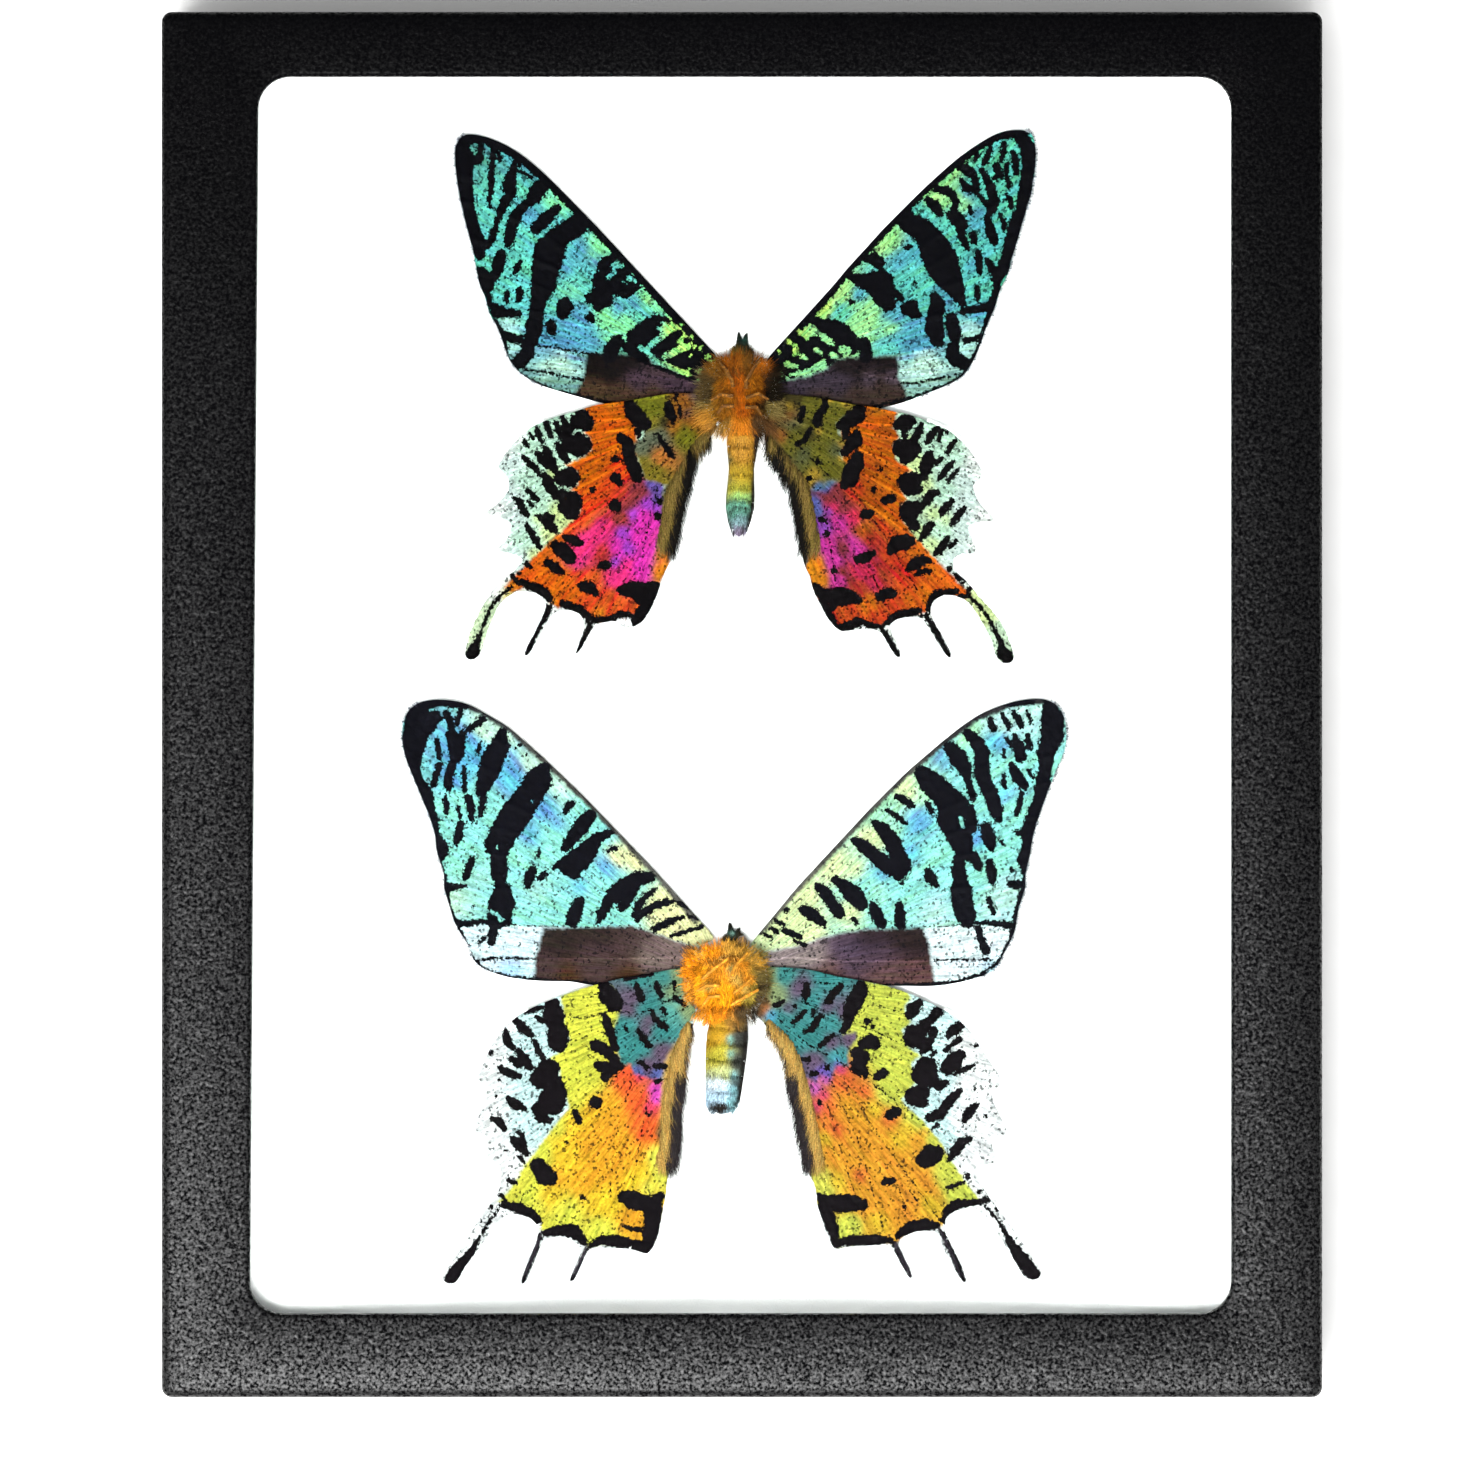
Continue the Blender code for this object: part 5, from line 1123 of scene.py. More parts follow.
# Lower moth, right hindwing
# The right one is a deeper orange with paler rays between its folds.
make_wing(
    "lower_moth", "right_hindwing", lower_hindwing_scales,
    black=[
        [(18.8, -0.8, 0.7), (18.6, -1.6, 1.1), (18, -2.7, 1.2), (17.3, -4, 1), (17, -5.6, 0.6),
        (16.3, -7, 0.4)], [(11.2, -0.6, 0.4), (11.1, -1.8, 0.6), (11, -2.5, 0.3)],
        [(16, -0.8, 0.35), (15, -1.7, 0.55), (14.2, -2.8, 0.45)], [(15, -7.5, 0.25),
        (14.3, -8, 0.4), (13, -9, 0.25)], [(13.2, -4.9, 0.35), (12.5, -5.8, 0.5), (11.8, -6.8, 0.4),
        (10.9, -7.2, 0.2)], [(9.5, -5.7, 0.35), (10.3, -5, 0.35), (11, -4.2, 0.2)],
        [(12.2, -4.2, 0.3), (12.1, -5, 0.2)], [(7, -3.4, 0.4), (8, -2.8, 0.2)], [(9.6, -3.6, 0.3)],
        [(11.6, -11, 0.35), (10.6, -10.9, 0.2)], [(12.5, -12.9, 0.35), (11.8, -12.8, 0.25)],
        [(14, -12, 0.35)], [(19, -8.8, 0.7), (20, -8.4, 1.0), (20.5, -8.6, 0.9)], [(18.2, -10, 0.9),
        (18.8, -10.6, 1.1), (18.3, -12, 1.0), (19.2, -12.6, 0.7), (19.3, -13.2, 0.4)],
        [(20.9, -13.3, 0.55), (21.8, -12.8, 0.65)], [(22.6, -18.7, 0.6), (23.5, -18.2, 0.75)],
        [(27.5, -24.8, 1.1), (28.4, -24.2, 1.4), (29.2, -23.9, 1.0)], [(22, -27.9, 0.45),
        (23, -27.7, 0.5)], [(19.7, -5.7, 0.45)], [(20.4, -6.3, 0.2)], [(13, -17, 0.35)],
        [(24.8, -31.4, 0.25)], [(26.9, -3, 0.5), (26, -3.8, 0.9), (25.6, -4.7, 0.7)],
        [(29.3, -4.3, 0.75), (28.6, -5.2, 0.6), (27.8, -6.1, 0.5), (27, -5.7, 0.3)], [(27, -7, 1.0),
        (25.8, -7.2, 1.0), (25.5, -8.2, 0.9), (27.2, -8.5, 1.0)], [(28.8, -6.8, 0.5),
        (28.4, -8, 0.5), (28, -9, 0.6), (27.3, -9.8, 0.4)], [(27.8, -12, 1.5), (27.2, -13, 1.5),
        (28.5, -13.8, 1.0)], [(29.5, -14.6, 0.7), (30.4, -14.1, 0.45)], [(27, -15.5, 1.2),
        (26, -16, 1.2), (27.2, -16.8, 0.8)], [(32.6, -6.1, 0.5), (31.6, -6.8, 0.75),
        (30.9, -7.4, 0.5)], [(32.2, -8.2, 0.5), (31.3, -8.9, 0.25), (30.4, -9.6, 0.35)],
        [(32.4, -10.3, 0.8), (31.5, -11.2, 1.2), (30.7, -12, 1.0)], [(34.2, -11.7, 0.2),
        (33, -12.2, 0.35), (31.8, -12.9, 0.25)], [(32.4, -15.2, 0.35), (31.4, -16.2, 0.6),
        (30.4, -17.4, 0.6), (29.8, -18.4, 0.7), (28.3, -18.9, 0.6)], [(34.7, -17.2, 0.4),
        (33.7, -18.2, 0.7), (33, -19.4, 0.35)], [(29.4, -19.9, 0.25), (28.6, -20.6, 0.15)],
        [(33.8, -21.8, 0.35), (32.6, -22.4, 0.65), (31.7, -23.6, 0.65), (31, -24.8, 0.3)],
        [(34.7, -8.8, 0.35)], [(34.5, -15, 0.25)], [(36, -18.6, 0.2)], [(29, -9.8, 0.25),
        (28.4, -10.5, 0.2)], [(13, -30, 0.6), (14.2, -30.9, 1.1), (16, -30.9, 1.2),
        (17.8, -30.8, 1.1), (19, -31, 0.7)], [(13.4, -31.5, 0.8), (14.3, -33, 0.9),
        (14.9, -34.6, 0.7), (15.3, -36.4, 0.5)], [(15.5, -36.4, 0.6), (18, -35.9, 0.7),
        (20.5, -35.9, 0.7), (22.8, -36, 0.4)], [(23.9, -35.3, 0.45), (25.5, -34.1, 0.75),
        (27.5, -33.8, 0.85), (29.3, -33.9, 0.4)], [(30.2, -33.2, 0.4), (30.9, -31.7, 0.7),
        (32.2, -30.8, 0.6), (33.5, -30.9, 0.5), (36.1, -30.3, 0.35)], [(30.5, -28.7, 0.2),
        (31.8, -28.3, 0.3), (32.9, -27.9, 0.2)], [(33.4, -27.1, 0.4)], [(35.1, -29.2, 0.35)],
        [(37.5, -31.6, 0.25)], [(35.9, -31, 0.14), (37.5, -33, 0.14), (38.7, -34.8, 0.25),
        (39.8, -36.8, 0.6), (41, -38.5, 0.95), (42.2, -40.1, 1.0), (42.8, -40.7, 0.8)],
        [(29.7, -34.5, 0.2), (30.4, -35.5, 0.3), (31.3, -37.6, 0.35), (32.5, -40.2, 0.3),
        (33.1, -41.6, 0.25)], [(23.3, -36.4, 0.25), (24.1, -38, 0.35), (25.1, -39.8, 0.3),
        (25.8, -41.1, 0.2)],
    ],
    clear=[],
    ground={
        "#C2E3E4": [(28, -10.5, 1.5), (30, -13.5, 1.5), (28.5, -17.5, 1.2), (30, -21, 1.5),
            (27.5, -4.5, 0.8), (30.5, -6, 1)],
        "#E7EBEC": [(34, -9, 1.5), (35, -13, 1.5), (36, -17, 1.5), (35.5, -21, 1.5), (35, -25, 1.5),
            (36, -28, 1.5), (39, -34, 3), (31, -38, 3), (25, -39, 2), (33, -14.5, 1),
            (32.5, -19.5, 1)],
    },
    zones=[
        ([(19.5, 0), (24.5, -1.2), (25.8, -2.3), (24.7, -3.5), (25.6, -5.8), (24.3, -7),
          (25.4, -9.2), (27.1, -10.5), (25.7, -11.2), (26.1, -14.1), (24.4, -16.6), (25.5, -17.8),
          (27, -19), (29.8, -22.3), (31.5, -25.2), (33.3, -28), (35.2, -30.3), (33, -31),
          (30.5, -32.5), (30, -34), (28, -34), (25, -35), (23.5, -36.5), (20, -36.2), (15.5, -37),
          (12.5, -31), (11.9, -27.5), (11.4, -25), (12, -22), (11.8, -18), (11.5, -15.5),
          (10.6, -13), (14, -11.2), (15.5, -10.8), (15.8, -9), (15.8, -7), (15.8, -5), (17.2, -2.5),
          (18.8, 0)], 0.3, {
            "#BCC44B": [(22, -3, 2), (21.5, -7, 1.5), (23.5, -10, 1.5), (23.5, -14, 1.5),
                (26.5, -19.5, 0.9), (28.5, -22, 0.8), (31, -26.5, 1), (32.5, -29, 1),
                (17.5, -33.7, 0.7), (16, -35, 0.6), (22.5, -15.5, 1)],
            "#CF8D29": [(17.5, -18, 2), (20, -22, 2), (22, -26, 2), (17.5, -24, 1.5),
                (26, -29, 1.5), (24.5, -31, 1.5), (15, -25, 1.2), (20, -30, 1.5), (27, -22, 1)],
            "#D0AB2E": [(20.5, -18, 0.8), (24, -22, 0.8), (21, -33.5, 0.8), (28, -31, 0.9),
                (13.9, -22, 0.6), (15.4, -27.5, 0.7), (25.5, -20.5, 0.6)],
            "#CB622E": [(16.5, -14, 1.1), (14.2, -17.5, 1), (15.3, -20.5, 0.9), (19, -15.5, 0.9),
                (18.8, -26.8, 0.7), (22.5, -19, 0.7)],
            "#C53D62": [(16, -12.4, 0.5), (13.6, -16, 0.5), (12.9, -17.5, 0.5)],
            "#B0539F": [(12.4, -15, 0.45), (14, -13.6, 0.4)],
            "#CAC851": [(12.4, -25, 0.6), (13.5, -27, 0.9), (13.7, -29, 0.7)],
        }),
        ([(3, 3), (5.6, 3), (10, 2.6), (13, 2.2), (17, 1), (19.5, 0.2), (18, -0.8), (16.8, -3),
          (16.5, -5.5), (16.2, -7.5), (18, -7), (18.2, -8), (17, -9.8), (17, -11.8), (15.5, -11.8),
          (14.5, -13.5), (13, -13), (12.5, -14), (10.6, -13.4), (9.4, -11), (7.4, -8.4), (5, -5.6),
          (3, -3.6)], 0.5, {
            "#3B8685": [(8, -5, 1), (12, -2.8, 1), (14.5, -5.5, 1), (15.5, -10.5, 0.8),
                (12.5, -8.5, 1), (8, 0.8, 0.8), (14, 0.6, 0.8), (10.5, -8, 0.8)],
            "#634E68": [(14, -3.8, 0.8), (16.3, -4.5, 0.7), (14.6, -8.6, 0.7), (17.2, -8.2, 0.6),
                (10.5, -1.2, 0.8), (12.3, -10.8, 0.8), (8.5, -4, 0.6)],
            "#879969": [(6.2, -1.5, 0.9), (6, 0.8, 0.8), (7.2, -2.8, 0.6)],
            "#A66536": [(5, -1.5, 0.7), (5.2, -3.5, 0.7)],
            "#52A0C3": [(15.5, -10.8, 0.4), (6.5, -4.8, 0.5)],
            "#6952A6": [(13.5, -12.6, 0.5), (15.5, -11.5, 0.4)],
        }),
        ([(5.5, -5.5), (7.6, -8), (9.2, -10.2), (10.8, -12.6), (11.8, -15.5), (12.3, -19),
          (12.3, -22), (12.2, -24.2), (10.8, -26.4), (8.5, -25), (7.5, -12), (5, -5.5)], 0.5, {
            "#AF8954": [(8.8, -11, 1), (10.5, -15.5, 0.9), (11.6, -20.5, 0.8)],
            "#372D2D": [(9, -14, 0.8), (9.6, -18.5, 1.0), (10.6, -23, 1.0)],
            "#838254": [(7.5, -8.8, 0.7)],
        }),
    ],
    bright=[],
    dark_veins=[
        [(16.5, -11.7, 0.1), (20, -14, 0.1), (23.5, -16.6, 0.1), (27.5, -20, 0.06)],
        [(18, -5.9, 0.08), (21, -7.2, 0.1), (25.4, -9.2, 0.06)], [(20.5, -3.2, 0.04),
        (25, -4.7, 0.05)], [(9.5, -0.2, 0.08), (16, -0.4, 0.08)], [(6, -4.2, 0.06),
        (11.5, -8.9, 0.08), (16.8, -11.8, 0.1)], [(8, -2, 0.06), (13, -3.8, 0.06),
        (17, -5.4, 0.05)], [(13, -13.5, 0.04), (15.5, -22, 0.05), (18, -30, 0.05)],
        [(14.5, -13.5, 0.04), (18.5, -22.5, 0.05), (22, -35, 0.06)], [(16, -13, 0.04),
        (20.5, -20.5, 0.04), (26, -28, 0.06), (29.5, -33, 0.06)], [(23.8, -28, 0.08),
        (24.6, -30.5, 0.08)], [(25.2, -28.8, 0.08), (26.7, -30.6, 0.08)],
    ],
)


# Upper moth, left forewing
# Darker teal-green, nearly half black, with a black front edge and the same brown hind border
# and pale tip.
make_wing(
    "upper_moth", "left_forewing", upper_forewing_scales,
    black=[
        [(-35, 34.8, 0.65), (-32.5, 33.8, 0.65), (-30, 32.3, 0.65), (-25, 27.7, 0.65),
        (-20, 22.7, 0.65), (-15, 17.4, 0.65), (-10, 11.9, 0.7), (-5, 6.5, 0.8), (-3, 4.3, 0.6)],
        [(-38, 35.3, 0.7), (-38.6, 34.5, 1), (-38.2, 32, 1.5), (-38.2, 29.5, 1.2), (-37.8, 27.5, 1),
        (-37.5, 25, 0.9), (-36.9, 22.5, 1), (-36.2, 20.3, 1.3), (-36, 18.8, 0.7)],
        [(-35.7, 16.5, 0.9), (-35.2, 15, 1.3), (-34.9, 13.9, 0.4), (-34.5, 12, 0.4),
        (-33.6, 11.2, 0.9), (-32, 10.9, 0.6), (-30.5, 10.8, 0.5)], [(-37.5, 35, 0.8),
        (-35, 34.9, 0.4), (-33.5, 34, 0.6), (-31.5, 33, 0.45)], [(-35.9, 34.7, 0.5),
        (-35.8, 33, 0.45), (-36.2, 32.2, 0.8), (-37.5, 31.5, 0.6)], [(-34.2, 34, 0.4),
        (-34.1, 32.8, 0.35), (-34.3, 31.5, 0.45), (-34.4, 30, 0.45), (-34.3, 28.5, 0.4),
        (-34.6, 27, 0.3), (-34.6, 25.8, 0.25)], [(-33.5, 33.4, 0.25), (-33.2, 32.3, 0.45)],
        [(-31, 32, 0.4), (-31.3, 30.8, 0.5), (-31.7, 29.5, 0.85), (-31.9, 28.4, 1),
        (-31.7, 27.3, 0.75), (-32.5, 26.2, 0.7), (-33, 25, 0.6), (-33.6, 23.5, 0.35),
        (-34, 22, 0.55), (-34.4, 21, 0.5), (-35, 20.2, 0.6)], [(-26.6, 29.4, 0.6),
        (-27.7, 28.3, 1.1), (-28.4, 27, 1.1), (-29, 26.2, 0.6), (-30, 25.7, 0.6),
        (-30.7, 24.8, 0.75), (-31.5, 23, 0.8), (-31.9, 21, 0.8), (-32.2, 20.4, 0.4)],
        [(-33, 19.2, 0.6), (-33.3, 17.8, 0.9), (-33.6, 16.6, 0.8), (-34.2, 15.5, 0.6)],
        [(-25.2, 25.5, 0.5), (-26.3, 24.6, 0.8), (-27.2, 23.6, 0.95), (-28.2, 22.6, 0.8)],
        [(-30.6, 32.3, 0.35), (-30.5, 31.3, 0.3)], [(-30.3, 30.6, 0.2), (-28.7, 29.6, 0.2)],
        [(-22.6, 23, 1.5), (-25.2, 21.4, 1.5), (-26.3, 19.5, 2.2), (-26.9, 17, 1.9),
        (-27.1, 15, 1.7), (-27.8, 13, 1.2), (-28.1, 11, 1), (-28.4, 9.3, 1.2), (-28.6, 8, 1.1),
        (-29.2, 6.5, 0.95), (-29.4, 5.2, 0.95), (-30.3, 4.3, 1), (-31.3, 3.9, 0.7)],
        [(-26.2, 9.4, 0.7), (-26, 8.4, 0.65)], [(-33, 8.2, 0.5), (-31.5, 7.5, 0.6),
        (-30.3, 7.2, 0.6)], [(-34, 9.9, 0.3), (-33.2, 8.5, 0.4), (-32.6, 7.2, 0.3),
        (-32.2, 5.4, 0.25), (-32, 4.3, 0.4)], [(-30.4, 18, 0.35), (-30.8, 17.2, 0.5),
        (-31.1, 16.6, 0.35)], [(-30.4, 14, 0.55), (-30.6, 12.9, 0.5)], [(-32.2, 13.7, 0.4),
        (-32.3, 12.7, 0.35)], [(-24.3, 12.1, 1), (-24.5, 11, 0.9), (-23.6, 11.9, 0.7)],
        [(-20.8, 10.3, 0.65), (-20.3, 9.9, 0.4)], [(-17.5, 18.7, 0.5), (-18.5, 18, 0.8),
        (-19.2, 17.3, 0.6)], [(-18.8, 17, 0.7), (-17.3, 15.9, 1), (-16, 16.4, 0.9),
        (-14.5, 15, 0.8)], [(-19.3, 15.5, 1.2), (-17.5, 14.6, 1.1), (-15.8, 13.9, 0.9),
        (-14.8, 14.4, 0.7)], [(-20.8, 13, 0.7), (-19.5, 13.2, 1.3), (-18.5, 12.8, 1),
        (-19.6, 11.9, 0.7)], [(-10.2, 10, 0.5), (-11.5, 9.9, 0.8), (-12.7, 9.2, 1), (-13.8, 8.4, 1),
        (-14.8, 7.7, 0.9), (-15, 7.2, 0.6)], [(-16.7, 7.4, 0.6), (-17.2, 6.7, 1), (-17.8, 5.7, 1.1),
        (-18, 4.9, 0.9)], [(-15, 6.2, 0.4), (-14.9, 5.7, 0.3)], [(-8.3, 8.2, 0.5), (-9.5, 7.5, 0.7),
        (-10.8, 6.5, 0.8), (-11.6, 5.6, 0.7)], [(-6.2, 4.2, 0.8), (-7.3, 4.4, 0.8),
        (-8.3, 4.1, 0.5)], [(-7.3, 7.2, 0.4), (-6.8, 6.4, 0.3)], [(-5.8, 5.8, 0.4),
        (-5.3, 4.9, 0.5)], [(-4.5, 3, 1), (-7, 4.8, 1.3), (-9, 6, 1), (-11.5, 7.6, 1),
        (-14, 7.4, 0.9)], [(-8, 3.2, 0.9), (-10.5, 4.8, 1.1), (-13, 5.5, 1.2), (-15.5, 6.2, 0.8)],
        [(-4, 2, 0.8), (-7, 2.4, 0.8), (-10, 3.4, 0.7), (-13.5, 5, 0.8)], [(-31.8, 3.8, 0.3),
        (-30, 2.3, 0.2), (-28, 1.2, 0.2), (-25.5, 0.2, 0.18), (-22, -0.6, 0.2), (-17, -1.7, 0.2),
        (-9, -1.8, 0.2)], [(-28.3, 6.3, 0.14), (-26, 6.3, 0.14), (-22, 5.5, 0.14),
        (-19, 5.2, 0.14)], [(-29.8, 3.1, 0.12), (-27, 2.8, 0.12), (-24, 2.1, 0.12),
        (-21.7, 1.7, 0.12)],
    ],
    clear=[
        [(-16.4, 17.5, 0.4)], [(-18.3, 15.9, 0.35), (-17.3, 16.8, 0.3)], [(-15.3, 15.8, 0.4),
        (-14.5, 15.5, 0.4)], [(-10.6, 9.6, 0.3)], [(-9, 8.9, 0.45)], [(-8.1, 9.3, 0.3)],
        [(-6.6, 7.6, 0.3)], [(-7.2, 6.3, 0.5)], [(-6.8, 5, 0.3)], [(-5.4, 6.2, 0.35)],
        [(-4.2, 5, 0.35)], [(-3.3, 4.2, 0.4)], [(-5.5, 2.9, 0.5)], [(-5.6, 1.7, 0.3)],
        [(-12.5, 4.3, 0.3), (-11.5, 4.2, 0.5), (-10, 3.7, 0.4), (-8.5, 3, 0.45), (-7, 2.5, 0.4)],
        [(-13.8, 6.3, 0.35), (-11.8, 4.5, 0.35)], [(-12.8, 6, 0.35), (-11.8, 6.9, 0.4),
        (-10.5, 7.8, 0.35), (-9.5, 8.6, 0.35)], [(-10.5, 4.9, 0.4), (-9, 5.6, 0.5),
        (-7.5, 6.3, 0.5)],
    ],
    ground={
        "#5FC4B6": [(-29, 20, 2), (-33, 28, 2), (-22, 15, 2), (-13, 11, 1.5), (-30, 16, 1.5),
            (-24, 23.5, 1.5), (-33, 13, 1.5)],
        "#529DBA": [(-20.5, 18.5, 1), (-22, 19.5, 1), (-24, 17, 1), (-22.5, 11, 1), (-22, 8.2, 1),
            (-17, 11.5, 0.8), (-14.5, 12, 0.8), (-26, 7, 1), (-28, 5.8, 0.8), (-29, 24.5, 1),
            (-31.5, 32.5, 1)],
        "#83E3A2": [(-19.5, 20.5, 1), (-20.5, 19, 0.7), (-23, 14.3, 1), (-18.5, 10.8, 1),
            (-16, 9.8, 0.9), (-12.5, 13, 0.8), (-11.5, 12, 0.8), (-15.2, 9, 0.7), (-24.5, 26, 1)],
        "#ACEB72": [(-12.5, 12.8, 0.5), (-9, 9, 0.8), (-6.5, 7.5, 0.8), (-5, 4.5, 1)],
        "#529C9A": [(-37, 34, 1.5), (-37, 30, 1), (-33, 31, 1)],
        "#ACE3DB": [(-32.2, 9.5, 0.6), (-31.3, 5.8, 0.6)],
    },
    zones=[
        ([(-1.5, 2), (-4, 1.8), (-6, 1.5), (-9, 2.8), (-12, 4), (-13, 5.2), (-17, 5.4), (-21, 5.5),
          (-28.3, 6.5), (-30.5, 6), (-33, 4.5), (-30, 0), (-24, -2), (-3, -3)], 0.4, {
            "#72B5C4": [(-27, 5.2, 1), (-23, 4.6, 0.7)],
            "#AED9CB": [(-24, 3.5, 1), (-26.5, 3.8, 1)],
            "#6E9F98": [(-25, 1.3, 1), (-29, 2, 0.8), (-22.5, 0.6, 0.8)],
        }),
        ([(-1.5, 2), (-4, 1.8), (-6, 1.5), (-9, 2.8), (-12, 4), (-13, 5.2), (-17, 5.4),
          (-21.2, 5.5), (-21.5, 3), (-21.8, 1.5), (-23, -0.5), (-23, -2), (-3, -3)], 0.5, {
            "#120D0B": [(-20, 4, 1), (-17, 4.3, 1.2), (-14.5, 4.2, 1), (-18, 2.6, 0.8)],
            "#45333E": [(-10, 2, 1), (-7, 0.8, 1), (-14, 2, 1)],
            "#453222": [(-20, 0, 1), (-16, -0.5, 1), (-12, -0.8, 1)], "#453F31": [(-5, -0.5, 1)],
        }),
    ],
    bright=[
        [(-25.5, 9.5, 0), (-22, 9.2, 0.03), (-19, 8.6, 0.03), (-16.5, 8.2, 0)], [(-6, 2, 0),
        (-12, 3.4, 0), (-16, 4.7, 0)],
    ],
    dark_veins=[
        [(-19.5, 9.4, 0.04), (-24, 10.4, 0.05), (-30, 11.4, 0.06)], [(-24, 13, 0.04),
        (-29, 15, 0.05), (-33, 16, 0.08), (-36, 16.6, 0.1)], [(-24, 16.4, 0.04), (-30, 19.2, 0.05),
        (-34, 20.4, 0.06), (-37, 21.2, 0.1)], [(-24, 19.6, 0.05), (-30, 23.6, 0.06),
        (-35, 25.6, 0.07), (-38.3, 26.3, 0.1)], [(-28, 24.6, 0.04), (-33, 28, 0.05),
        (-38.6, 30, 0.08)], [(-31, 31.3, 0.04), (-36, 34, 0.05)],
    ],
)


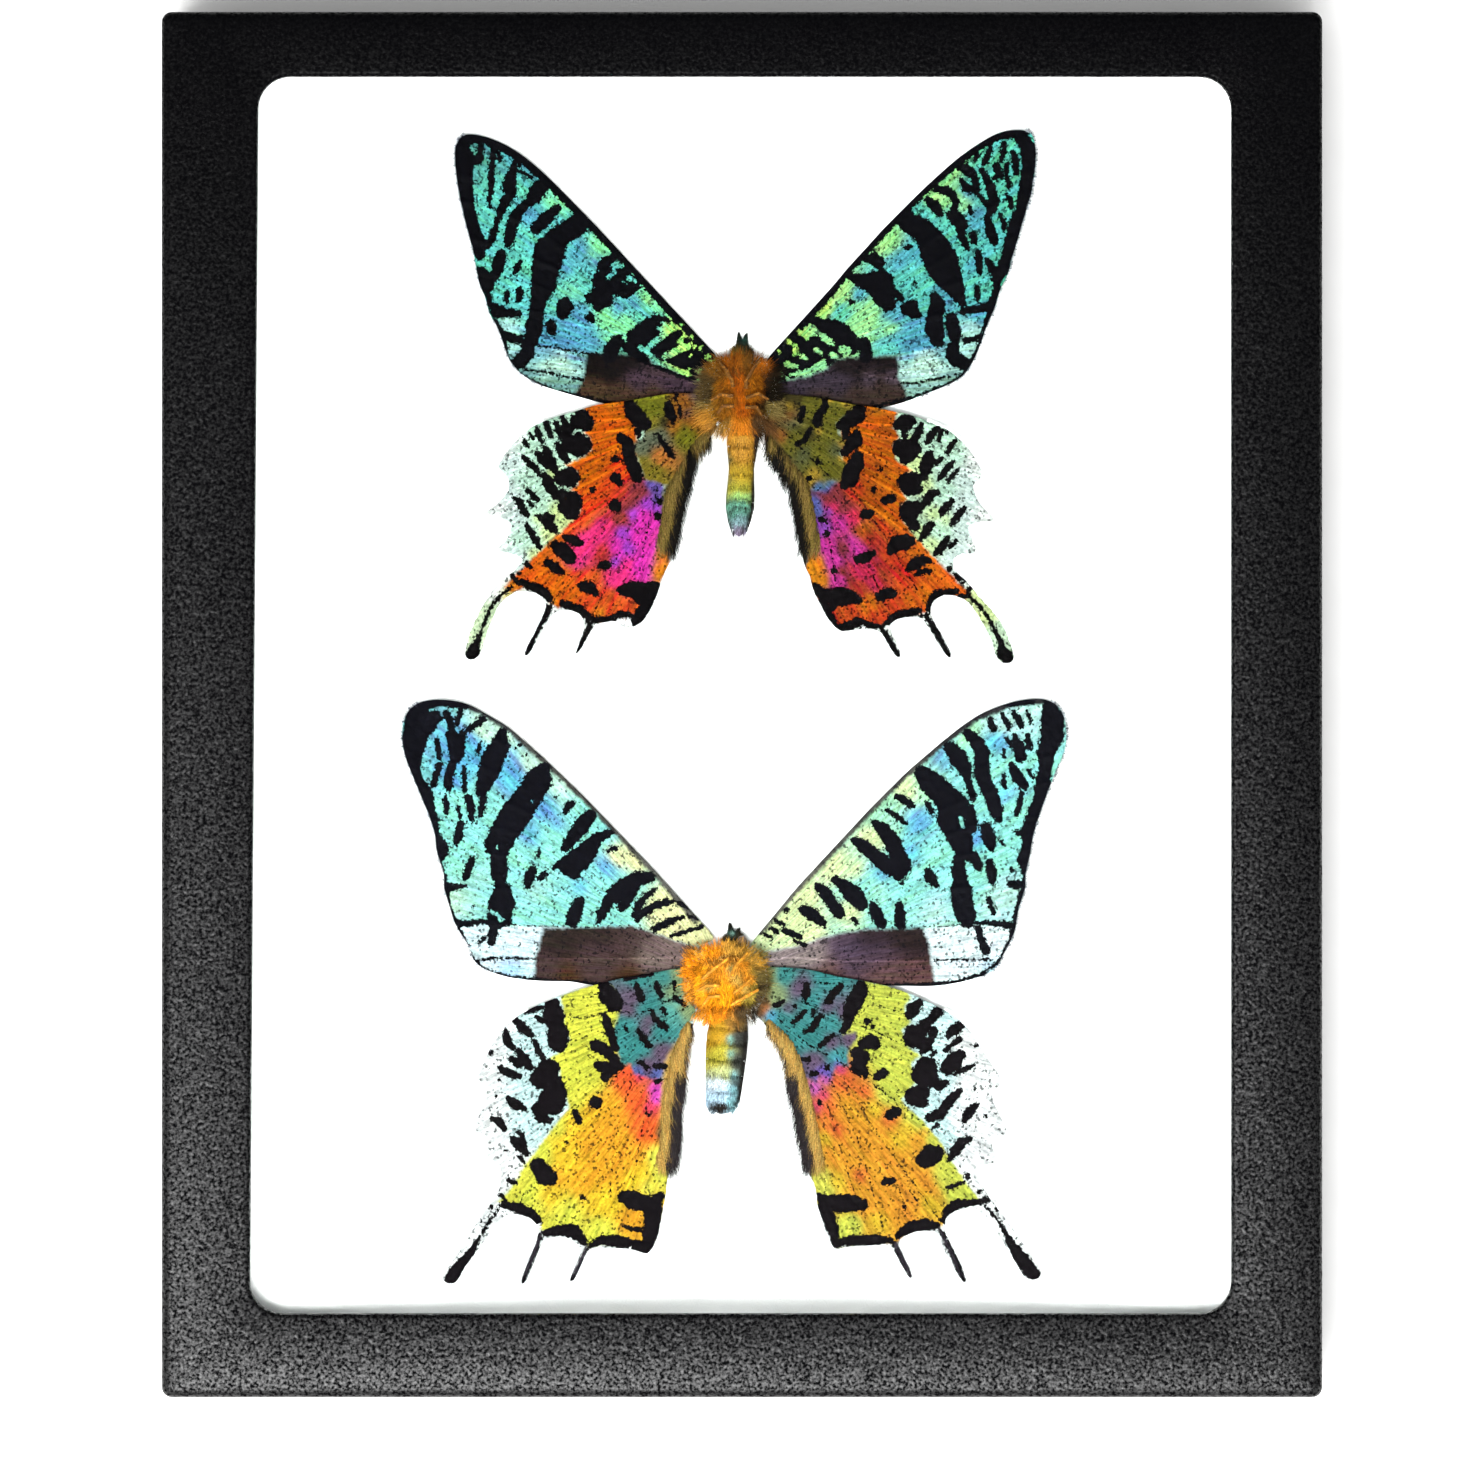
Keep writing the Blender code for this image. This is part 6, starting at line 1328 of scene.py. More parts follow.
# Upper moth, right forewing
# The markings of the other side, with wider black bars and a greener ground.
make_wing(
    "upper_moth", "right_forewing", upper_forewing_scales,
    black=[
        [(8.3, 9, 0.55), (12.6, 13.8, 0.5), (15, 16.7, 0.5), (20, 22.2, 0.5), (25, 27.2, 0.5),
        (30, 31.7, 0.5), (32.5, 33.5, 0.5), (35, 35, 0.5), (38, 35.9, 0.5), (39.5, 35.8, 0.5)],
        [(3, 3.4, 0.7), (5, 5.4, 0.8), (8.3, 9, 0.6)], [(38.5, 35.5, 0.8), (39.9, 34, 1),
        (40, 32, 1), (39.9, 30, 0.9), (39.5, 27.5, 0.9), (39.2, 25.5, 0.9), (38.4, 23.5, 1),
        (37.8, 21.5, 1), (37.3, 19.8, 0.9), (36.8, 18.3, 0.7), (36.5, 17, 0.9), (35.6, 15.9, 0.8),
        (35.7, 14.2, 0.4), (35, 11.8, 0.4), (34, 9.2, 0.3), (33.2, 6.5, 0.3), (32, 3.6, 0.4)],
        [(32.9, 33, 0.4), (32.6, 32, 0.3)], [(34.8, 33.9, 0.25), (34.3, 32.7, 0.5),
        (33.9, 31.7, 0.4)], [(36.6, 34.5, 0.3), (36.5, 33, 0.4), (36.2, 31.8, 0.3)],
        [(35.6, 31.2, 0.6), (36, 30, 0.5), (35.2, 29.6, 0.3)], [(37.9, 33, 0.5), (38.2, 31.8, 0.5),
        (38.3, 30.2, 0.35)], [(36.9, 31.4, 0.35), (37, 29.8, 0.35), (37.3, 28.6, 0.4)],
        [(33.5, 30.7, 0.4), (34.2, 29.7, 0.5), (34.8, 28.3, 0.6), (35.3, 26.5, 0.8),
        (34.8, 25, 0.6), (34.3, 24.3, 0.35), (34.5, 23.2, 0.6), (34.9, 21.8, 0.8),
        (35.3, 20.7, 0.5)], [(32.8, 27.6, 0.3), (33.6, 26.6, 0.35), (34.4, 25.9, 0.4)],
        [(30.5, 31.3, 0.6), (31.4, 30.8, 0.8), (32.2, 30.1, 0.7), (32.7, 29, 0.6), (32.9, 28, 0.5),
        (32.3, 28, 0.5), (31.3, 28.3, 0.6), (30.8, 29.3, 0.35)], [(27.3, 28.1, 0.45),
        (28.6, 27.9, 0.6), (29.5, 27.2, 0.6), (29.9, 26.2, 0.5), (29.6, 25, 0.5),
        (29.5, 24.1, 0.75), (30.3, 23.8, 1), (30.9, 23, 0.8), (30.6, 22.2, 0.6), (30.9, 21.2, 0.6),
        (31.4, 20.3, 0.5), (31.6, 19.8, 0.3)], [(26.2, 26.5, 0.5), (27, 25.9, 0.8),
        (27.4, 25.2, 0.7), (27.9, 24.7, 0.5)], [(31.9, 25.6, 0.35), (32, 24.8, 0.3)],
        [(32.3, 21.8, 0.5), (32.4, 21.1, 0.5), (32.5, 20.6, 0.35)], [(37, 27.2, 0.3),
        (37.5, 26.3, 0.5), (37.6, 25.5, 0.3)], [(36, 24.5, 0.3), (36.6, 23.4, 0.4),
        (36.6, 22.5, 0.3)], [(23.3, 23.6, 1.4), (25.5, 22.3, 1.6), (26.6, 20.8, 1.9),
        (27.3, 19.2, 2.3), (28.1, 17.6, 2.3), (28.9, 16, 1.9), (29.8, 14.6, 1.4), (30.4, 13.3, 0.9),
        (30.8, 12.2, 0.5)], [(23.6, 20.2, 0.4), (22.9, 19.8, 0.2)], [(34.2, 18.3, 0.3),
        (34.6, 17.6, 0.6), (35.2, 16.6, 0.6), (35.8, 15.9, 0.6)], [(33, 19.3, 0.4),
        (33.1, 18.3, 0.55), (33.2, 17.3, 0.5), (33.2, 16.3, 0.3)], [(32.9, 14.6, 0.35),
        (32.9, 13.5, 0.4), (33, 12.7, 0.3)], [(35.3, 14, 0.3), (35, 12.8, 0.5), (34.6, 11.8, 0.7),
        (33, 11.5, 0.5), (31.5, 11.3, 0.5), (30.9, 11.2, 0.5)], [(29.3, 10.3, 0.8), (29.5, 9.3, 1),
        (29.8, 8, 0.9), (29.9, 7, 0.6), (29.6, 6, 0.9), (29.6, 4.9, 1), (30.3, 4.3, 1),
        (31.2, 3.9, 0.8), (31.8, 3.6, 0.4)], [(27, 13.3, 0.6), (27.4, 12.3, 1), (27.3, 11.2, 1.1),
        (27, 10, 1.2), (27, 8.8, 1.3), (27.2, 7.8, 1.1), (27.4, 7.1, 0.8), (28, 6.6, 0.4)],
        [(24, 11.8, 0.9), (23.2, 11.5, 0.9), (24.4, 10.9, 0.8), (24, 11.2, 1)], [(21.5, 13.8, 0.5),
        (22.4, 13, 0.5)], [(15.5, 16, 0.6), (16.9, 15.3, 0.9), (18.3, 15.2, 1.5), (19.8, 15.3, 1.6),
        (20.3, 14.5, 1.2), (19.3, 13.8, 1.2), (19.9, 12.8, 1.2), (20.7, 12.3, 1),
        (20.3, 11.6, 0.5)], [(17.5, 18.5, 0.5), (18.7, 18.4, 0.9), (19.3, 17.9, 0.9),
        (19.5, 17.2, 0.5)], [(10.3, 10, 0.5), (11.5, 9.3, 0.9), (13, 8.9, 1.1), (14.3, 8.3, 1.2),
        (15.3, 7.3, 1), (16, 6.4, 0.9), (17.3, 6.8, 0.8), (17.6, 5.7, 0.8), (17.5, 5, 0.9)],
        [(15.6, 12.5, 0.4), (15.3, 12.9, 0.2)], [(24.4, 15.1, 0.3), (24.5, 14.6, 0.2)],
        [(4.5, 3, 1), (7, 4.8, 1.3), (9, 6, 1.2), (11.5, 7.2, 1.1), (14, 7.2, 0.9)], [(6, 5.2, 1),
        (8, 7.2, 0.9)], [(8, 3.4, 0.9), (10.5, 4.6, 1.1), (13, 5.7, 1.2), (15.5, 6, 0.8)],
        [(4, 2.2, 0.8), (7, 2.7, 0.8), (10, 3.4, 0.7), (12.5, 4.6, 0.6)], [(31.2, 7.1, 0.4),
        (32.5, 7.3, 0.4), (33.4, 7.9, 0.3)], [(32, 3.6, 0.3), (31, 2.3, 0.25), (29, 1.2, 0.2),
        (26, 0, 0.2), (23, -1, 0.2), (18, -2.2, 0.2), (8, -1.8, 0.2)], [(22.5, 1.2, 0.12),
        (25, 1.4, 0.12), (28, 1.9, 0.12), (30.5, 2.6, 0.12)],
    ],
    clear=[
        [(31.7, 29.5, 0.35)], [(28.4, 8.5, 0.25), (28.7, 7.6, 0.3)], [(16.8, 17.2, 0.5),
        (17.5, 16.7, 0.4)], [(8.3, 8.4, 0.4), (9.2, 8, 0.35), (9.4, 7.3, 0.2)], [(6.8, 7, 0.45)],
        [(7.6, 6.4, 0.35), (7.8, 5.5, 0.5)], [(5.5, 5.6, 0.3)], [(8.6, 5.1, 0.4), (9.3, 4.6, 0.3)],
        [(10.5, 8.8, 0.2), (11.2, 8, 0.3), (12.3, 7.1, 0.6), (13, 6.6, 0.3)], [(10.7, 5.9, 0.4),
        (11.3, 5.3, 0.3)], [(14.2, 5.9, 0.6), (15.2, 5.8, 0.4), (14.6, 5, 0.3)], [(12.7, 5.2, 0.5),
        (13.5, 4.9, 0.3)], [(6.6, 4, 0.5), (8, 3.4, 0.3)], [(5.7, 2.6, 0.4)], [(6.6, 1.9, 0.35)],
        [(7.2, 2.4, 0.3), (8.5, 2.7, 0.4), (10, 3, 0.5), (11.6, 4, 0.6)],
    ],
    ground={
        "#57BBAA": [(30, 20, 2), (34, 28, 1.5), (23, 15.5, 1.5), (31.5, 15, 1.5), (36, 24, 1),
            (25, 25, 1), (14, 11, 1)],
        "#4E9DB2": [(22.5, 18, 1), (24, 19, 1), (21.5, 10.2, 1), (24, 8, 1), (22, 7.3, 1),
            (33, 24, 1), (31.5, 27.5, 0.8), (32, 17.5, 1), (28.8, 13.5, 0.7), (33, 10.5, 0.8),
            (16.5, 13.5, 0.6)],
        "#96D983": [(28.5, 30.2, 1), (26.5, 27, 0.8), (20.5, 21, 1), (14, 13.8, 1),
            (31, 26.5, 0.8)], "#A6D964": [(12, 11.8, 0.8), (6.8, 7, 0.8), (7.5, 5.5, 0.7)],
        "#8FD98B": [(17.5, 10.8, 1), (16, 9, 1), (21, 9, 0.8), (12.5, 5.5, 1), (9, 4, 1)],
        "#5FC2B2": [(21, 6, 0.8), (24, 17, 0.8)], "#A6D9D0": [(32.3, 8.9, 0.6), (32, 5.3, 0.6)],
    },
    zones=[
        ([(1.5, 1.5), (5, 1.5), (8, 2), (10, 2.4), (12, 3.2), (13, 4.5), (14.5, 4.8), (21.8, 5.1),
          (28.5, 6.3), (30.5, 5.5), (33, 4), (30, 0), (24, -2), (3, -3)], 0.4, {
            "#B5DED2": [(25, 3.2, 1.2), (27, 4, 1)], "#73B5BC": [(28, 5.2, 0.8), (23.5, 4.8, 0.6)],
            "#81AEA3": [(25, 0.6, 1), (29, 1.4, 0.8)],
        }),
        ([(1.5, 1.5), (5, 1.5), (8, 2), (10, 2.4), (12, 3.2), (13, 4.5), (14.5, 4.8), (21.8, 5.1),
          (22.2, 3.5), (22, 2), (23, 0.3), (23.2, -2), (3, -3.5)], 0.5, {
            "#1A1314": [(20, 4, 1), (17, 3.8, 1.2), (14.5, 3.6, 1)],
            "#382E39": [(11, 1.6, 1), (14, 1.6, 1), (8, 0.6, 1)],
            "#382A24": [(20, 0, 1.2), (16, -0.8, 1), (11, -1, 1)],
            "#443740": [(18, 2, 0.7), (21, 1.9, 0.7)],
        }),
    ],
    bright=[
        [(14.5, 4.4, 0), (18, 2.3, 0.05), (22, 1.7, 0.02)], [(16.5, 8, 0), (20, 8.6, 0.02),
        (25, 9.2, 0)],
    ],
    dark_veins=[
        [(20, 9.2, 0.04), (25, 10.2, 0.05), (31, 11.2, 0.06)], [(25, 13.2, 0.04), (30, 15.2, 0.05),
        (34.5, 16.4, 0.08), (37, 17, 0.1)], [(25, 16.8, 0.04), (30.5, 19.6, 0.05), (35, 20.6, 0.06),
        (38.2, 21.4, 0.1)], [(25, 20, 0.05), (31, 24, 0.06), (36, 26.2, 0.07), (39.7, 27.2, 0.1)],
        [(29, 25, 0.04), (34, 28.4, 0.05), (40, 30.6, 0.08)], [(32, 32, 0.04), (37, 34.4, 0.05)],
    ],
)


# Upper moth, left hindwing
# Olive and gold hair-like scales at the base, then an orange to magenta fan with a violet
# gleam, black spots and dashes, and a mint green to white border.
make_wing(
    "upper_moth", "left_hindwing", upper_hindwing_scales,
    black=[
        [(-15.3, -1.5, 0.6), (-14.8, -2.7, 1.1), (-14, -3.8, 1.1), (-13.2, -4.4, 0.9)],
        [(-14.1, -5.4, 0.5), (-13.9, -6, 0.3)], [(-16.5, -6.3, 0.6), (-15.6, -7, 0.7),
        (-15.4, -8.3, 0.8), (-15.1, -9.7, 0.8), (-14.5, -10.8, 0.9), (-14.1, -11.8, 0.7)],
        [(-17.3, -9.3, 0.5), (-16.8, -9.4, 0.3)], [(-17.2, -11.9, 0.7), (-16.6, -12.6, 0.4)],
        [(-17.4, -15.7, 0.75), (-16.9, -16, 0.5)], [(-20.3, -13.5, 0.35)], [(-11.3, -17.2, 0.5)],
        [(-11, -15.2, 0.35)], [(-21.8, -3.4, 1), (-21.3, -4.3, 1.1), (-22.6, -4, 0.9)],
        [(-22.3, -6, 0.5)], [(-22.3, -7.4, 1.5), (-23.4, -7.2, 1.3), (-21.6, -7.3, 1.1)],
        [(-23.3, -5, 0.5), (-24, -5.8, 0.5)], [(-23.6, -11.8, 1.4), (-24.8, -12, 0.9),
        (-22.9, -11.8, 0.8)], [(-23.4, -15.2, 1.6), (-24.5, -14.4, 0.8), (-23.2, -16.7, 1),
        (-24.6, -16, 0.6)], [(-24.5, -3.5, 0.25), (-24.1, -4.5, 0.5), (-24, -5.5, 0.5),
        (-24.6, -6, 0.3)], [(-25.5, -4.3, 0.3), (-25, -5.5, 0.35), (-24.6, -6.3, 0.3)],
        [(-27, -4, 0.25), (-26.5, -5, 0.4), (-26.1, -6, 0.35)], [(-28.1, -5, 0.2),
        (-27.8, -6, 0.35), (-27.3, -7, 0.25)], [(-29, -5.8, 0.2), (-28.6, -6.5, 0.25)],
        [(-29.8, -6.8, 0.25), (-29.4, -7.5, 0.25)], [(-25.2, -7.3, 0.35), (-24.7, -8.2, 0.6),
        (-24, -9.3, 0.5), (-23.8, -9.8, 0.2)], [(-26.9, -7.8, 0.35), (-26.6, -8.8, 0.7),
        (-26.1, -9.8, 0.7), (-25.6, -10.7, 0.5)], [(-28, -8.5, 0.3), (-27.4, -9.3, 0.6),
        (-26.5, -10, 0.7)], [(-30, -9, 0.25), (-29, -9.9, 0.35), (-28.2, -10.7, 0.4),
        (-27.6, -11.5, 0.25)], [(-27, -11.6, 0.4), (-26.5, -12.5, 0.8), (-25.9, -13.5, 0.7),
        (-25.4, -14.4, 0.4)], [(-29.4, -13.5, 0.2), (-28.7, -14.3, 0.35), (-28, -14.9, 0.3)],
        [(-29.2, -15.3, 0.2), (-28.7, -15.8, 0.2)], [(-31.2, -14.6, 0.25), (-30.4, -15.4, 0.45),
        (-29.9, -16.4, 0.5), (-29.4, -17, 0.3)], [(-27.8, -17.2, 0.3), (-27, -17.8, 0.5),
        (-26.2, -18.5, 0.7), (-25.5, -19.3, 0.4)], [(-26.8, -17, 0.3), (-26, -17.4, 0.4)],
        [(-29.4, -18.6, 0.35), (-28.8, -19.5, 0.45), (-28.2, -20.6, 0.45), (-27.6, -21.6, 0.25)],
        [(-24.3, -20.1, 0.3), (-23, -20.5, 0.7), (-22.2, -20.9, 0.5)], [(-25.6, -21.2, 0.6),
        (-24.5, -22, 1), (-23.5, -22.9, 0.9)], [(-26.6, -23.6, 0.5), (-25.6, -24.3, 0.7),
        (-24.6, -24.9, 0.4)], [(-19.4, -24.1, 0.3), (-18.8, -24, 0.6), (-18.2, -24, 0.5)],
        [(-21.6, -26.9, 0.7), (-20.5, -27.3, 0.75), (-19.9, -27.9, 0.4)], [(-16.3, -27.4, 0.6),
        (-15.3, -27.4, 1), (-14.2, -27.5, 1.2), (-13, -27.6, 1), (-12, -27, 0.8),
        (-11.5, -26.8, 0.5)], [(-12.3, -28.3, 0.9), (-12.7, -29.5, 1), (-13.4, -30.7, 1),
        (-14.2, -31.7, 0.8)], [(-14.2, -28.5, 0.6)], [(-30, -26.3, 0.4), (-29.2, -26.8, 0.5),
        (-28, -27.2, 0.6), (-27, -27.8, 0.6), (-26.3, -28.7, 0.4)], [(-24.4, -29.3, 0.4),
        (-23, -29.8, 0.5), (-21.8, -30.3, 0.5), (-20.8, -31.3, 0.4)], [(-20, -31.6, 0.4),
        (-18.5, -31.5, 0.4), (-17, -31.2, 0.5), (-16.5, -30.7, 0.4), (-15.3, -31, 0.5),
        (-14.4, -31.6, 0.7)], [(-17, -31.9, 0.3), (-16.2, -32.2, 0.3)], [(-29.5, -23.7, 0.35),
        (-28.9, -24.3, 0.2)], [(-31.5, -25.3, 0.25), (-31, -26, 0.25), (-30.5, -26.6, 0.25)],
        [(-30.6, -25.2, 0.2)], [(-26.3, -29.8, 0.35), (-27.2, -31.5, 0.35), (-28.3, -33.5, 0.4),
        (-29.3, -35.7, 0.35), (-29.8, -36.6, 0.2)], [(-21, -31.8, 0.25), (-20.8, -32.6, 0.3),
        (-21.4, -34, 0.35), (-22, -35, 0.3), (-22.6, -36, 0.2)], [(-31.5, -26.9, 0.15),
        (-33.3, -28.5, 0.15), (-34.5, -30, 0.15), (-35.3, -32, 0.17), (-36, -33.8, 0.2),
        (-36.4, -34.8, 0.4), (-36.8, -35.8, 0.8), (-37, -36.5, 0.9)], [(-9.9, -1.8, 0.5),
        (-9.7, -2.8, 0.7), (-9.2, -3.8, 0.5)], [(-8.7, -0.3, 0.3), (-8.8, -1, 0.25)],
        [(-8.3, -2, 0.2), (-8.2, -3.2, 0.2)], [(-11.1, -6.2, 0.3), (-10.6, -7, 0.3),
        (-10, -7.9, 0.4), (-9.3, -8.9, 0.35)],
    ],
    clear=[],
    ground={
        "#B3DAC2": [(-27, -5, 1.5), (-28, -8, 1.5), (-29, -12, 1.5), (-28, -16, 1.2),
            (-30, -20, 1.5)],
        "#C9DDD8": [(-31, -10, 1.2), (-32, -14, 1.2), (-31, -18, 1.2), (-31, -23, 1.2)],
        "#E1E5E3": [(-34, -15, 1.5), (-34, -20, 1.5), (-34, -26, 1.5), (-29, -33, 2),
            (-22.5, -34, 2), (-33, -8, 1), (-30.5, -6, 0.8)],
        "#C6DA90": [(-26, -11.3, 0.5), (-25.5, -16.5, 0.7), (-26.5, -19.5, 0.7),
            (-24.5, -17.6, 0.5), (-28, -17.5, 0.5), (-28.5, -22.5, 0.6)],
        "#C2D6AD": [(-34.3, -30.5, 0.8), (-36, -33, 0.8)], "#D8CB72": [(-32, -27.8, 0.6)],
    },
    zones=[
        ([(-16, -1), (-20, -1.6), (-21.9, -2.2), (-21, -3), (-20.2, -4.8), (-21.7, -5.6),
          (-20.7, -6.3), (-20.6, -8), (-21.6, -9), (-24.2, -10), (-22.4, -11), (-22.5, -12.8),
          (-23.4, -13.5), (-22.2, -14.3), (-22, -16.5), (-23.5, -18.2), (-25.5, -20), (-27.6, -22),
          (-29.5, -23.8), (-31.5, -25.8), (-32.5, -27), (-31.5, -27.8), (-29.5, -27), (-27, -28),
          (-26.2, -29.4), (-25, -30), (-24.5, -29.4), (-21.5, -30.5), (-20, -31.9), (-17, -31.8),
          (-15, -31.6), (-12.2, -29), (-11, -26.5), (-9.8, -24.5), (-9.6, -22), (-10.4, -19),
          (-10.6, -15), (-10.6, -12), (-13.3, -11.5), (-14, -11), (-14.4, -9), (-14, -6),
          (-14, -3)], 0.3, {
            "#A6620B": [(-18, -1.9, 0.6)],
            "#B95507": [(-18.5, -3.2, 1.2), (-18.3, -6.8, 1.5), (-20.5, -10, 1.2), (-21, -12.3, 1)],
            "#C63E0F": [(-16.3, -10.8, 0.7), (-19.5, -13.8, 1), (-20.8, -15.8, 1.2)],
            "#CD4316": [(-18, -13.5, 0.8), (-21.5, -17.5, 0.9), (-24, -19.2, 0.8)],
            "#B93020": [(-16.5, -14.3, 0.7), (-18.8, -17, 0.8), (-19, -22, 1)],
            "#DA2C79": [(-18.7, -18.3, 0.9), (-21, -21.5, 1), (-22.5, -23.5, 0.8), (-17, -26, 0.8),
                (-15.8, -24.5, 0.7), (-19.5, -20, 0.8)],
            "#CC2C9F": [(-17, -21.5, 0.8), (-14, -20, 0.7), (-12.5, -22, 0.7), (-13.8, -24.5, 0.7),
                (-13.5, -17.5, 0.7)],
            "#9238B1": [(-16.2, -19.5, 0.6), (-15.7, -21.5, 0.6), (-14.7, -17, 0.6),
                (-17.2, -23.5, 0.5), (-12.8, -15.5, 0.5), (-11.3, -15.8, 0.4)],
            "#5E4D9C": [(-11.3, -13.4, 0.5), (-12.3, -12.8, 0.4), (-11.5, -15, 0.4)],
            "#833033": [(-14, -13.8, 0.8), (-15.5, -15.5, 0.8), (-16.8, -17.5, 0.8)],
            "#973021": [(-16, -17.5, 0.6), (-19, -23, 0.7)],
            "#C65B0C": [(-23.8, -26.3, 1.5), (-27.5, -24.6, 1), (-25.5, -20.7, 0.7),
                (-26.5, -26.5, 1.2), (-29.5, -25.5, 0.8), (-24.5, -28.3, 1)],
            "#C6411A": [(-20.5, -25.7, 0.8), (-22.3, -25.5, 0.8), (-18, -28.5, 1),
                (-20.5, -29.5, 1), (-17.5, -30, 0.8), (-15, -30, 0.6)],
            "#C67215": [(-11, -22.5, 0.6), (-10.8, -24.8, 0.6), (-31.5, -26.8, 0.5),
                (-19.5, -30.5, 0.6), (-25.8, -29.2, 0.5)],
        }),
        ([(-2, 0.5), (-10, 0.3), (-15.5, -0.8), (-13.5, -4), (-13.4, -6.3), (-15, -7.2),
          (-14.4, -8.8), (-13.5, -11), (-13.2, -12.1), (-11.2, -12.7), (-9.6, -13), (-8.2, -11.8),
          (-6.8, -10.2), (-4.6, -7.6), (-3, -6)], 0.5, {
            "#666616": [(-12.5, -2.2, 1.2), (-7.8, -5.8, 0.8)],
            "#885216": [(-7.5, -1.8, 0.9), (-6.5, -3.5, 0.9), (-9, -4.8, 0.7)],
            "#AA6629": [(-11, -8.8, 0.8)], "#554642": [(-6, -0.5, 0.7), (-7, -2.8, 0.6)],
            "#59614E": [(-13.8, -7.8, 1), (-11.5, -6.2, 1)],
            "#786B1E": [(-13.5, -9.7, 0.8), (-11.8, -11, 0.7), (-12, -4.5, 0.7)],
            "#2D2816": [(-10.5, -4.3, 0.5)],
        }),
        ([(-2.5, -5), (-5, -7.4), (-7, -9.8), (-8.8, -11.6), (-10.4, -13), (-11, -15.5),
          (-10.9, -19), (-9.6, -22), (-9, -23.5), (-8.5, -24), (-5, -12), (-2.5, -6)], 0.5, {
            "#605324": [(-5, -7.6, 0.6), (-8.8, -13.5, 0.7), (-9.4, -20, 0.7)],
            "#2C2310": [(-7.8, -13.5, 0.5), (-8.4, -18, 0.5)],
        }),
    ],
    bright=[
        [(-21.5, -1.9, 0.05), (-16.7, -1.6, 0.05)], [(-19.8, -3.9, 0.05), (-16.5, -3.8, 0.05)],
        [(-21.5, -5.7, 0.05), (-15, -5.2, 0.05)], [(-23.5, -10, 0.05), (-16.7, -7.8, 0.05)],
        [(-23, -13.6, 0.03), (-16.3, -10.2, 0.03)], [(-25, -20, 0.03), (-18.5, -15.5, 0.03)],
        [(-14.3, -1.2, 0.1), (-9.8, -0.4, 0.1)],
    ],
    dark_veins=[
        [(-11.3, -13, 0.02), (-13, -20, 0.03), (-14, -26.5, 0.05)], [(-13.3, -12.6, 0.02),
        (-16, -20, 0.03), (-18.5, -27, 0.05), (-20.6, -31.5, 0.08)], [(-14.8, -12.6, 0.02),
        (-19, -19.5, 0.03), (-23.3, -25.5, 0.05), (-26, -29.5, 0.08)], [(-4, -4.5, 0.04),
        (-8.5, -8, 0.05), (-12.5, -11.6, 0.06)], [(-5, -2.2, 0.05), (-10.5, -5.2, 0.06),
        (-14.6, -7.6, 0.06)],
    ],
)


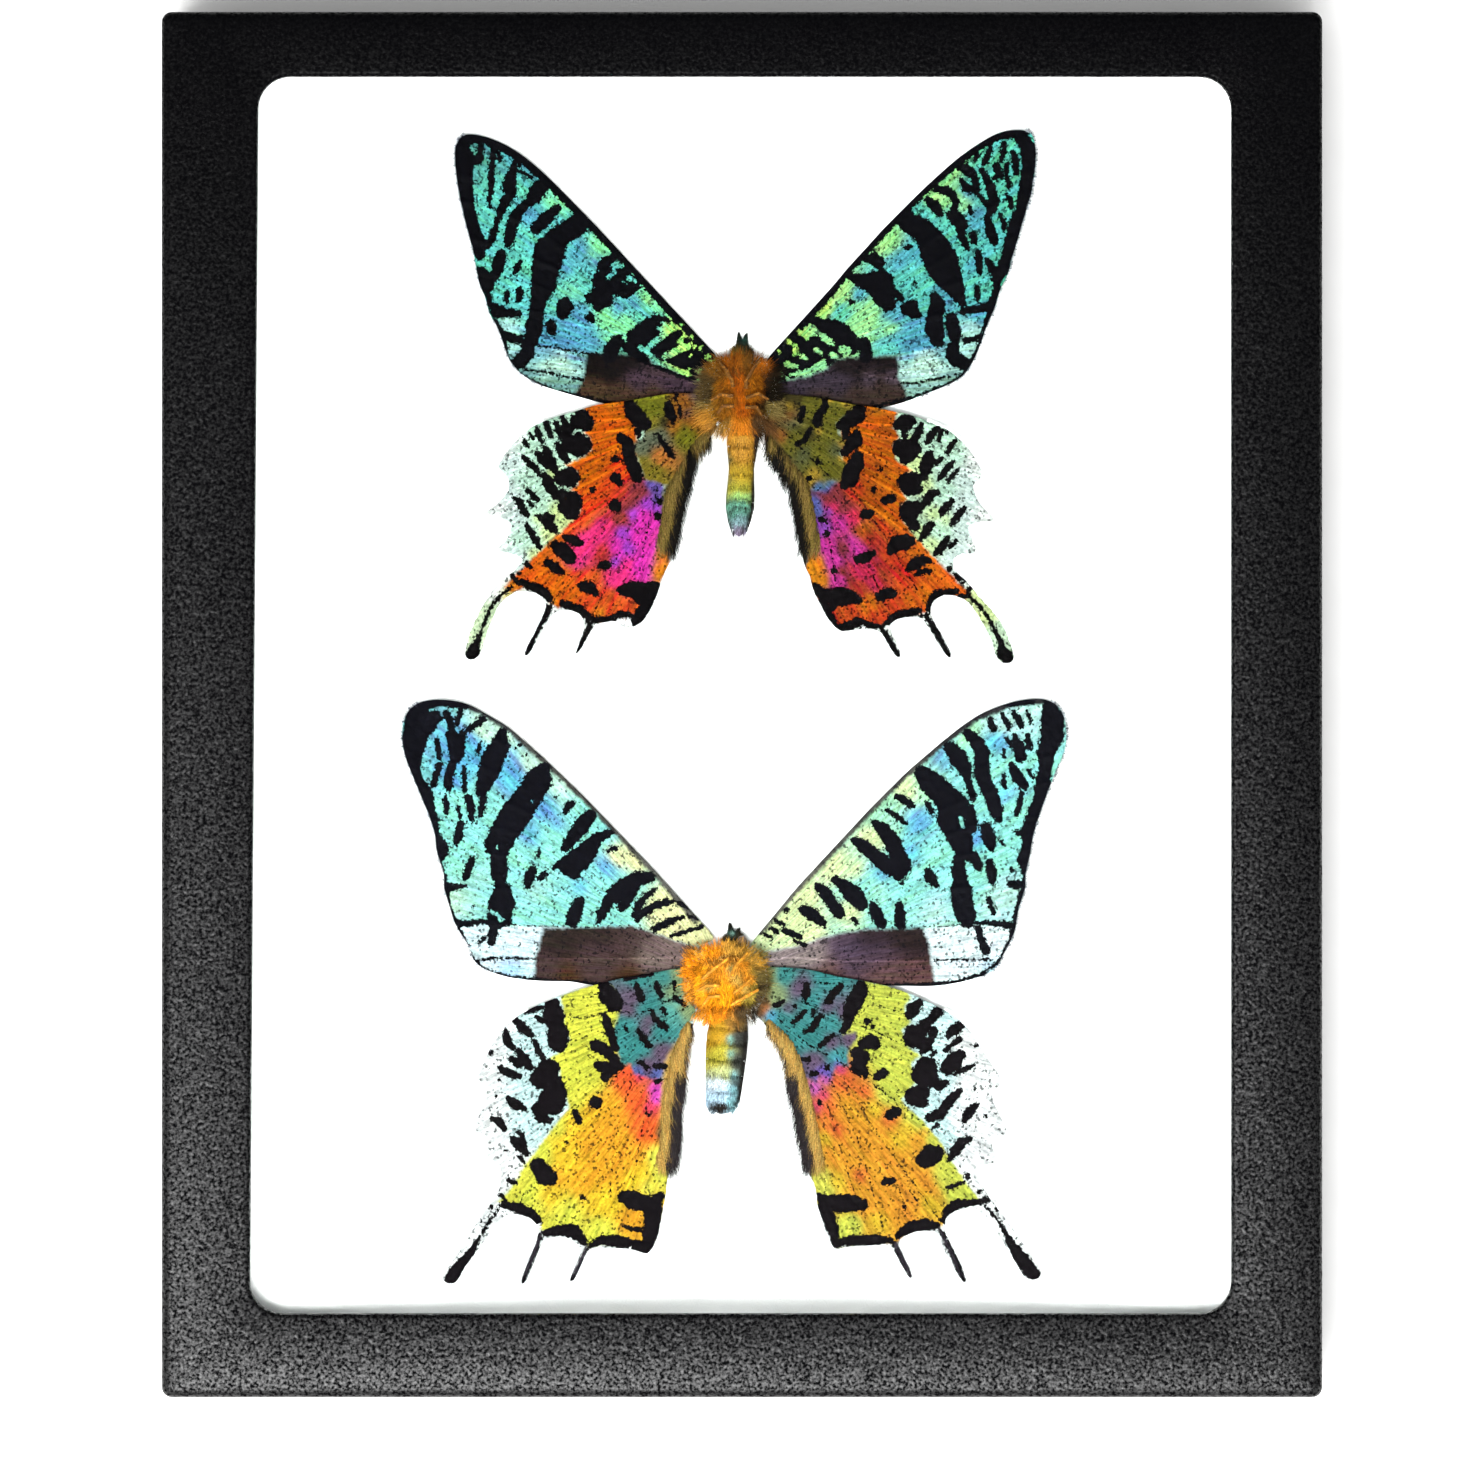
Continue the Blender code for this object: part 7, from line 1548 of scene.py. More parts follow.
# Upper moth, right hindwing
# As the left one, with a duller orange and more purple-brown.
make_wing(
    "upper_moth", "right_hindwing", upper_hindwing_scales,
    black=[
        [(16.7, -2.3, 0.8), (16.3, -3.2, 1.1), (15.2, -4, 1), (14.1, -4.6, 0.7)],
        [(14.7, -5.5, 0.5), (14.5, -6.3, 0.3)], [(16.3, -5.8, 0.5), (16, -6.7, 1),
        (15.3, -7.5, 0.7), (14.6, -8.4, 0.5)], [(16.3, -9, 0.8), (16.2, -10, 1), (15.5, -11, 1.1),
        (15.3, -12, 1.1), (14.6, -12.8, 0.6)], [(19.5, -10.7, 0.25)], [(18.6, -13.5, 0.35)],
        [(20.2, -15, 0.6), (21.1, -14.7, 0.5)], [(17.3, -17, 0.6), (18, -16.8, 0.6)],
        [(11.4, -17.6, 0.45)], [(12, -19.6, 0.35)], [(16.5, -23.2, 0.6), (17.5, -22.9, 0.75),
        (18.3, -22.4, 0.5)], [(13.2, -24.8, 0.3), (12.8, -24.9, 0.2)], [(21, -21.8, 0.7),
        (21.7, -21, 1), (23, -20.8, 1), (23.7, -20.6, 0.7)], [(23.6, -24.3, 0.5),
        (24.5, -23.7, 0.8), (25.4, -23.2, 0.6), (26.3, -23.4, 0.3)], [(24.5, -25.3, 0.25),
        (25.5, -24.8, 0.3), (26.5, -24.9, 0.2)], [(19.3, -28.3, 0.5), (20.2, -28, 0.8),
        (21.2, -27.9, 0.6)], [(22, -4.5, 0.7), (22.9, -4, 0.8), (23.7, -4, 0.7), (22.8, -5, 0.7)],
        [(22.9, -6.2, 0.4)], [(22.5, -7.8, 1.3), (23.5, -8, 1.4), (24.3, -7.9, 0.9),
        (23, -9.2, 0.8)], [(23.2, -12.5, 1.3), (24.2, -12.2, 1.1), (23.5, -13.5, 0.9),
        (24.8, -13.5, 0.6)], [(23.5, -16.3, 1.2), (24.5, -16, 0.9), (23.6, -18, 0.6),
        (24.3, -18.6, 0.7), (22.9, -16.8, 0.8)], [(25.2, -4.6, 0.3), (24.8, -5.5, 0.5),
        (24.3, -6.3, 0.5), (24.2, -7, 0.3)], [(27.3, -5.2, 0.4), (26.5, -6, 0.5), (26, -7, 0.35)],
        [(28, -5.4, 0.3), (27.6, -6.8, 0.2)], [(28.7, -5.6, 0.2)], [(29.8, -6.8, 0.25),
        (29.3, -7.5, 0.4), (28.8, -8.4, 0.3)], [(26.4, -8.6, 0.5), (26, -9.6, 0.9),
        (25.7, -10.8, 0.8), (25.3, -11.8, 0.5)], [(27.9, -9.2, 0.25), (27.2, -9.9, 0.35)],
        [(29.6, -9.7, 0.25), (28.7, -10.6, 0.5), (28, -11.5, 0.4), (27.6, -12.1, 0.2)],
        [(30.2, -10.9, 0.2), (29.4, -11.7, 0.3), (28.9, -12.4, 0.2)], [(27.3, -13.9, 0.4),
        (26.4, -14.3, 0.6), (25.8, -15.2, 0.6), (25, -16, 0.4)], [(29.4, -15, 0.35),
        (28.7, -15.9, 0.5), (28, -16.6, 0.4), (27.8, -17.1, 0.2)], [(31.2, -16.1, 0.25),
        (30.4, -16.8, 0.5), (29.8, -17.7, 0.4), (29.4, -18.3, 0.3)], [(26.7, -18.3, 0.35),
        (26, -19, 0.6), (25.5, -19.7, 0.5), (25.1, -20.5, 0.25)], [(28.8, -20.2, 0.35),
        (28.2, -21.2, 0.5), (27.6, -22, 0.5), (27.1, -22.6, 0.2)], [(30, -20.7, 0.2),
        (29, -21.4, 0.25)], [(29, -24.5, 0.3)], [(30, -25.4, 0.3), (30.4, -25.8, 0.3),
        (31.2, -26, 0.2)], [(30.8, -26.5, 0.25)], [(32, -27.1, 0.25), (31.7, -27.5, 0.25)],
        [(13.7, -32.6, 0.4), (15, -32.4, 0.6), (16.3, -31.9, 0.7), (17.3, -32, 0.5),
        (18.5, -32.4, 0.35), (19.6, -32.5, 0.25)], [(20.3, -32, 0.35), (21.2, -31.2, 0.5),
        (22.5, -30.7, 0.5), (24, -30.5, 0.5), (25, -30.3, 0.3)], [(26.2, -30, 0.4),
        (26.5, -28.9, 0.4), (27.3, -28, 0.5), (28.8, -27.8, 0.4), (30, -27.6, 0.35)],
        [(30.5, -28.4, 0.3), (31.2, -28.3, 0.25), (31.8, -28, 0.2)], [(25.2, -31, 0.3)],
        [(10.6, -27, 0.5), (11.2, -27.8, 0.7), (12.5, -28.3, 1), (14, -28.3, 1.3), (15.3, -28.4, 1),
        (16.3, -28.8, 0.6)], [(11.5, -29.2, 0.7), (12, -30.3, 0.6), (12.6, -31.5, 0.6),
        (13.4, -32.5, 0.4)], [(13, -29.5, 0.6)], [(19.8, -32.8, 0.3), (20.4, -33.8, 0.35),
        (21.2, -35.2, 0.35), (22.1, -36.7, 0.2)], [(25.8, -31, 0.3), (26.6, -32.2, 0.35),
        (27.6, -34, 0.35), (28.5, -35.7, 0.35), (29.2, -36.8, 0.25)], [(31.7, -28.2, 0.15),
        (33, -29.5, 0.15), (34.2, -31, 0.15), (35.2, -32.8, 0.2), (36, -34.2, 0.3),
        (36.2, -35.3, 0.5), (36.5, -36.3, 0.9), (37.2, -37, 0.8)], [(8.8, -2.2, 0.3),
        (8.6, -3, 0.45), (8.4, -3.9, 0.3)], [(11.8, -0.6, 0.35), (11.9, -2, 0.4), (11, -3.2, 0.6),
        (10.7, -4.3, 0.5), (11.2, -4.5, 0.3)], [(9.7, -5.3, 0.3), (9.2, -6.3, 0.35),
        (9, -6.9, 0.2)], [(8, -7.2, 0.35), (8.6, -6.8, 0.25)], [(10.8, -9.6, 0.3)],
        [(9.7, -11.9, 0.35)],
    ],
    clear=[],
    ground={
        "#AED4BC": [(26, -5.5, 1.2), (28, -7.5, 1.2), (28.5, -13.5, 1.2), (30, -9, 1),
            (28, -19, 1.2)],
        "#C0D795": [(24.5, -9.8, 0.6), (26, -13, 0.6), (27, -17, 0.6), (24.8, -19.5, 0.5),
            (28.5, -18, 0.6), (26.8, -21, 0.6), (24, -6.7, 0.4)],
        "#C4D9D2": [(31, -12, 1.2), (31.5, -15, 1.2), (31, -19, 1.2), (31, -22, 1.2)],
        "#DBE1DD": [(33, -10, 1.5), (34.5, -17, 1.5), (33, -22, 1.5), (28.5, -34, 1.5),
            (22, -35, 1.5), (33, -8, 0.8)], "#C7D795": [(32.5, -28.8, 0.5), (34, -31, 0.6)],
        "#B8D1B2": [(36.5, -33.5, 0.8)],
    },
    zones=[
        ([(17.6, -1.6), (22, -2.8), (21.5, -4), (21.3, -5), (22.3, -6.2), (21.3, -7.5),
          (21.6, -9.3), (24, -10.9), (22.2, -12), (22.5, -14), (23.3, -14.9), (22.3, -16),
          (22.5, -17.4), (23.6, -19.3), (25, -20.8), (27, -23), (29, -25), (31, -27), (32, -28.2),
          (31, -28.8), (29, -28), (27, -28.5), (26.3, -30.3), (25, -30.8), (22, -31), (20, -32.3),
          (16, -32.4), (13.4, -33), (11.6, -30), (9.6, -26.8), (9, -24.5), (9.6, -22), (9.8, -20),
          (9.6, -16), (9, -13), (12, -12.8), (13.6, -12.4), (14.4, -11), (14.3, -9), (14, -5),
          (15.5, -2.5)], 0.3, {
            "#955D0B": [(19, -2.7, 0.6)],
            "#AC5209": [(19, -3.8, 1), (19.5, -8, 1.5), (20.5, -12.5, 1.3), (21, -17, 1),
                (23.5, -14.5, 0.6)],
            "#9B470B": [(20.5, -6.5, 1), (18.5, -10, 1), (19, -14.8, 1.2), (17, -19.5, 0.8)],
            "#B13816": [(16, -13.8, 0.7), (19.8, -18.5, 0.7), (21.5, -23, 0.9), (23, -26, 0.9),
                (15.5, -30.5, 0.8), (21, -29.8, 0.9), (19, -30.8, 0.7)],
            "#BB590F": [(24.5, -21.8, 0.7), (26.5, -24, 0.8), (28, -26.4, 0.8), (24.5, -28.8, 1),
                (18, -29.5, 0.8)],
            "#98291C": [(18, -20.5, 0.8), (20, -25.3, 0.9), (16.5, -27, 0.8)],
            "#B1244A": [(15.5, -17.5, 0.7), (18, -25, 0.8), (16.5, -25.3, 0.6), (19, -26.3, 0.6),
                (13, -16, 0.6)],
            "#B52E87": [(14.2, -18, 0.6), (15.8, -21, 0.7), (16.8, -21.8, 0.5), (12.3, -21.5, 0.6),
                (12.8, -23.5, 0.6), (13.8, -26, 0.6)],
            "#813D9D": [(11.6, -18.7, 0.5), (12.5, -16.5, 0.4)],
            "#4A5391": [(10.5, -15.5, 0.4), (11, -16.5, 0.35), (12, -13.4, 0.35)],
            "#752B2E": [(13, -14.5, 0.8), (14.5, -16, 0.7), (14.5, -21.5, 0.6)],
            "#802B20": [(14.3, -25, 0.5), (15.5, -26, 0.5)],
            "#BB6D0F": [(10.8, -24, 0.7), (11.3, -26, 0.5)],
        }),
        ([(3, 1), (8, 0.6), (12, 0), (17, -1.4), (15.8, -2.5), (13.5, -4.5), (14, -6), (15, -7),
          (14, -8.7), (15, -10), (14, -12.4), (12.5, -13), (11.3, -13.7), (10, -13.7), (9, -13.2),
          (7.9, -11.6), (5.9, -9), (4.3, -6.9), (3, -5.4)], 0.5, {
            "#5C581A": [(13.5, -2.2, 1), (10.3, -2.8, 0.8), (8, -6.8, 1), (12.5, -6, 1),
                (11, -8.5, 1), (13, -10.5, 1)],
            "#4C4E31": [(13.5, -8, 0.8), (7, -4, 0.8), (9, -8.5, 0.7)],
            "#342E14": [(7, -1, 0.7), (9.8, -5.8, 0.6), (6, -2.5, 0.6)],
            "#937726": [(6.8, -1.9, 0.4), (12.5, -1, 0.4), (14.5, -1.6, 0.4), (11, -5.5, 0.3),
                (14, -7.2, 0.3), (14, -9.3, 0.3), (10.5, -11.3, 0.4), (9.8, -12.5, 0.4)],
            "#814E20": [(6.8, -3.5, 0.6), (5.8, -6, 0.5)],
            "#456D95": [(10.8, -13.3, 0.35), (12.8, -13, 0.35)],
        }),
        ([(3, -4.5), (5, -6.6), (6.8, -8.8), (8.6, -11.3), (9.6, -13.4), (10.2, -16), (10.3, -20),
          (9.8, -22), (9, -24.8), (8, -24), (6, -12), (3, -7)], 0.5, {
            "#60532A": [(6, -8.5, 0.6), (9.2, -14, 0.6), (9.8, -19.5, 0.6)],
            "#231C10": [(7.9, -13.5, 0.5), (8.7, -18, 0.5), (9, -22, 0.5)],
        }),
    ],
    bright=[
        [(17.5, -2.1, 0.05), (22, -3, 0.05)], [(17, -4.3, 0.04), (20.8, -4.6, 0.04)],
        [(17, -5.7, 0.04), (21.8, -6.4, 0.04)], [(16.5, -8, 0.04), (24, -10.9, 0.04)],
        [(17.5, -11.5, 0.04), (23.3, -14.8, 0.04)], [(17, -15, 0.03), (23.5, -19.7, 0.03),
        (25, -21, 0.03), (31, -28, 0.03)], [(15.5, -16, 0.03), (17.5, -19.8, 0.03)],
        [(12, -1.1, 0.08), (14.5, -1.6, 0.08)], [(7, -3.8, 0.03), (11, -5.3, 0.03),
        (14.5, -7.3, 0.03)], [(12.5, -8, 0.03), (14.8, -9.6, 0.03)],
    ],
    dark_veins=[
        [(11.5, -13.8, 0.02), (12.4, -20, 0.03), (13.5, -27.5, 0.05)], [(13.5, -13.6, 0.02),
        (16.6, -20.5, 0.03), (19.5, -28, 0.05), (21, -31, 0.08)], [(15.5, -13.2, 0.02),
        (20.5, -20.5, 0.03), (25.8, -29.5, 0.06)], [(4.5, -4, 0.04), (9, -8.3, 0.05),
        (12.8, -12, 0.05)],
    ],
)


# Moth bodies
# Each body is a soft, dry insect body: a round furry thorax, a small dark head with two
# pointed palps and a ringed abdomen covered in short scales. The fur lies matted in tufts.
# Moth fur: soft and dull, each hair in its own colour, mottled where the fur is matted.
moth_fur, tree = new_material("moth_fur")
place = add_node(tree, "ShaderNodeTexCoord")
in_mm = add_node(
    tree, "ShaderNodeVectorMath", {0: place.outputs["Object"], "Scale": 1 / MM}, operation="SCALE"
)
hair_colour = add_node(tree, "ShaderNodeAttribute", attribute_name="hair_colour")
grain = add_node(
    tree, "ShaderNodeTexNoise",
    {"Vector": in_mm.outputs[0], "Scale": 1 / 0.22, "Detail": 2.0, "Roughness": 0.6},
)
light = add_node(
    tree, "ShaderNodeMapRange",
    {
        "Value": grain.outputs["Fac"], "From Min": 0.3, "From Max": 0.7, "To Min": 0.6,
        "To Max": 1.35,
    },
    clamp=False,
)
tinted = add_node(
    tree, "ShaderNodeVectorMath", {0: hair_colour.outputs["Color"], "Scale": light.outputs[0]},
    operation="SCALE",
)
bump = add_node(
    tree, "ShaderNodeBump", {"Height": grain.outputs["Fac"], "Strength": 0.6, "Distance": 0.08 * MM}
)
surface = add_node(
    tree, "ShaderNodeBsdfPrincipled",
    {
        "Base Color": tinted.outputs[0], "Roughness": 0.6, "Specular IOR Level": 0.05,
        "Normal": bump.outputs[0],
    },
)
add_node(tree, "ShaderNodeOutputMaterial", {"Surface": surface.outputs[0]})


def hair_piece(name, hairs, width, tip_share, root_tone, replaced=()):
    """One piece of many hairs, each (points in mm, colour), darker at the root. The strand
    mesh holds the end caps first, last hair first, and then the hairs' sides in order."""
    mesh = strand_mesh(name, [points for points, _ in hairs], width, tip_share)
    colours = numpy.array([colour for _, colour in hairs])
    tones = numpy.repeat(numpy.linspace(root_tone, 1.0, len(hairs[0][0])), 3)
    caps = numpy.repeat(colours[::-1], 6, axis=0)
    caps *= numpy.tile([1.0] * 3 + [root_tone] * 3, len(hairs))[:, None]
    sides = numpy.repeat(colours, len(tones), axis=0) * numpy.tile(tones, len(hairs))[:, None]
    set_colour(mesh, "hair_colour", numpy.concatenate([caps, sides]))
    bm = bmesh.new()
    bm.from_mesh(mesh)
    bmesh.ops.remove_doubles(bm, verts=bm.verts, dist=0.0002 * MM)
    bm.to_mesh(mesh)
    bm.free()
    return finish_piece(name, mesh, moth_fur, replaced)


def hair_tones(picker, roots, patches, spread):
    """A colour for each root from the patches, each hair a little lighter or darker."""
    x = numpy.array([root[0] for root in roots])
    y = numpy.array([root[1] for root in roots])
    colours = blended_colour(x, y, patches)
    lights = numpy.array([picker.uniform(1 - spread, 1 + spread) for _ in roots])
    clumps = numpy.array([
        1 + 0.7 * noise.noise(Vector((root[0] * 1.6, root[1] * 1.6, 5))) for root in roots
    ])
    return colours * (lights * clumps)[:, None]


def combed_hair(root, flow, length, rise, sink, bend):
    """Four points of a hair that leaves the skin, bends over and lies along the flow."""
    side = Vector((-flow.y, flow.x, 0)) * bend
    return [
        root,
        root + flow * length * 0.3 + Vector((0, 0, rise * 0.75)),
        root + flow * length * 0.65 + side * 0.5 + Vector((0, 0, rise)),
        root + flow * length + side + Vector((0, 0, rise - sink)),
    ]


def thorax_fur(picker, moth, count, patches):
    """Matted fur over the top of the thorax, combed back and out to the sides."""
    centre = Vector((*MOTHS[moth]["centre"], BODY_LEVEL))
    sizes = MOTHS[moth]["thorax"]
    roots, hairs = [], []
    for _ in range(count):
        turn = picker.uniform(0, 2 * math.pi)
        up = picker.uniform(0.0, 1.0)
        across = math.sqrt(1 - up * up)
        out = Vector((math.cos(turn) * across, math.sin(turn) * across, up))
        root = Vector((out.x * sizes[0], out.y * sizes[1], out.z * sizes[2])) * 0.8
        roots.append(root)
        swirl = 1.3 * noise.noise(Vector((root.x * 0.55, root.y * 0.55, 8)))
        heading = math.atan2(-0.9 + out.y * 0.3, out.x * 0.6) + swirl + picker.gauss(0, 0.22)
        flow = Vector((math.cos(heading), math.sin(heading), -0.35 * across))
        hairs.append(combed_hair(
            centre + root, flow, picker.uniform(0.8, 1.4), picker.uniform(0.3, 0.6), 0.25,
            picker.uniform(-0.25, 0.25),
        ))
    return list(zip(hairs, hair_tones(picker, roots, patches, 0.55)))


def loose_hair(picker, moth, count, starts, patches, length, level):
    """Longer hair that lies out over the wing roots. Starts are (x, y, heading in degrees)."""
    centre = Vector((*MOTHS[moth]["centre"], 0))
    roots, hairs = [], []
    for _ in range(count):
        x, y, heading = picker.choice(starts)
        x += picker.gauss(0, 0.5)
        y += picker.gauss(0, 0.5)
        heading = math.radians(heading + picker.gauss(0, 14))
        flow = Vector((math.cos(heading), math.sin(heading), 0))
        reach = picker.uniform(*length)
        roots.append(Vector((x, y, 0)))
        base = centre + Vector((x, y, level + picker.uniform(0, 0.3)))
        hairs.append(combed_hair(base, flow, reach, 0.15, 0.3, picker.uniform(-0.3, 0.3)))
    return list(zip(hairs, hair_tones(picker, roots, patches, 0.55)))


def paint_skin(mesh, centre, patches, dark=(), dark_colour="#1A1512"):
    """Colours a body's skin from patches, with dark strokes over them."""
    places = numpy.empty(len(mesh.vertices) * 3)
    mesh.vertices.foreach_get("co", places)
    places = places.reshape(-1, 3) / MM
    x, y = places[:, 0] - centre[0], places[:, 1] - centre[1]
    colour = blended_colour(x, y, patches)
    if dark:
        shake = numpy.array([
            0.25 * noise.noise(Vector((px * 3, py * 3, 1))) for px, py in zip(x, y)
        ])
        share = numpy.clip(0.5 - (edge_distance(x, y, list(dark)) + shake) / 0.4, 0, 1)[:, None]
        colour = colour * (1 - share) + numpy.array(linear(dark_colour)[:3]) * share
    set_colour(mesh, "hair_colour", colour)


def make_trunk(moth, head, head_radius, palps, tone, tip_tone):
    """The thorax under the fur, the head and its two palps."""
    centre = MOTHS[moth]["centre"]
    bm = bmesh.new()
    sizes = MOTHS[moth]["thorax"]
    ball = bmesh.ops.create_icosphere(bm, subdivisions=4, radius=1)
    bmesh.ops.scale(bm, vec=Vector(sizes) * 0.82 * MM, verts=ball["verts"])
    bmesh.ops.translate(bm, vec=Vector((*centre, BODY_LEVEL)) * MM, verts=ball["verts"])
    ball = bmesh.ops.create_icosphere(bm, subdivisions=3, radius=head_radius * 0.85 * MM)
    head_place = Vector((centre[0] + head[0], centre[1] + head[1], BODY_LEVEL))
    bmesh.ops.translate(bm, vec=head_place * MM, verts=ball["verts"])
    for tip_x, tip_y in palps:
        tip = Vector((centre[0] + tip_x, centre[1] + tip_y, BODY_LEVEL + 0.3))
        run = tip - head_place
        turned = Matrix.Translation((head_place + run / 2) * MM) @ run.to_track_quat(
            "Z", "Y"
        ).to_matrix().to_4x4()
        bmesh.ops.create_cone(
            bm, cap_ends=True, segments=12, radius1=0.75 * MM, radius2=0.12 * MM,
            depth=run.length * MM, matrix=turned,
        )
    mesh = bpy.data.meshes.new(f"{moth}_trunk")
    bm.to_mesh(mesh)
    bm.free()
    mesh.shade_smooth()
    paint_skin(mesh, centre, {tone: [(0, -1, 2.5)], tip_tone: [(head[0], head[1] + 1.5, 1.2)]})
    return finish_piece(f"{moth}_trunk", mesh, moth_fur, [f"{moth}_body"])


def make_abdomen(moth, profile, ring_step, patches, dark):
    """The abdomen, turned from its profile of (distance behind, radius), with soft rings."""
    centre = MOTHS[moth]["centre"]
    start, turn = MOTHS[moth]["abdomen"]
    first, last = profile[0][0], profile[-1][0]
    steps = int((last - first) / 0.2)
    bm = bmesh.new()
    chain = []
    for index in range(steps + 1):
        back = first + (last - first) * index / steps
        radius = float(numpy.interp(back, [p[0] for p in profile], [p[1] for p in profile]))
        fold = (back / ring_step) % 1.0
        radius *= 0.97 - 0.09 * max(0.0, 1 - fold / 0.18) + 0.03 * math.sin(fold * math.pi)
        if 0 < index < steps:
            radius = max(radius, 0.12)
        else:
            radius = 0.0
        chain.append(bm.verts.new((radius * MM, -back * MM, 0)))
    for one, two in zip(chain, chain[1:]):
        bm.edges.new((one, two))
    bmesh.ops.spin(
        bm, geom=bm.verts[:] + bm.edges[:], cent=(0, 0, 0), axis=(0, 1, 0),
        angle=2 * math.pi, steps=40, use_merge=True,
    )
    bmesh.ops.remove_doubles(bm, verts=bm.verts, dist=0.005 * MM)
    bmesh.ops.recalc_face_normals(bm, faces=bm.faces)
    placed = Matrix.Translation(Vector((centre[0] + start, centre[1], BODY_LEVEL + 0.1)) * MM)
    bmesh.ops.transform(
        bm, matrix=placed @ Matrix.Rotation(math.radians(turn), 4, "Z"), verts=bm.verts
    )
    mesh = bpy.data.meshes.new(f"{moth}_abdomen")
    bm.to_mesh(mesh)
    bm.free()
    mesh.shade_smooth()
    paint_skin(mesh, centre, patches, dark)
    return finish_piece(f"{moth}_abdomen", mesh, moth_fur)


def abdomen_scales(picker, moth, count, profile, patches, dark):
    """Short flat scales that lie back over the abdomen."""
    centre = MOTHS[moth]["centre"]
    start, turn = MOTHS[moth]["abdomen"]
    lean = math.tan(math.radians(turn))
    roots, hairs = [], []
    for _ in range(count):
        back = picker.uniform(profile[0][0] + 0.6, profile[-1][0] - 0.5)
        radius = float(numpy.interp(back, [p[0] for p in profile], [p[1] for p in profile]))
        around = picker.uniform(-0.1, math.pi + 0.1)
        x = start + lean * back + radius * 0.96 * math.cos(around)
        root = Vector((x, -back, BODY_LEVEL + 0.1 + radius * 0.96 * math.sin(around)))
        roots.append(root)
        out = Vector((math.cos(around), 0, math.sin(around)))
        flow = Vector((lean, -1, 0)).normalized()
        base = root + Vector((*centre, 0))
        hairs.append([base, base + out * 0.08 + flow * 0.3, base + out * 0.1 + flow * 0.6])
    colours = hair_tones(picker, roots, patches, 0.55)
    colours *= numpy.array([0.3 if picker.random() < 0.12 else 1.0 for _ in roots])[:, None]
    x = numpy.array([root.x for root in roots])
    y = numpy.array([root.y for root in roots])
    share = numpy.clip(0.5 - edge_distance(x, y, list(dark)) / 0.5, 0, 1)[:, None]
    colours = colours * (1 - share) + numpy.array(linear("#1A1512")[:3]) * share
    return list(zip(hairs, colours))


# Upper moth, body
# A narrow orange thorax with a grey-brown left side, and a thin abdomen that runs from
# orange through yellow to pale green with two dark rings and a dark right edge.
picker = random.Random(21)
make_trunk("upper_moth", (0.3, 4.9), 1.7, [(-0.05, 8.1), (0.85, 8.0)], "#5A3A14", "#10140F")
UPPER_ABDOMEN = [
    (3.4, 0), (4, 1.2), (5, 1.8), (6.2, 2.2), (8, 2), (10, 1.7), (12, 1.8), (14, 1.95),
    (15.6, 1.95), (17.2, 1.6), (18.6, 1.15), (19.6, 0.65), (20.05, 0),
]
UPPER_ABDOMEN_COLOURS = {
    "#89601E": [(0.3, -6.5, 1.2), (0.3, -8.5, 1)], "#836A1A": [(0, -11.5, 1.2)],
    "#797625": [(-0.6, -13, 0.7), (0.6, -13.2, 0.6)],
    "#6E9353": [(-0.3, -14.3, 0.5), (0.9, -14.6, 0.4)],
    "#4A7C6B": [(-0.5, -16, 0.7), (0.6, -15.8, 0.5)], "#5D767A": [(0, -17.8, 0.6)],
    "#73647A": [(0, -19, 0.5), (0, -20, 0.4)], "#524D27": [(-1.6, -9, 0.5), (-1.2, -12, 0.4)],
}
UPPER_ABDOMEN_DARK = [
    [(2.3, -7, 0.35), (2.1, -10, 0.3), (1.95, -13, 0.35), (1.75, -16, 0.4), (1.2, -18.6, 0.4)],
    [(-1.9, -13.2, 0.25), (-2.1, -15.5, 0.35), (-1.6, -17.6, 0.35), (-0.9, -19.4, 0.3)],
    [(-1.7, -15, 0.14), (0, -14.75, 0.12), (1.5, -15, 0.14)],
    [(-1.3, -16.5, 0.16), (-0.8, -16.1, 0.16), (0, -15.9, 0.16), (0.8, -16.1, 0.16),
     (1.4, -16.6, 0.18)],
    [(0.5, -18.8, 0.2), (0.2, -19.5, 0.15)], [(-0.9, -5.4, 0.25)],
]
make_abdomen("upper_moth", UPPER_ABDOMEN, 1.9, UPPER_ABDOMEN_COLOURS, UPPER_ABDOMEN_DARK)
UPPER_FUR = {
    "#984704": [(-0.8, 4, 0.8), (-0.7, 2.4, 0.7), (0.2, -1.8, 0.8), (0.5, -3.6, 0.8),
                (0, 0.5, 0.7)],
    "#915208": [(2.2, 1.8, 0.7), (3.1, 3.8, 0.7), (1.5, -0.2, 0.7), (-2, 0.5, 0.9),
                (-1.5, -3.3, 0.7)],
    "#7A4D0F": [(-3, 2.8, 0.9), (-2.2, -1.2, 0.9), (-2.9, -3.2, 0.6), (0.8, 4.2, 0.7)],
    "#644712": [(-3.6, 0.5, 0.8), (-4.2, -1.5, 0.8), (2.7, -2.6, 0.6)],
    "#3F371A": [(-4.5, 1, 0.6), (-3.8, -2.5, 0.4), (-2.5, -4.4, 0.5)],
    "#1C1507": [(4.4, 1.8, 0.8), (4.3, -0.8, 0.8), (2.6, -1.4, 0.5), (3.2, -4, 0.6)],
    "#0C0904": [(0.3, 5.6, 0.6), (1.2, 5.2, 0.4)], "#645212": [(-1.5, 5.6, 0.6)],
}
hairs = thorax_fur(picker, "upper_moth", 5200, UPPER_FUR)
hair_piece("upper_moth_thorax_fur", hairs, 0.085, 0.3, 0.6)
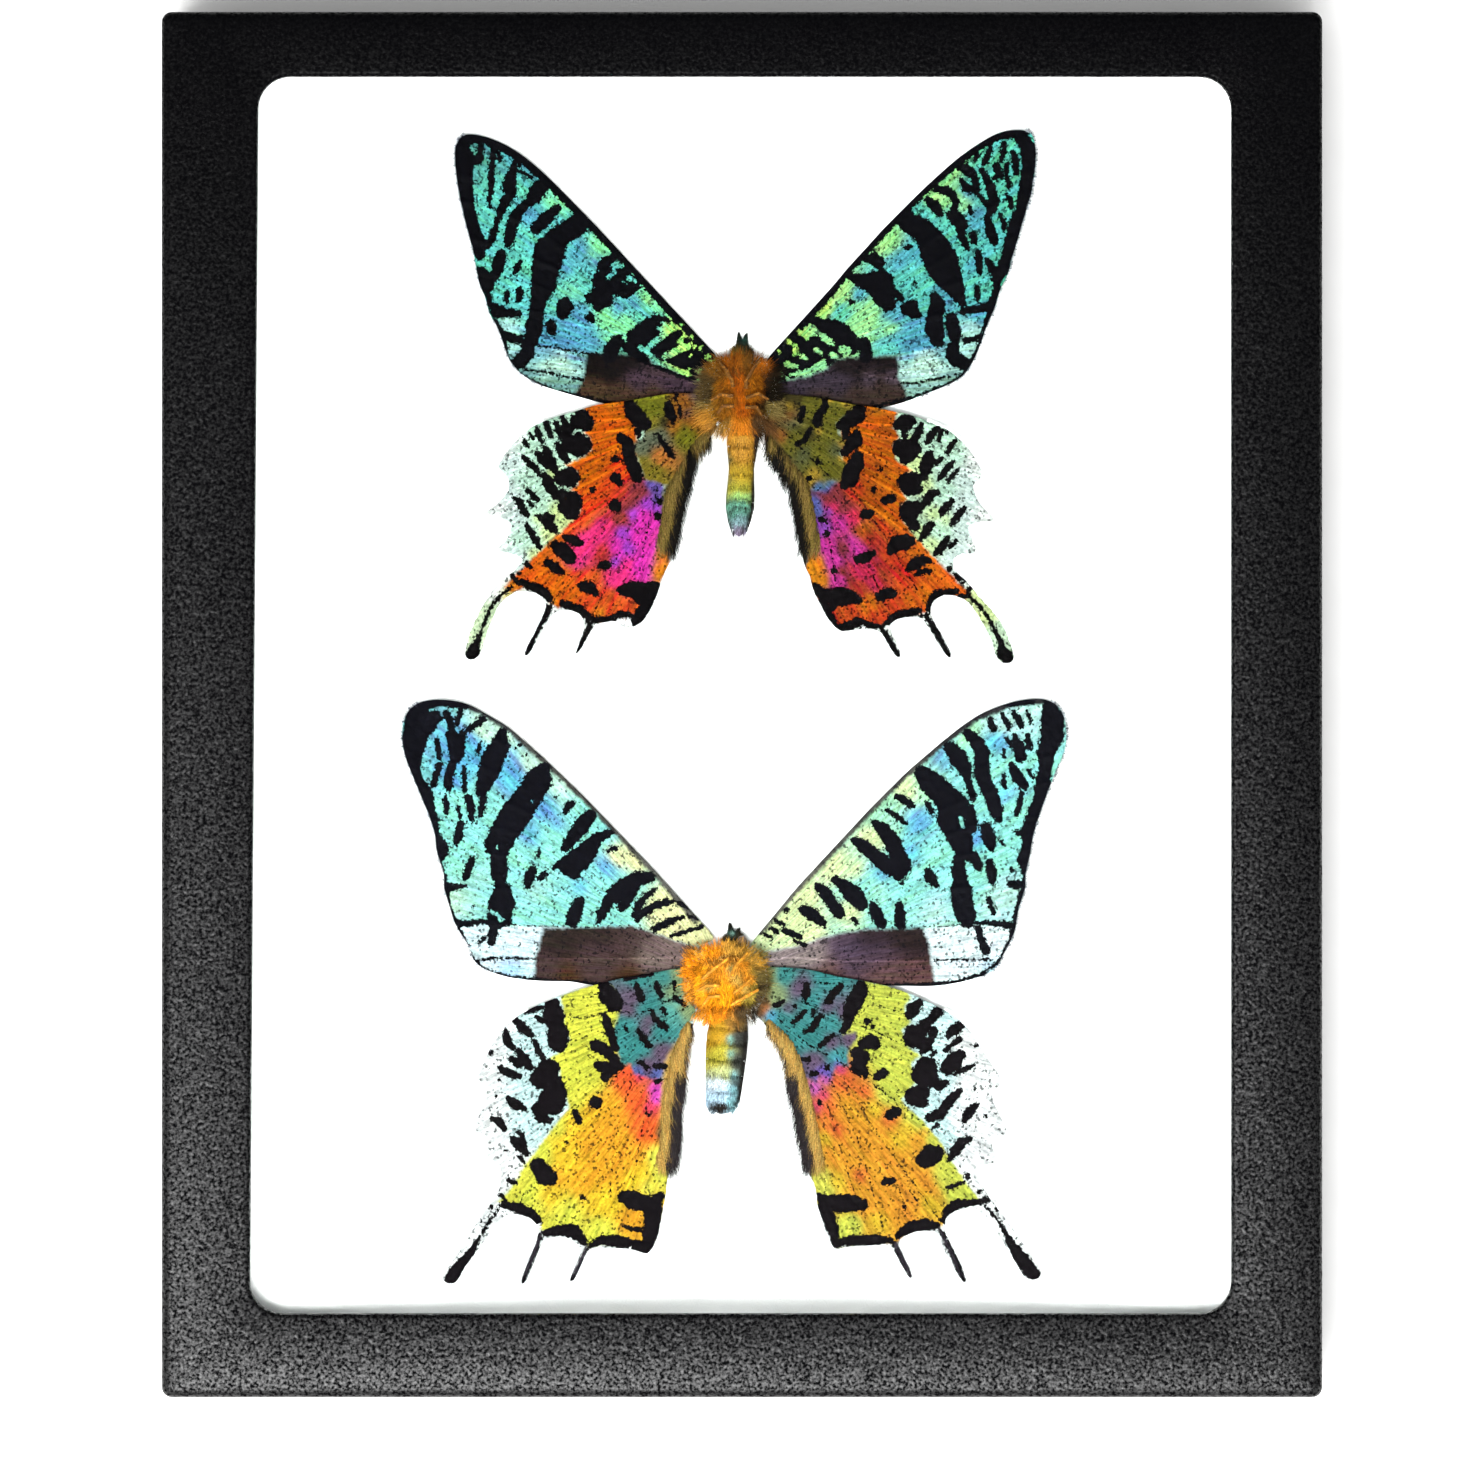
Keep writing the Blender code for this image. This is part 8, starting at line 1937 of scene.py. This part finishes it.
hairs = loose_hair(
    picker, "upper_moth", 1500,
    [(-3.9, -1.5, 190), (-4.2, -2.8, 205), (-3.6, -3.9, 215), (3.9, -1.5, -10), (4.2, -2.8, -25),
     (3.4, -4.2, -50), (-2.2, -4.8, 250), (2.4, -4.8, -75), (1.8, -5.4, -80), (-4.0, 1.8, 160),
     (4.2, 2.2, 20)],
    {
        "#B07828": [(-4, -3, 0.8), (-1.8, -5, 0.5)], "#7A6838": [(-4.4, -1, 0.8), (4, -2, 0.8)],
        "#5A3A1C": [(3.3, -4, 0.7)], "#1C1814": [(2.6, -5.2, 0.6), (4.4, 1, 0.8)],
        "#6A6048": [(-2.5, -4.8, 0.4), (-4.4, 1.8, 0.6)],
    },
    (1.0, 2.3), 11.75,
)
hair_piece("upper_moth_wing_root_hair", hairs, 0.08, 0.25, 0.5)
hairs = loose_hair(
    picker, "upper_moth", 500,
    [(-1.2, -3.9, -100), (0.2, -4.1, -90), (1.4, -3.9, -80), (2.2, -3.4, -65)],
    {"#C87418": [(0, -4, 0.8)], "#8A6428": [(-1.6, -4, 0.5)], "#3A2A18": [(2.2, -3.8, 0.5)]},
    (1.2, 2.2), 12.6,
)
hair_piece("upper_moth_collar_hair", hairs, 0.08, 0.25, 0.6)
hairs = loose_hair(
    picker, "upper_moth", 1700,
    [(-1.4, 3.6, 105), (0, 3.8, 90), (1.2, 3.7, 80), (-2.4, 3.4, 125), (-3.2, 2.9, 140),
     (-3.9, 1.8, 165), (-4.2, 0.6, 178), (-4.2, -0.4, 185), (2.3, 3.3, 60), (3.2, 3, 45),
     (4, 1.9, 20), (4.3, 0.7, 5), (4.3, -0.4, -5)],
    {
        "#8C4A0A": [(-1, 3.6, 0.9), (2.6, 3.2, 0.7)], "#6E4612": [(-3, 3, 0.8), (1, 3.8, 0.6)],
        "#4A3A1E": [(-4.4, 1.2, 0.8), (-4.4, -0.4, 0.7)],
        "#171108": [(4.4, 1.8, 0.8), (4.5, 0, 0.8), (1.6, 3.9, 0.4)],
    },
    (0.9, 1.7), 12.2,
)
hair_piece("upper_moth_shoulder_hair", hairs, 0.085, 0.3, 0.6)
hairs = abdomen_scales(
    picker, "upper_moth", 2200, UPPER_ABDOMEN, UPPER_ABDOMEN_COLOURS, UPPER_ABDOMEN_DARK
)
hair_piece("upper_moth_abdomen_scales", hairs, 0.08, 0.5, 0.85)


# Lower moth, body
# A broad bright orange thorax and a thick, straight abdomen, yellow to white on the left
# and dark on the right, cut off at a dark round opening.
picker = random.Random(22)
make_trunk("lower_moth", (1.2, 4.9), 1.9, [(0.65, 7.9), (1.7, 7.2)], "#7A4A14", "#15130F")
LOWER_ABDOMEN = [
    (3.4, 0), (4.2, 1.5), (5.2, 2.3), (6.2, 2.75), (8, 2.9), (10, 2.85), (13, 2.65),
    (15, 2.5), (16.6, 2.35), (17.3, 2.05), (17.9, 1.55), (18.3, 1.05), (18.5, 0.6), (18.6, 0),
]
LOWER_ABDOMEN_COLOURS = {
    "#8A6715": [(-1, -6.5, 0.9), (-1.5, -8, 0.7)], "#887F26": [(-0.6, -9.8, 0.8), (-1.4, -11, 0.6)],
    "#909562": [(-1.2, -12.4, 0.5), (0, -12.8, 0.5)], "#9CA5AD": [(-1, -14.2, 0.7)],
    "#8AA1B1": [(-1.2, -16, 0.7), (-0.2, -15.4, 0.6)],
    "#628D92": [(0.9, -15, 0.4), (0.8, -16.5, 0.4), (1, -13, 0.3)],
    "#577D75": [(0.6, -10, 0.35), (0.7, -8, 0.3)], "#2C2E2C": [(1.8, -8, 0.6), (1.7, -11, 0.6)],
    "#2C3839": [(1.6, -14, 0.4)], "#704E20": [(0.6, -5.8, 0.5)],
}
LOWER_ABDOMEN_DARK = [
    [(3.2, -7, 0.7), (2.9, -10, 0.7), (2.5, -13, 0.55), (2, -15.5, 0.4), (1.3, -17.2, 0.2)],
    [(1.3, -6, 0.15), (1.9, -7, 0.2)],
    [(-2.3, -17.4, 0.2), (-2, -18.1, 0.25), (-1, -18.5, 0.25), (0, -18.3, 0.2)],
    [(-1.7, -17.3, 0.5), (-0.9, -17.5, 0.8), (-0.1, -17.4, 0.6)],
    [(-1.9, -11.1, 0.02), (0, -11.3, 0.02), (1.5, -11, 0.05)],
    [(-2.3, -13.3, 0.0), (0.2, -13.5, 0.03), (1.6, -13.2, 0.06)],
    [(-2.3, -15.6, 0.0), (0.3, -15.6, 0.02)],
]
make_abdomen("lower_moth", LOWER_ABDOMEN, 2.2, LOWER_ABDOMEN_COLOURS, LOWER_ABDOMEN_DARK)
LOWER_FUR = {
    "#EB9612": [(-3.4, 2, 1), (-3.8, 0.8, 0.8), (0.2, -1, 1.1), (-1.2, -2, 0.9),
                (-1.5, -3.8, 0.8), (1, -3, 0.6)],
    "#DB8B20": [(-1.5, 1.5, 0.9), (2.2, 2.5, 0.7), (3, 0.8, 0.7), (-3, -3.2, 0.6),
                (0.2, 2.8, 0.7)],
    "#CBA74F": [(-2.5, 3.4, 0.6), (1, 4.2, 0.6), (1.5, 0.6, 0.5), (-2, -0.4, 0.4),
                (2.2, -0.4, 0.5)],
    "#B4A560": [(-0.3, 3.8, 0.4), (0.8, 2.2, 0.4), (2.8, 3.9, 0.4)],
    "#968536": [(3.9, 1.8, 0.7), (4.2, -0.8, 0.7), (3, -3.2, 0.7), (2.2, -2, 0.4)],
    "#C39458": [(-5, 1.3, 0.6)],
    "#383524": [(4.9, 0.6, 0.5), (4, -3, 0.4), (1.8, 5.8, 0.5), (0.8, 5.8, 0.4),
                (3.8, 3.4, 0.3)],
}
hairs = thorax_fur(picker, "lower_moth", 6400, LOWER_FUR)
hair_piece("lower_moth_thorax_fur", hairs, 0.085, 0.3, 0.7)
hairs = loose_hair(
    picker, "lower_moth", 1500,
    [(-4.8, 1.2, 190), (-4.6, -0.4, 200), (-4.4, -1.8, 215), (-3.2, -4.4, 245), (-2.2, -4.9, 260),
     (4.8, 0.6, -5), (4.7, -1, -20), (4.4, -2.6, -35), (3.6, -4.3, -65), (1.6, -5, -85), (4.2, 3, 20),
     (-4.4, 3, 150), (-0.6, -5, 268)],
    {
        "#D88A28": [(-4.5, 0.5, 1), (-3, -4.5, 0.7), (-1, -5, 0.5)],
        "#8A7A40": [(4.6, 0, 0.8), (4.4, 3, 0.6)], "#5A4830": [(4.4, -2.4, 0.7)],
        "#2A241C": [(3.6, -4.6, 0.6), (4.9, 1, 0.3)], "#7A8A50": [(4.8, -0.5, 0.3)],
    },
    (0.7, 1.5), 11.75,
)
hair_piece("lower_moth_wing_root_hair", hairs, 0.08, 0.25, 0.5)
hairs = loose_hair(
    picker, "lower_moth", 600,
    [(-1.8, -4.2, -100), (-0.4, -4.4, -92), (1, -4.3, -86), (2.4, -3.9, -75)],
    {"#E88A18": [(-1, -4.4, 0.9)], "#A87A34": [(0.6, -4.8, 0.4)], "#4A3A24": [(2.2, -4.2, 0.6)]},
    (0.9, 1.6), 12.7,
)
hair_piece("lower_moth_collar_hair", hairs, 0.08, 0.25, 0.6)
hairs = loose_hair(
    picker, "lower_moth", 1700,
    [(-1.2, 4, 105), (0.2, 4.2, 92), (1.4, 4.2, 85), (-2.4, 3.7, 120), (-3.4, 3.2, 135),
     (-4.2, 2.4, 155), (-4.7, 1.2, 172), (2.6, 3.8, 65), (3.5, 3.2, 45), (4.4, 2.2, 22),
     (4.8, 0.9, 5), (4.8, -0.6, -8)],
    {
        "#E48A14": [(-2, 3.8, 1), (-4.2, 2.4, 0.9)], "#D09A3C": [(0.6, 4.2, 0.7), (-3.4, 3.4, 0.5)],
        "#A87A2C": [(2.8, 3.6, 0.7), (4.4, 2.2, 0.6)], "#6A5A30": [(4.8, 0.6, 0.7), (3.6, 3.8, 0.3)],
        "#3A2E1C": [(1.6, 4.6, 0.3), (4.9, -0.6, 0.4)],
    },
    (0.6, 1.2), 12.3,
)
hair_piece("lower_moth_shoulder_hair", hairs, 0.085, 0.3, 0.65)
hairs = abdomen_scales(
    picker, "lower_moth", 3000, LOWER_ABDOMEN, LOWER_ABDOMEN_COLOURS, LOWER_ABDOMEN_DARK
)
hair_piece("lower_moth_abdomen_scales", hairs, 0.08, 0.5, 0.85)


# Head hair
# Short dark scales and bristles cover both heads and their palps and give them a rough
# outline. A brown glassy eye shows beside the lower moth's palps.
HEADS = {
    "upper_moth": {
        "centre": (0.3, 4.9), "radius": 1.55, "palp_tips": [(-0.05, 7.7), (0.85, 7.6)],
        "colours": {
            "#10140F": [(0.4, 7, 1)], "#6A5A24": [(-1.2, 5.5, 0.8)], "#2A5A50": [(0.5, 6.9, 0.3)],
        },
    },
    "lower_moth": {
        "centre": (1.2, 4.9), "radius": 1.7, "palp_tips": [(0.65, 7.4), (1.7, 6.7)],
        "colours": {
            "#14120E": [(1, 7, 1)], "#5A4A30": [(2.6, 5.8, 0.6), (-0.4, 5.4, 0.5)],
            "#8AB8A8": [(0.9, 6.3, 0.25)],
        },
    },
}
HEAD_HAIRS = 1600
picker = random.Random(23)
for moth, head_sizes in HEADS.items():
    head, radius = head_sizes["centre"], head_sizes["radius"]
    centre = Vector((*MOTHS[moth]["centre"], BODY_LEVEL))
    roots, hairs = [], []
    for index in range(HEAD_HAIRS):
        if index % 2:
            turn = picker.uniform(-0.3, math.pi + 0.3)
            up = picker.uniform(0, 1)
            across = math.sqrt(1 - up * up)
            out = Vector((math.cos(turn) * across, math.sin(turn) * across, up))
            root = Vector((head[0], head[1], 0)) + out * radius * 0.85
            flow = Vector((out.x * 0.6, 0.8, 0.1))
            reach = picker.uniform(0.4, 0.8)
        else:
            tip = picker.choice(head_sizes["palp_tips"])
            along = picker.uniform(0.35, 1.08)
            turn = picker.uniform(0, 2 * math.pi)
            around = Vector((math.cos(turn), 0, math.sin(turn))) * 0.7 * (1.2 - along)
            root = Vector((head[0], head[1], 0)).lerp(Vector((tip[0], tip[1], 0.3)), along) + around
            flow = Vector((tip[0] - head[0] + around.x * 1.5, tip[1] - head[1], around.z))
            flow.normalize()
            reach = picker.uniform(0.3, 0.6)
        roots.append(root)
        start = root + centre
        hairs.append([start, start + flow * reach * 0.5 + Vector((0, 0, 0.1)), start + flow * reach])
    toned = list(zip(hairs, hair_tones(picker, roots, head_sizes["colours"], 0.4)))
    hair_piece(f"{moth}_head_hair", toned, 0.09, 0.3, 0.7)

# Moth's eye: a smooth, dark brown, slightly glossy ball.
eye_glass, tree = new_material("dark_brown_eye")
surface = add_node(
    tree, "ShaderNodeBsdfPrincipled",
    {"Base Color": linear("#4A3424"), "Roughness": 0.3, "Specular IOR Level": 0.5},
)
add_node(tree, "ShaderNodeOutputMaterial", {"Surface": surface.outputs[0]})
bm = bmesh.new()
bmesh.ops.create_icosphere(bm, subdivisions=3, radius=0.75 * MM)
eye_x, eye_y = MOTHS["lower_moth"]["centre"]
bmesh.ops.translate(bm, vec=Vector((eye_x + 2.25, eye_y + 5.5, BODY_LEVEL + 1.0)) * MM, verts=bm.verts)
eye = new_piece("lower_moth_eye", bm, eye_glass)
eye.data.shade_smooth()


# Legs
# The thin jointed legs are folded flat against the thorax, brown with golden scales, and
# nearly lost in the fur.
# Leg scales: brown with golden flecks, darker on the upper moth.
LEG_TONES = {"upper_moth": ("#4A2C0E", "#8E5A1C"), "lower_moth": ("#94601A", "#D8922A")}
for moth, (brown, golden) in LEG_TONES.items():
    leg_scales, tree = new_material(f"{moth}_leg_scales")
    place = add_node(tree, "ShaderNodeTexCoord")
    flecks = add_node(
        tree, "ShaderNodeTexNoise",
        {
            "Vector": place.outputs["Object"], "Scale": 1 / (0.5 * MM), "Detail": 3.0,
            "Roughness": 0.7,
        },
    )
    gold = add_node(
        tree, "ShaderNodeMapRange",
        {"Value": flecks.outputs["Fac"], "From Min": 0.5, "From Max": 0.65},
    )
    tint = add_node(
        tree, "ShaderNodeMix", {0: gold.outputs[0], 6: linear(brown), 7: linear(golden)},
        data_type="RGBA",
    )
    surface = add_node(
        tree, "ShaderNodeBsdfPrincipled",
        {"Base Color": tint.outputs[2], "Roughness": 0.6, "Specular IOR Level": 0.08},
    )
    add_node(tree, "ShaderNodeOutputMaterial", {"Surface": surface.outputs[0]})
    for node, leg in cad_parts.items():
        if node.startswith(moth) and node.endswith("leg"):
            leg.data.materials.clear()
            leg.data.materials.append(leg_scales)


# Fringes
# Every wing edge carries a fine fringe: short white hair round the hindwings and their
# tails, short dark hair on the forewings' outer edges, and long soft hair along the
# hindwings' inner margins, golden with black outside it. Dark hair lines the lower moth's
# second and third tails.
def wing_rim(moth, wing):
    """Points along a wing's outline in mm, each with the way out, (x, y, out x, out y)."""
    centre_x, centre_y = MOTHS[moth]["centre"]
    bm = wing_sheet(f"{moth}_{wing}")
    rim = []
    for edge in bm.edges:
        if edge.is_boundary and edge.calc_length() > 0.02 * MM:
            one, two = edge.verts[0].co, edge.verts[1].co
            middle = (one + two) / 2
            along = (two - one).normalized()
            out = Vector((along.y, -along.x, 0))
            if (edge.link_faces[0].calc_center_median() - middle).dot(out) > 0:
                out = -out
            rim.append((middle.x / MM - centre_x, middle.y / MM - centre_y, out.x, out.y))
    bm.free()
    return sorted(rim)


def fringe_hair(picker, moth, x, y, level, flow, length):
    centre = MOTHS[moth]["centre"]
    height = level + wing_rise(centre[0] + x)
    root = Vector((centre[0] + x, centre[1] + y, height))
    side = Vector((-flow.y, flow.x, 0)) * picker.uniform(-0.12, 0.12) * length
    return [root, root + flow * length * 0.5 + Vector((0, 0, 0.06)), root + flow * length + side]


def short_fringe(picker, moth, point, level, droop, tones, lengths):
    """Two short hairs at a point of a wing's rim, pointing outwards and a little back."""
    x, y, out_x, out_y = point
    hairs = []
    for _ in range(2):
        flow = Vector((out_x + picker.gauss(0, 0.2), out_y + picker.gauss(0, 0.2) - droop, 0))
        flow.normalize()
        colour = tones(picker)
        hairs.append((fringe_hair(
            picker, moth, x - out_x * 0.1, y - out_y * 0.1, level - 0.03, flow,
            picker.uniform(*lengths),
        ), colour))
    return hairs


def white_tone(picker):
    return numpy.array(linear("#F4F6F8")[:3]) * picker.uniform(0.85, 1.05)


def dark_tone(picker):
    return numpy.array(linear(picker.choice(["#16161E", "#2A2A34", "#9AA0A8"]))[:3])


def inner_margin(picker, moth, side, point, sizes):
    """Long soft hair over the inner margin, dark near the rim and golden further in."""
    x, y, out_x, out_y = point
    hairs = []
    for _ in range(14):
        depth = picker.uniform(0.1, min(2.9, 1.0 - (y - INNER_TOP) * 0.24))
        band = sizes["band"] if y < sizes["band_top"] else sizes["narrow_band"]
        tone = picker.choice(sizes["dark"] if depth < band else sizes["golden"])
        flow = Vector((out_x, out_y, 0)) * 0.25 + Vector((side * 0.1, -1, 0))
        flow += Vector((picker.gauss(0, 0.15), 0, 0))
        flow.normalize()
        length = picker.uniform(1.5, 3.0)
        colour = numpy.array(linear(tone)[:3]) * picker.uniform(0.5, 1.2)
        hairs.append((fringe_hair(
            picker, moth, x - out_x * depth, y - out_y * depth,
            HINDWING_TOP + 0.1 + 0.12 * picker.random(), flow, length,
        ), colour))
    return hairs


def tail_hair(picker, moth, start, end):
    """Dark hair along a tail, from its root to near its end."""
    hairs = []
    run = Vector((end[0] - start[0], end[1] - start[1], 0))
    for _ in range(150):
        share = picker.uniform(0.0, 0.88)
        flow = run.normalized() + Vector((picker.gauss(0, 0.16), picker.gauss(0, 0.08), 0))
        flow.normalize()
        x = start[0] + run.x * share + picker.gauss(0, 0.13)
        y = start[1] + run.y * share
        colour = numpy.array(linear(picker.choice(["#1C181E", "#3A343C", "#121014"]))[:3])
        hairs.append((fringe_hair(
            picker, moth, x, y, HINDWING_TOP + 0.05, flow, picker.uniform(0.6, 1.3),
        ), colour))
    return hairs


INNER_TOP = -6.0
INNER_MARGINS = {
    "lower_moth": {
        "lowest": -25.5, "band": 1.7, "band_top": -12, "narrow_band": 0.4,
        "dark": ["#1E1A1C", "#2E282A"], "golden": ["#B88C44", "#8A6834", "#A08A4A"],
    },
    "upper_moth": {
        "lowest": -21.5, "band": 1.6, "band_top": -8, "narrow_band": 0.5,
        "dark": ["#080706", "#100D0B"], "golden": ["#6A5A28", "#4A3C1C", "#7A6030"],
    },
}
HAIRY_TAILS = {
    "left": [((-19, -36.4), (-21.2, -41.2)), ((-25.3, -34.6), (-28, -41.4))],
    "right": [((23.3, -36), (25.6, -40.8)), ((29.5, -34), (32.8, -41.4))],
}
picker = random.Random(31)
for moth in MOTHS:
    sizes = INNER_MARGINS[moth]
    for side_name, side in (("left", -1), ("right", 1)):
        hairs = []
        for point in wing_rim(moth, f"{side_name}_hindwing"):
            x, y, out_x, out_y = point
            if abs(x) < 12.5 and sizes["lowest"] < y < INNER_TOP and out_x * side < -0.4:
                hairs += inner_margin(picker, moth, side, point, sizes)
            elif y < -4:
                hairs += short_fringe(
                    picker, moth, point, HINDWING_TOP, 0.2, white_tone, (0.4, 0.9)
                )
        if moth == "lower_moth":
            for start, end in HAIRY_TAILS[side_name]:
                hairs += tail_hair(picker, moth, start, end)
        hair_piece(f"{moth}_{side_name}_hindwing_fringe", hairs, 0.06, 0.3, 1.0)
        hairs = []
        for point in wing_rim(moth, f"{side_name}_forewing"):
            if point[2] * side > 0.35 and abs(point[0]) > 25:
                hairs += short_fringe(
                    picker, moth, point, FOREWING_TOP, 0.0, dark_tone, (0.3, 0.65)
                )
        hair_piece(f"{moth}_{side_name}_forewing_fringe", hairs, 0.06, 0.3, 1.0)
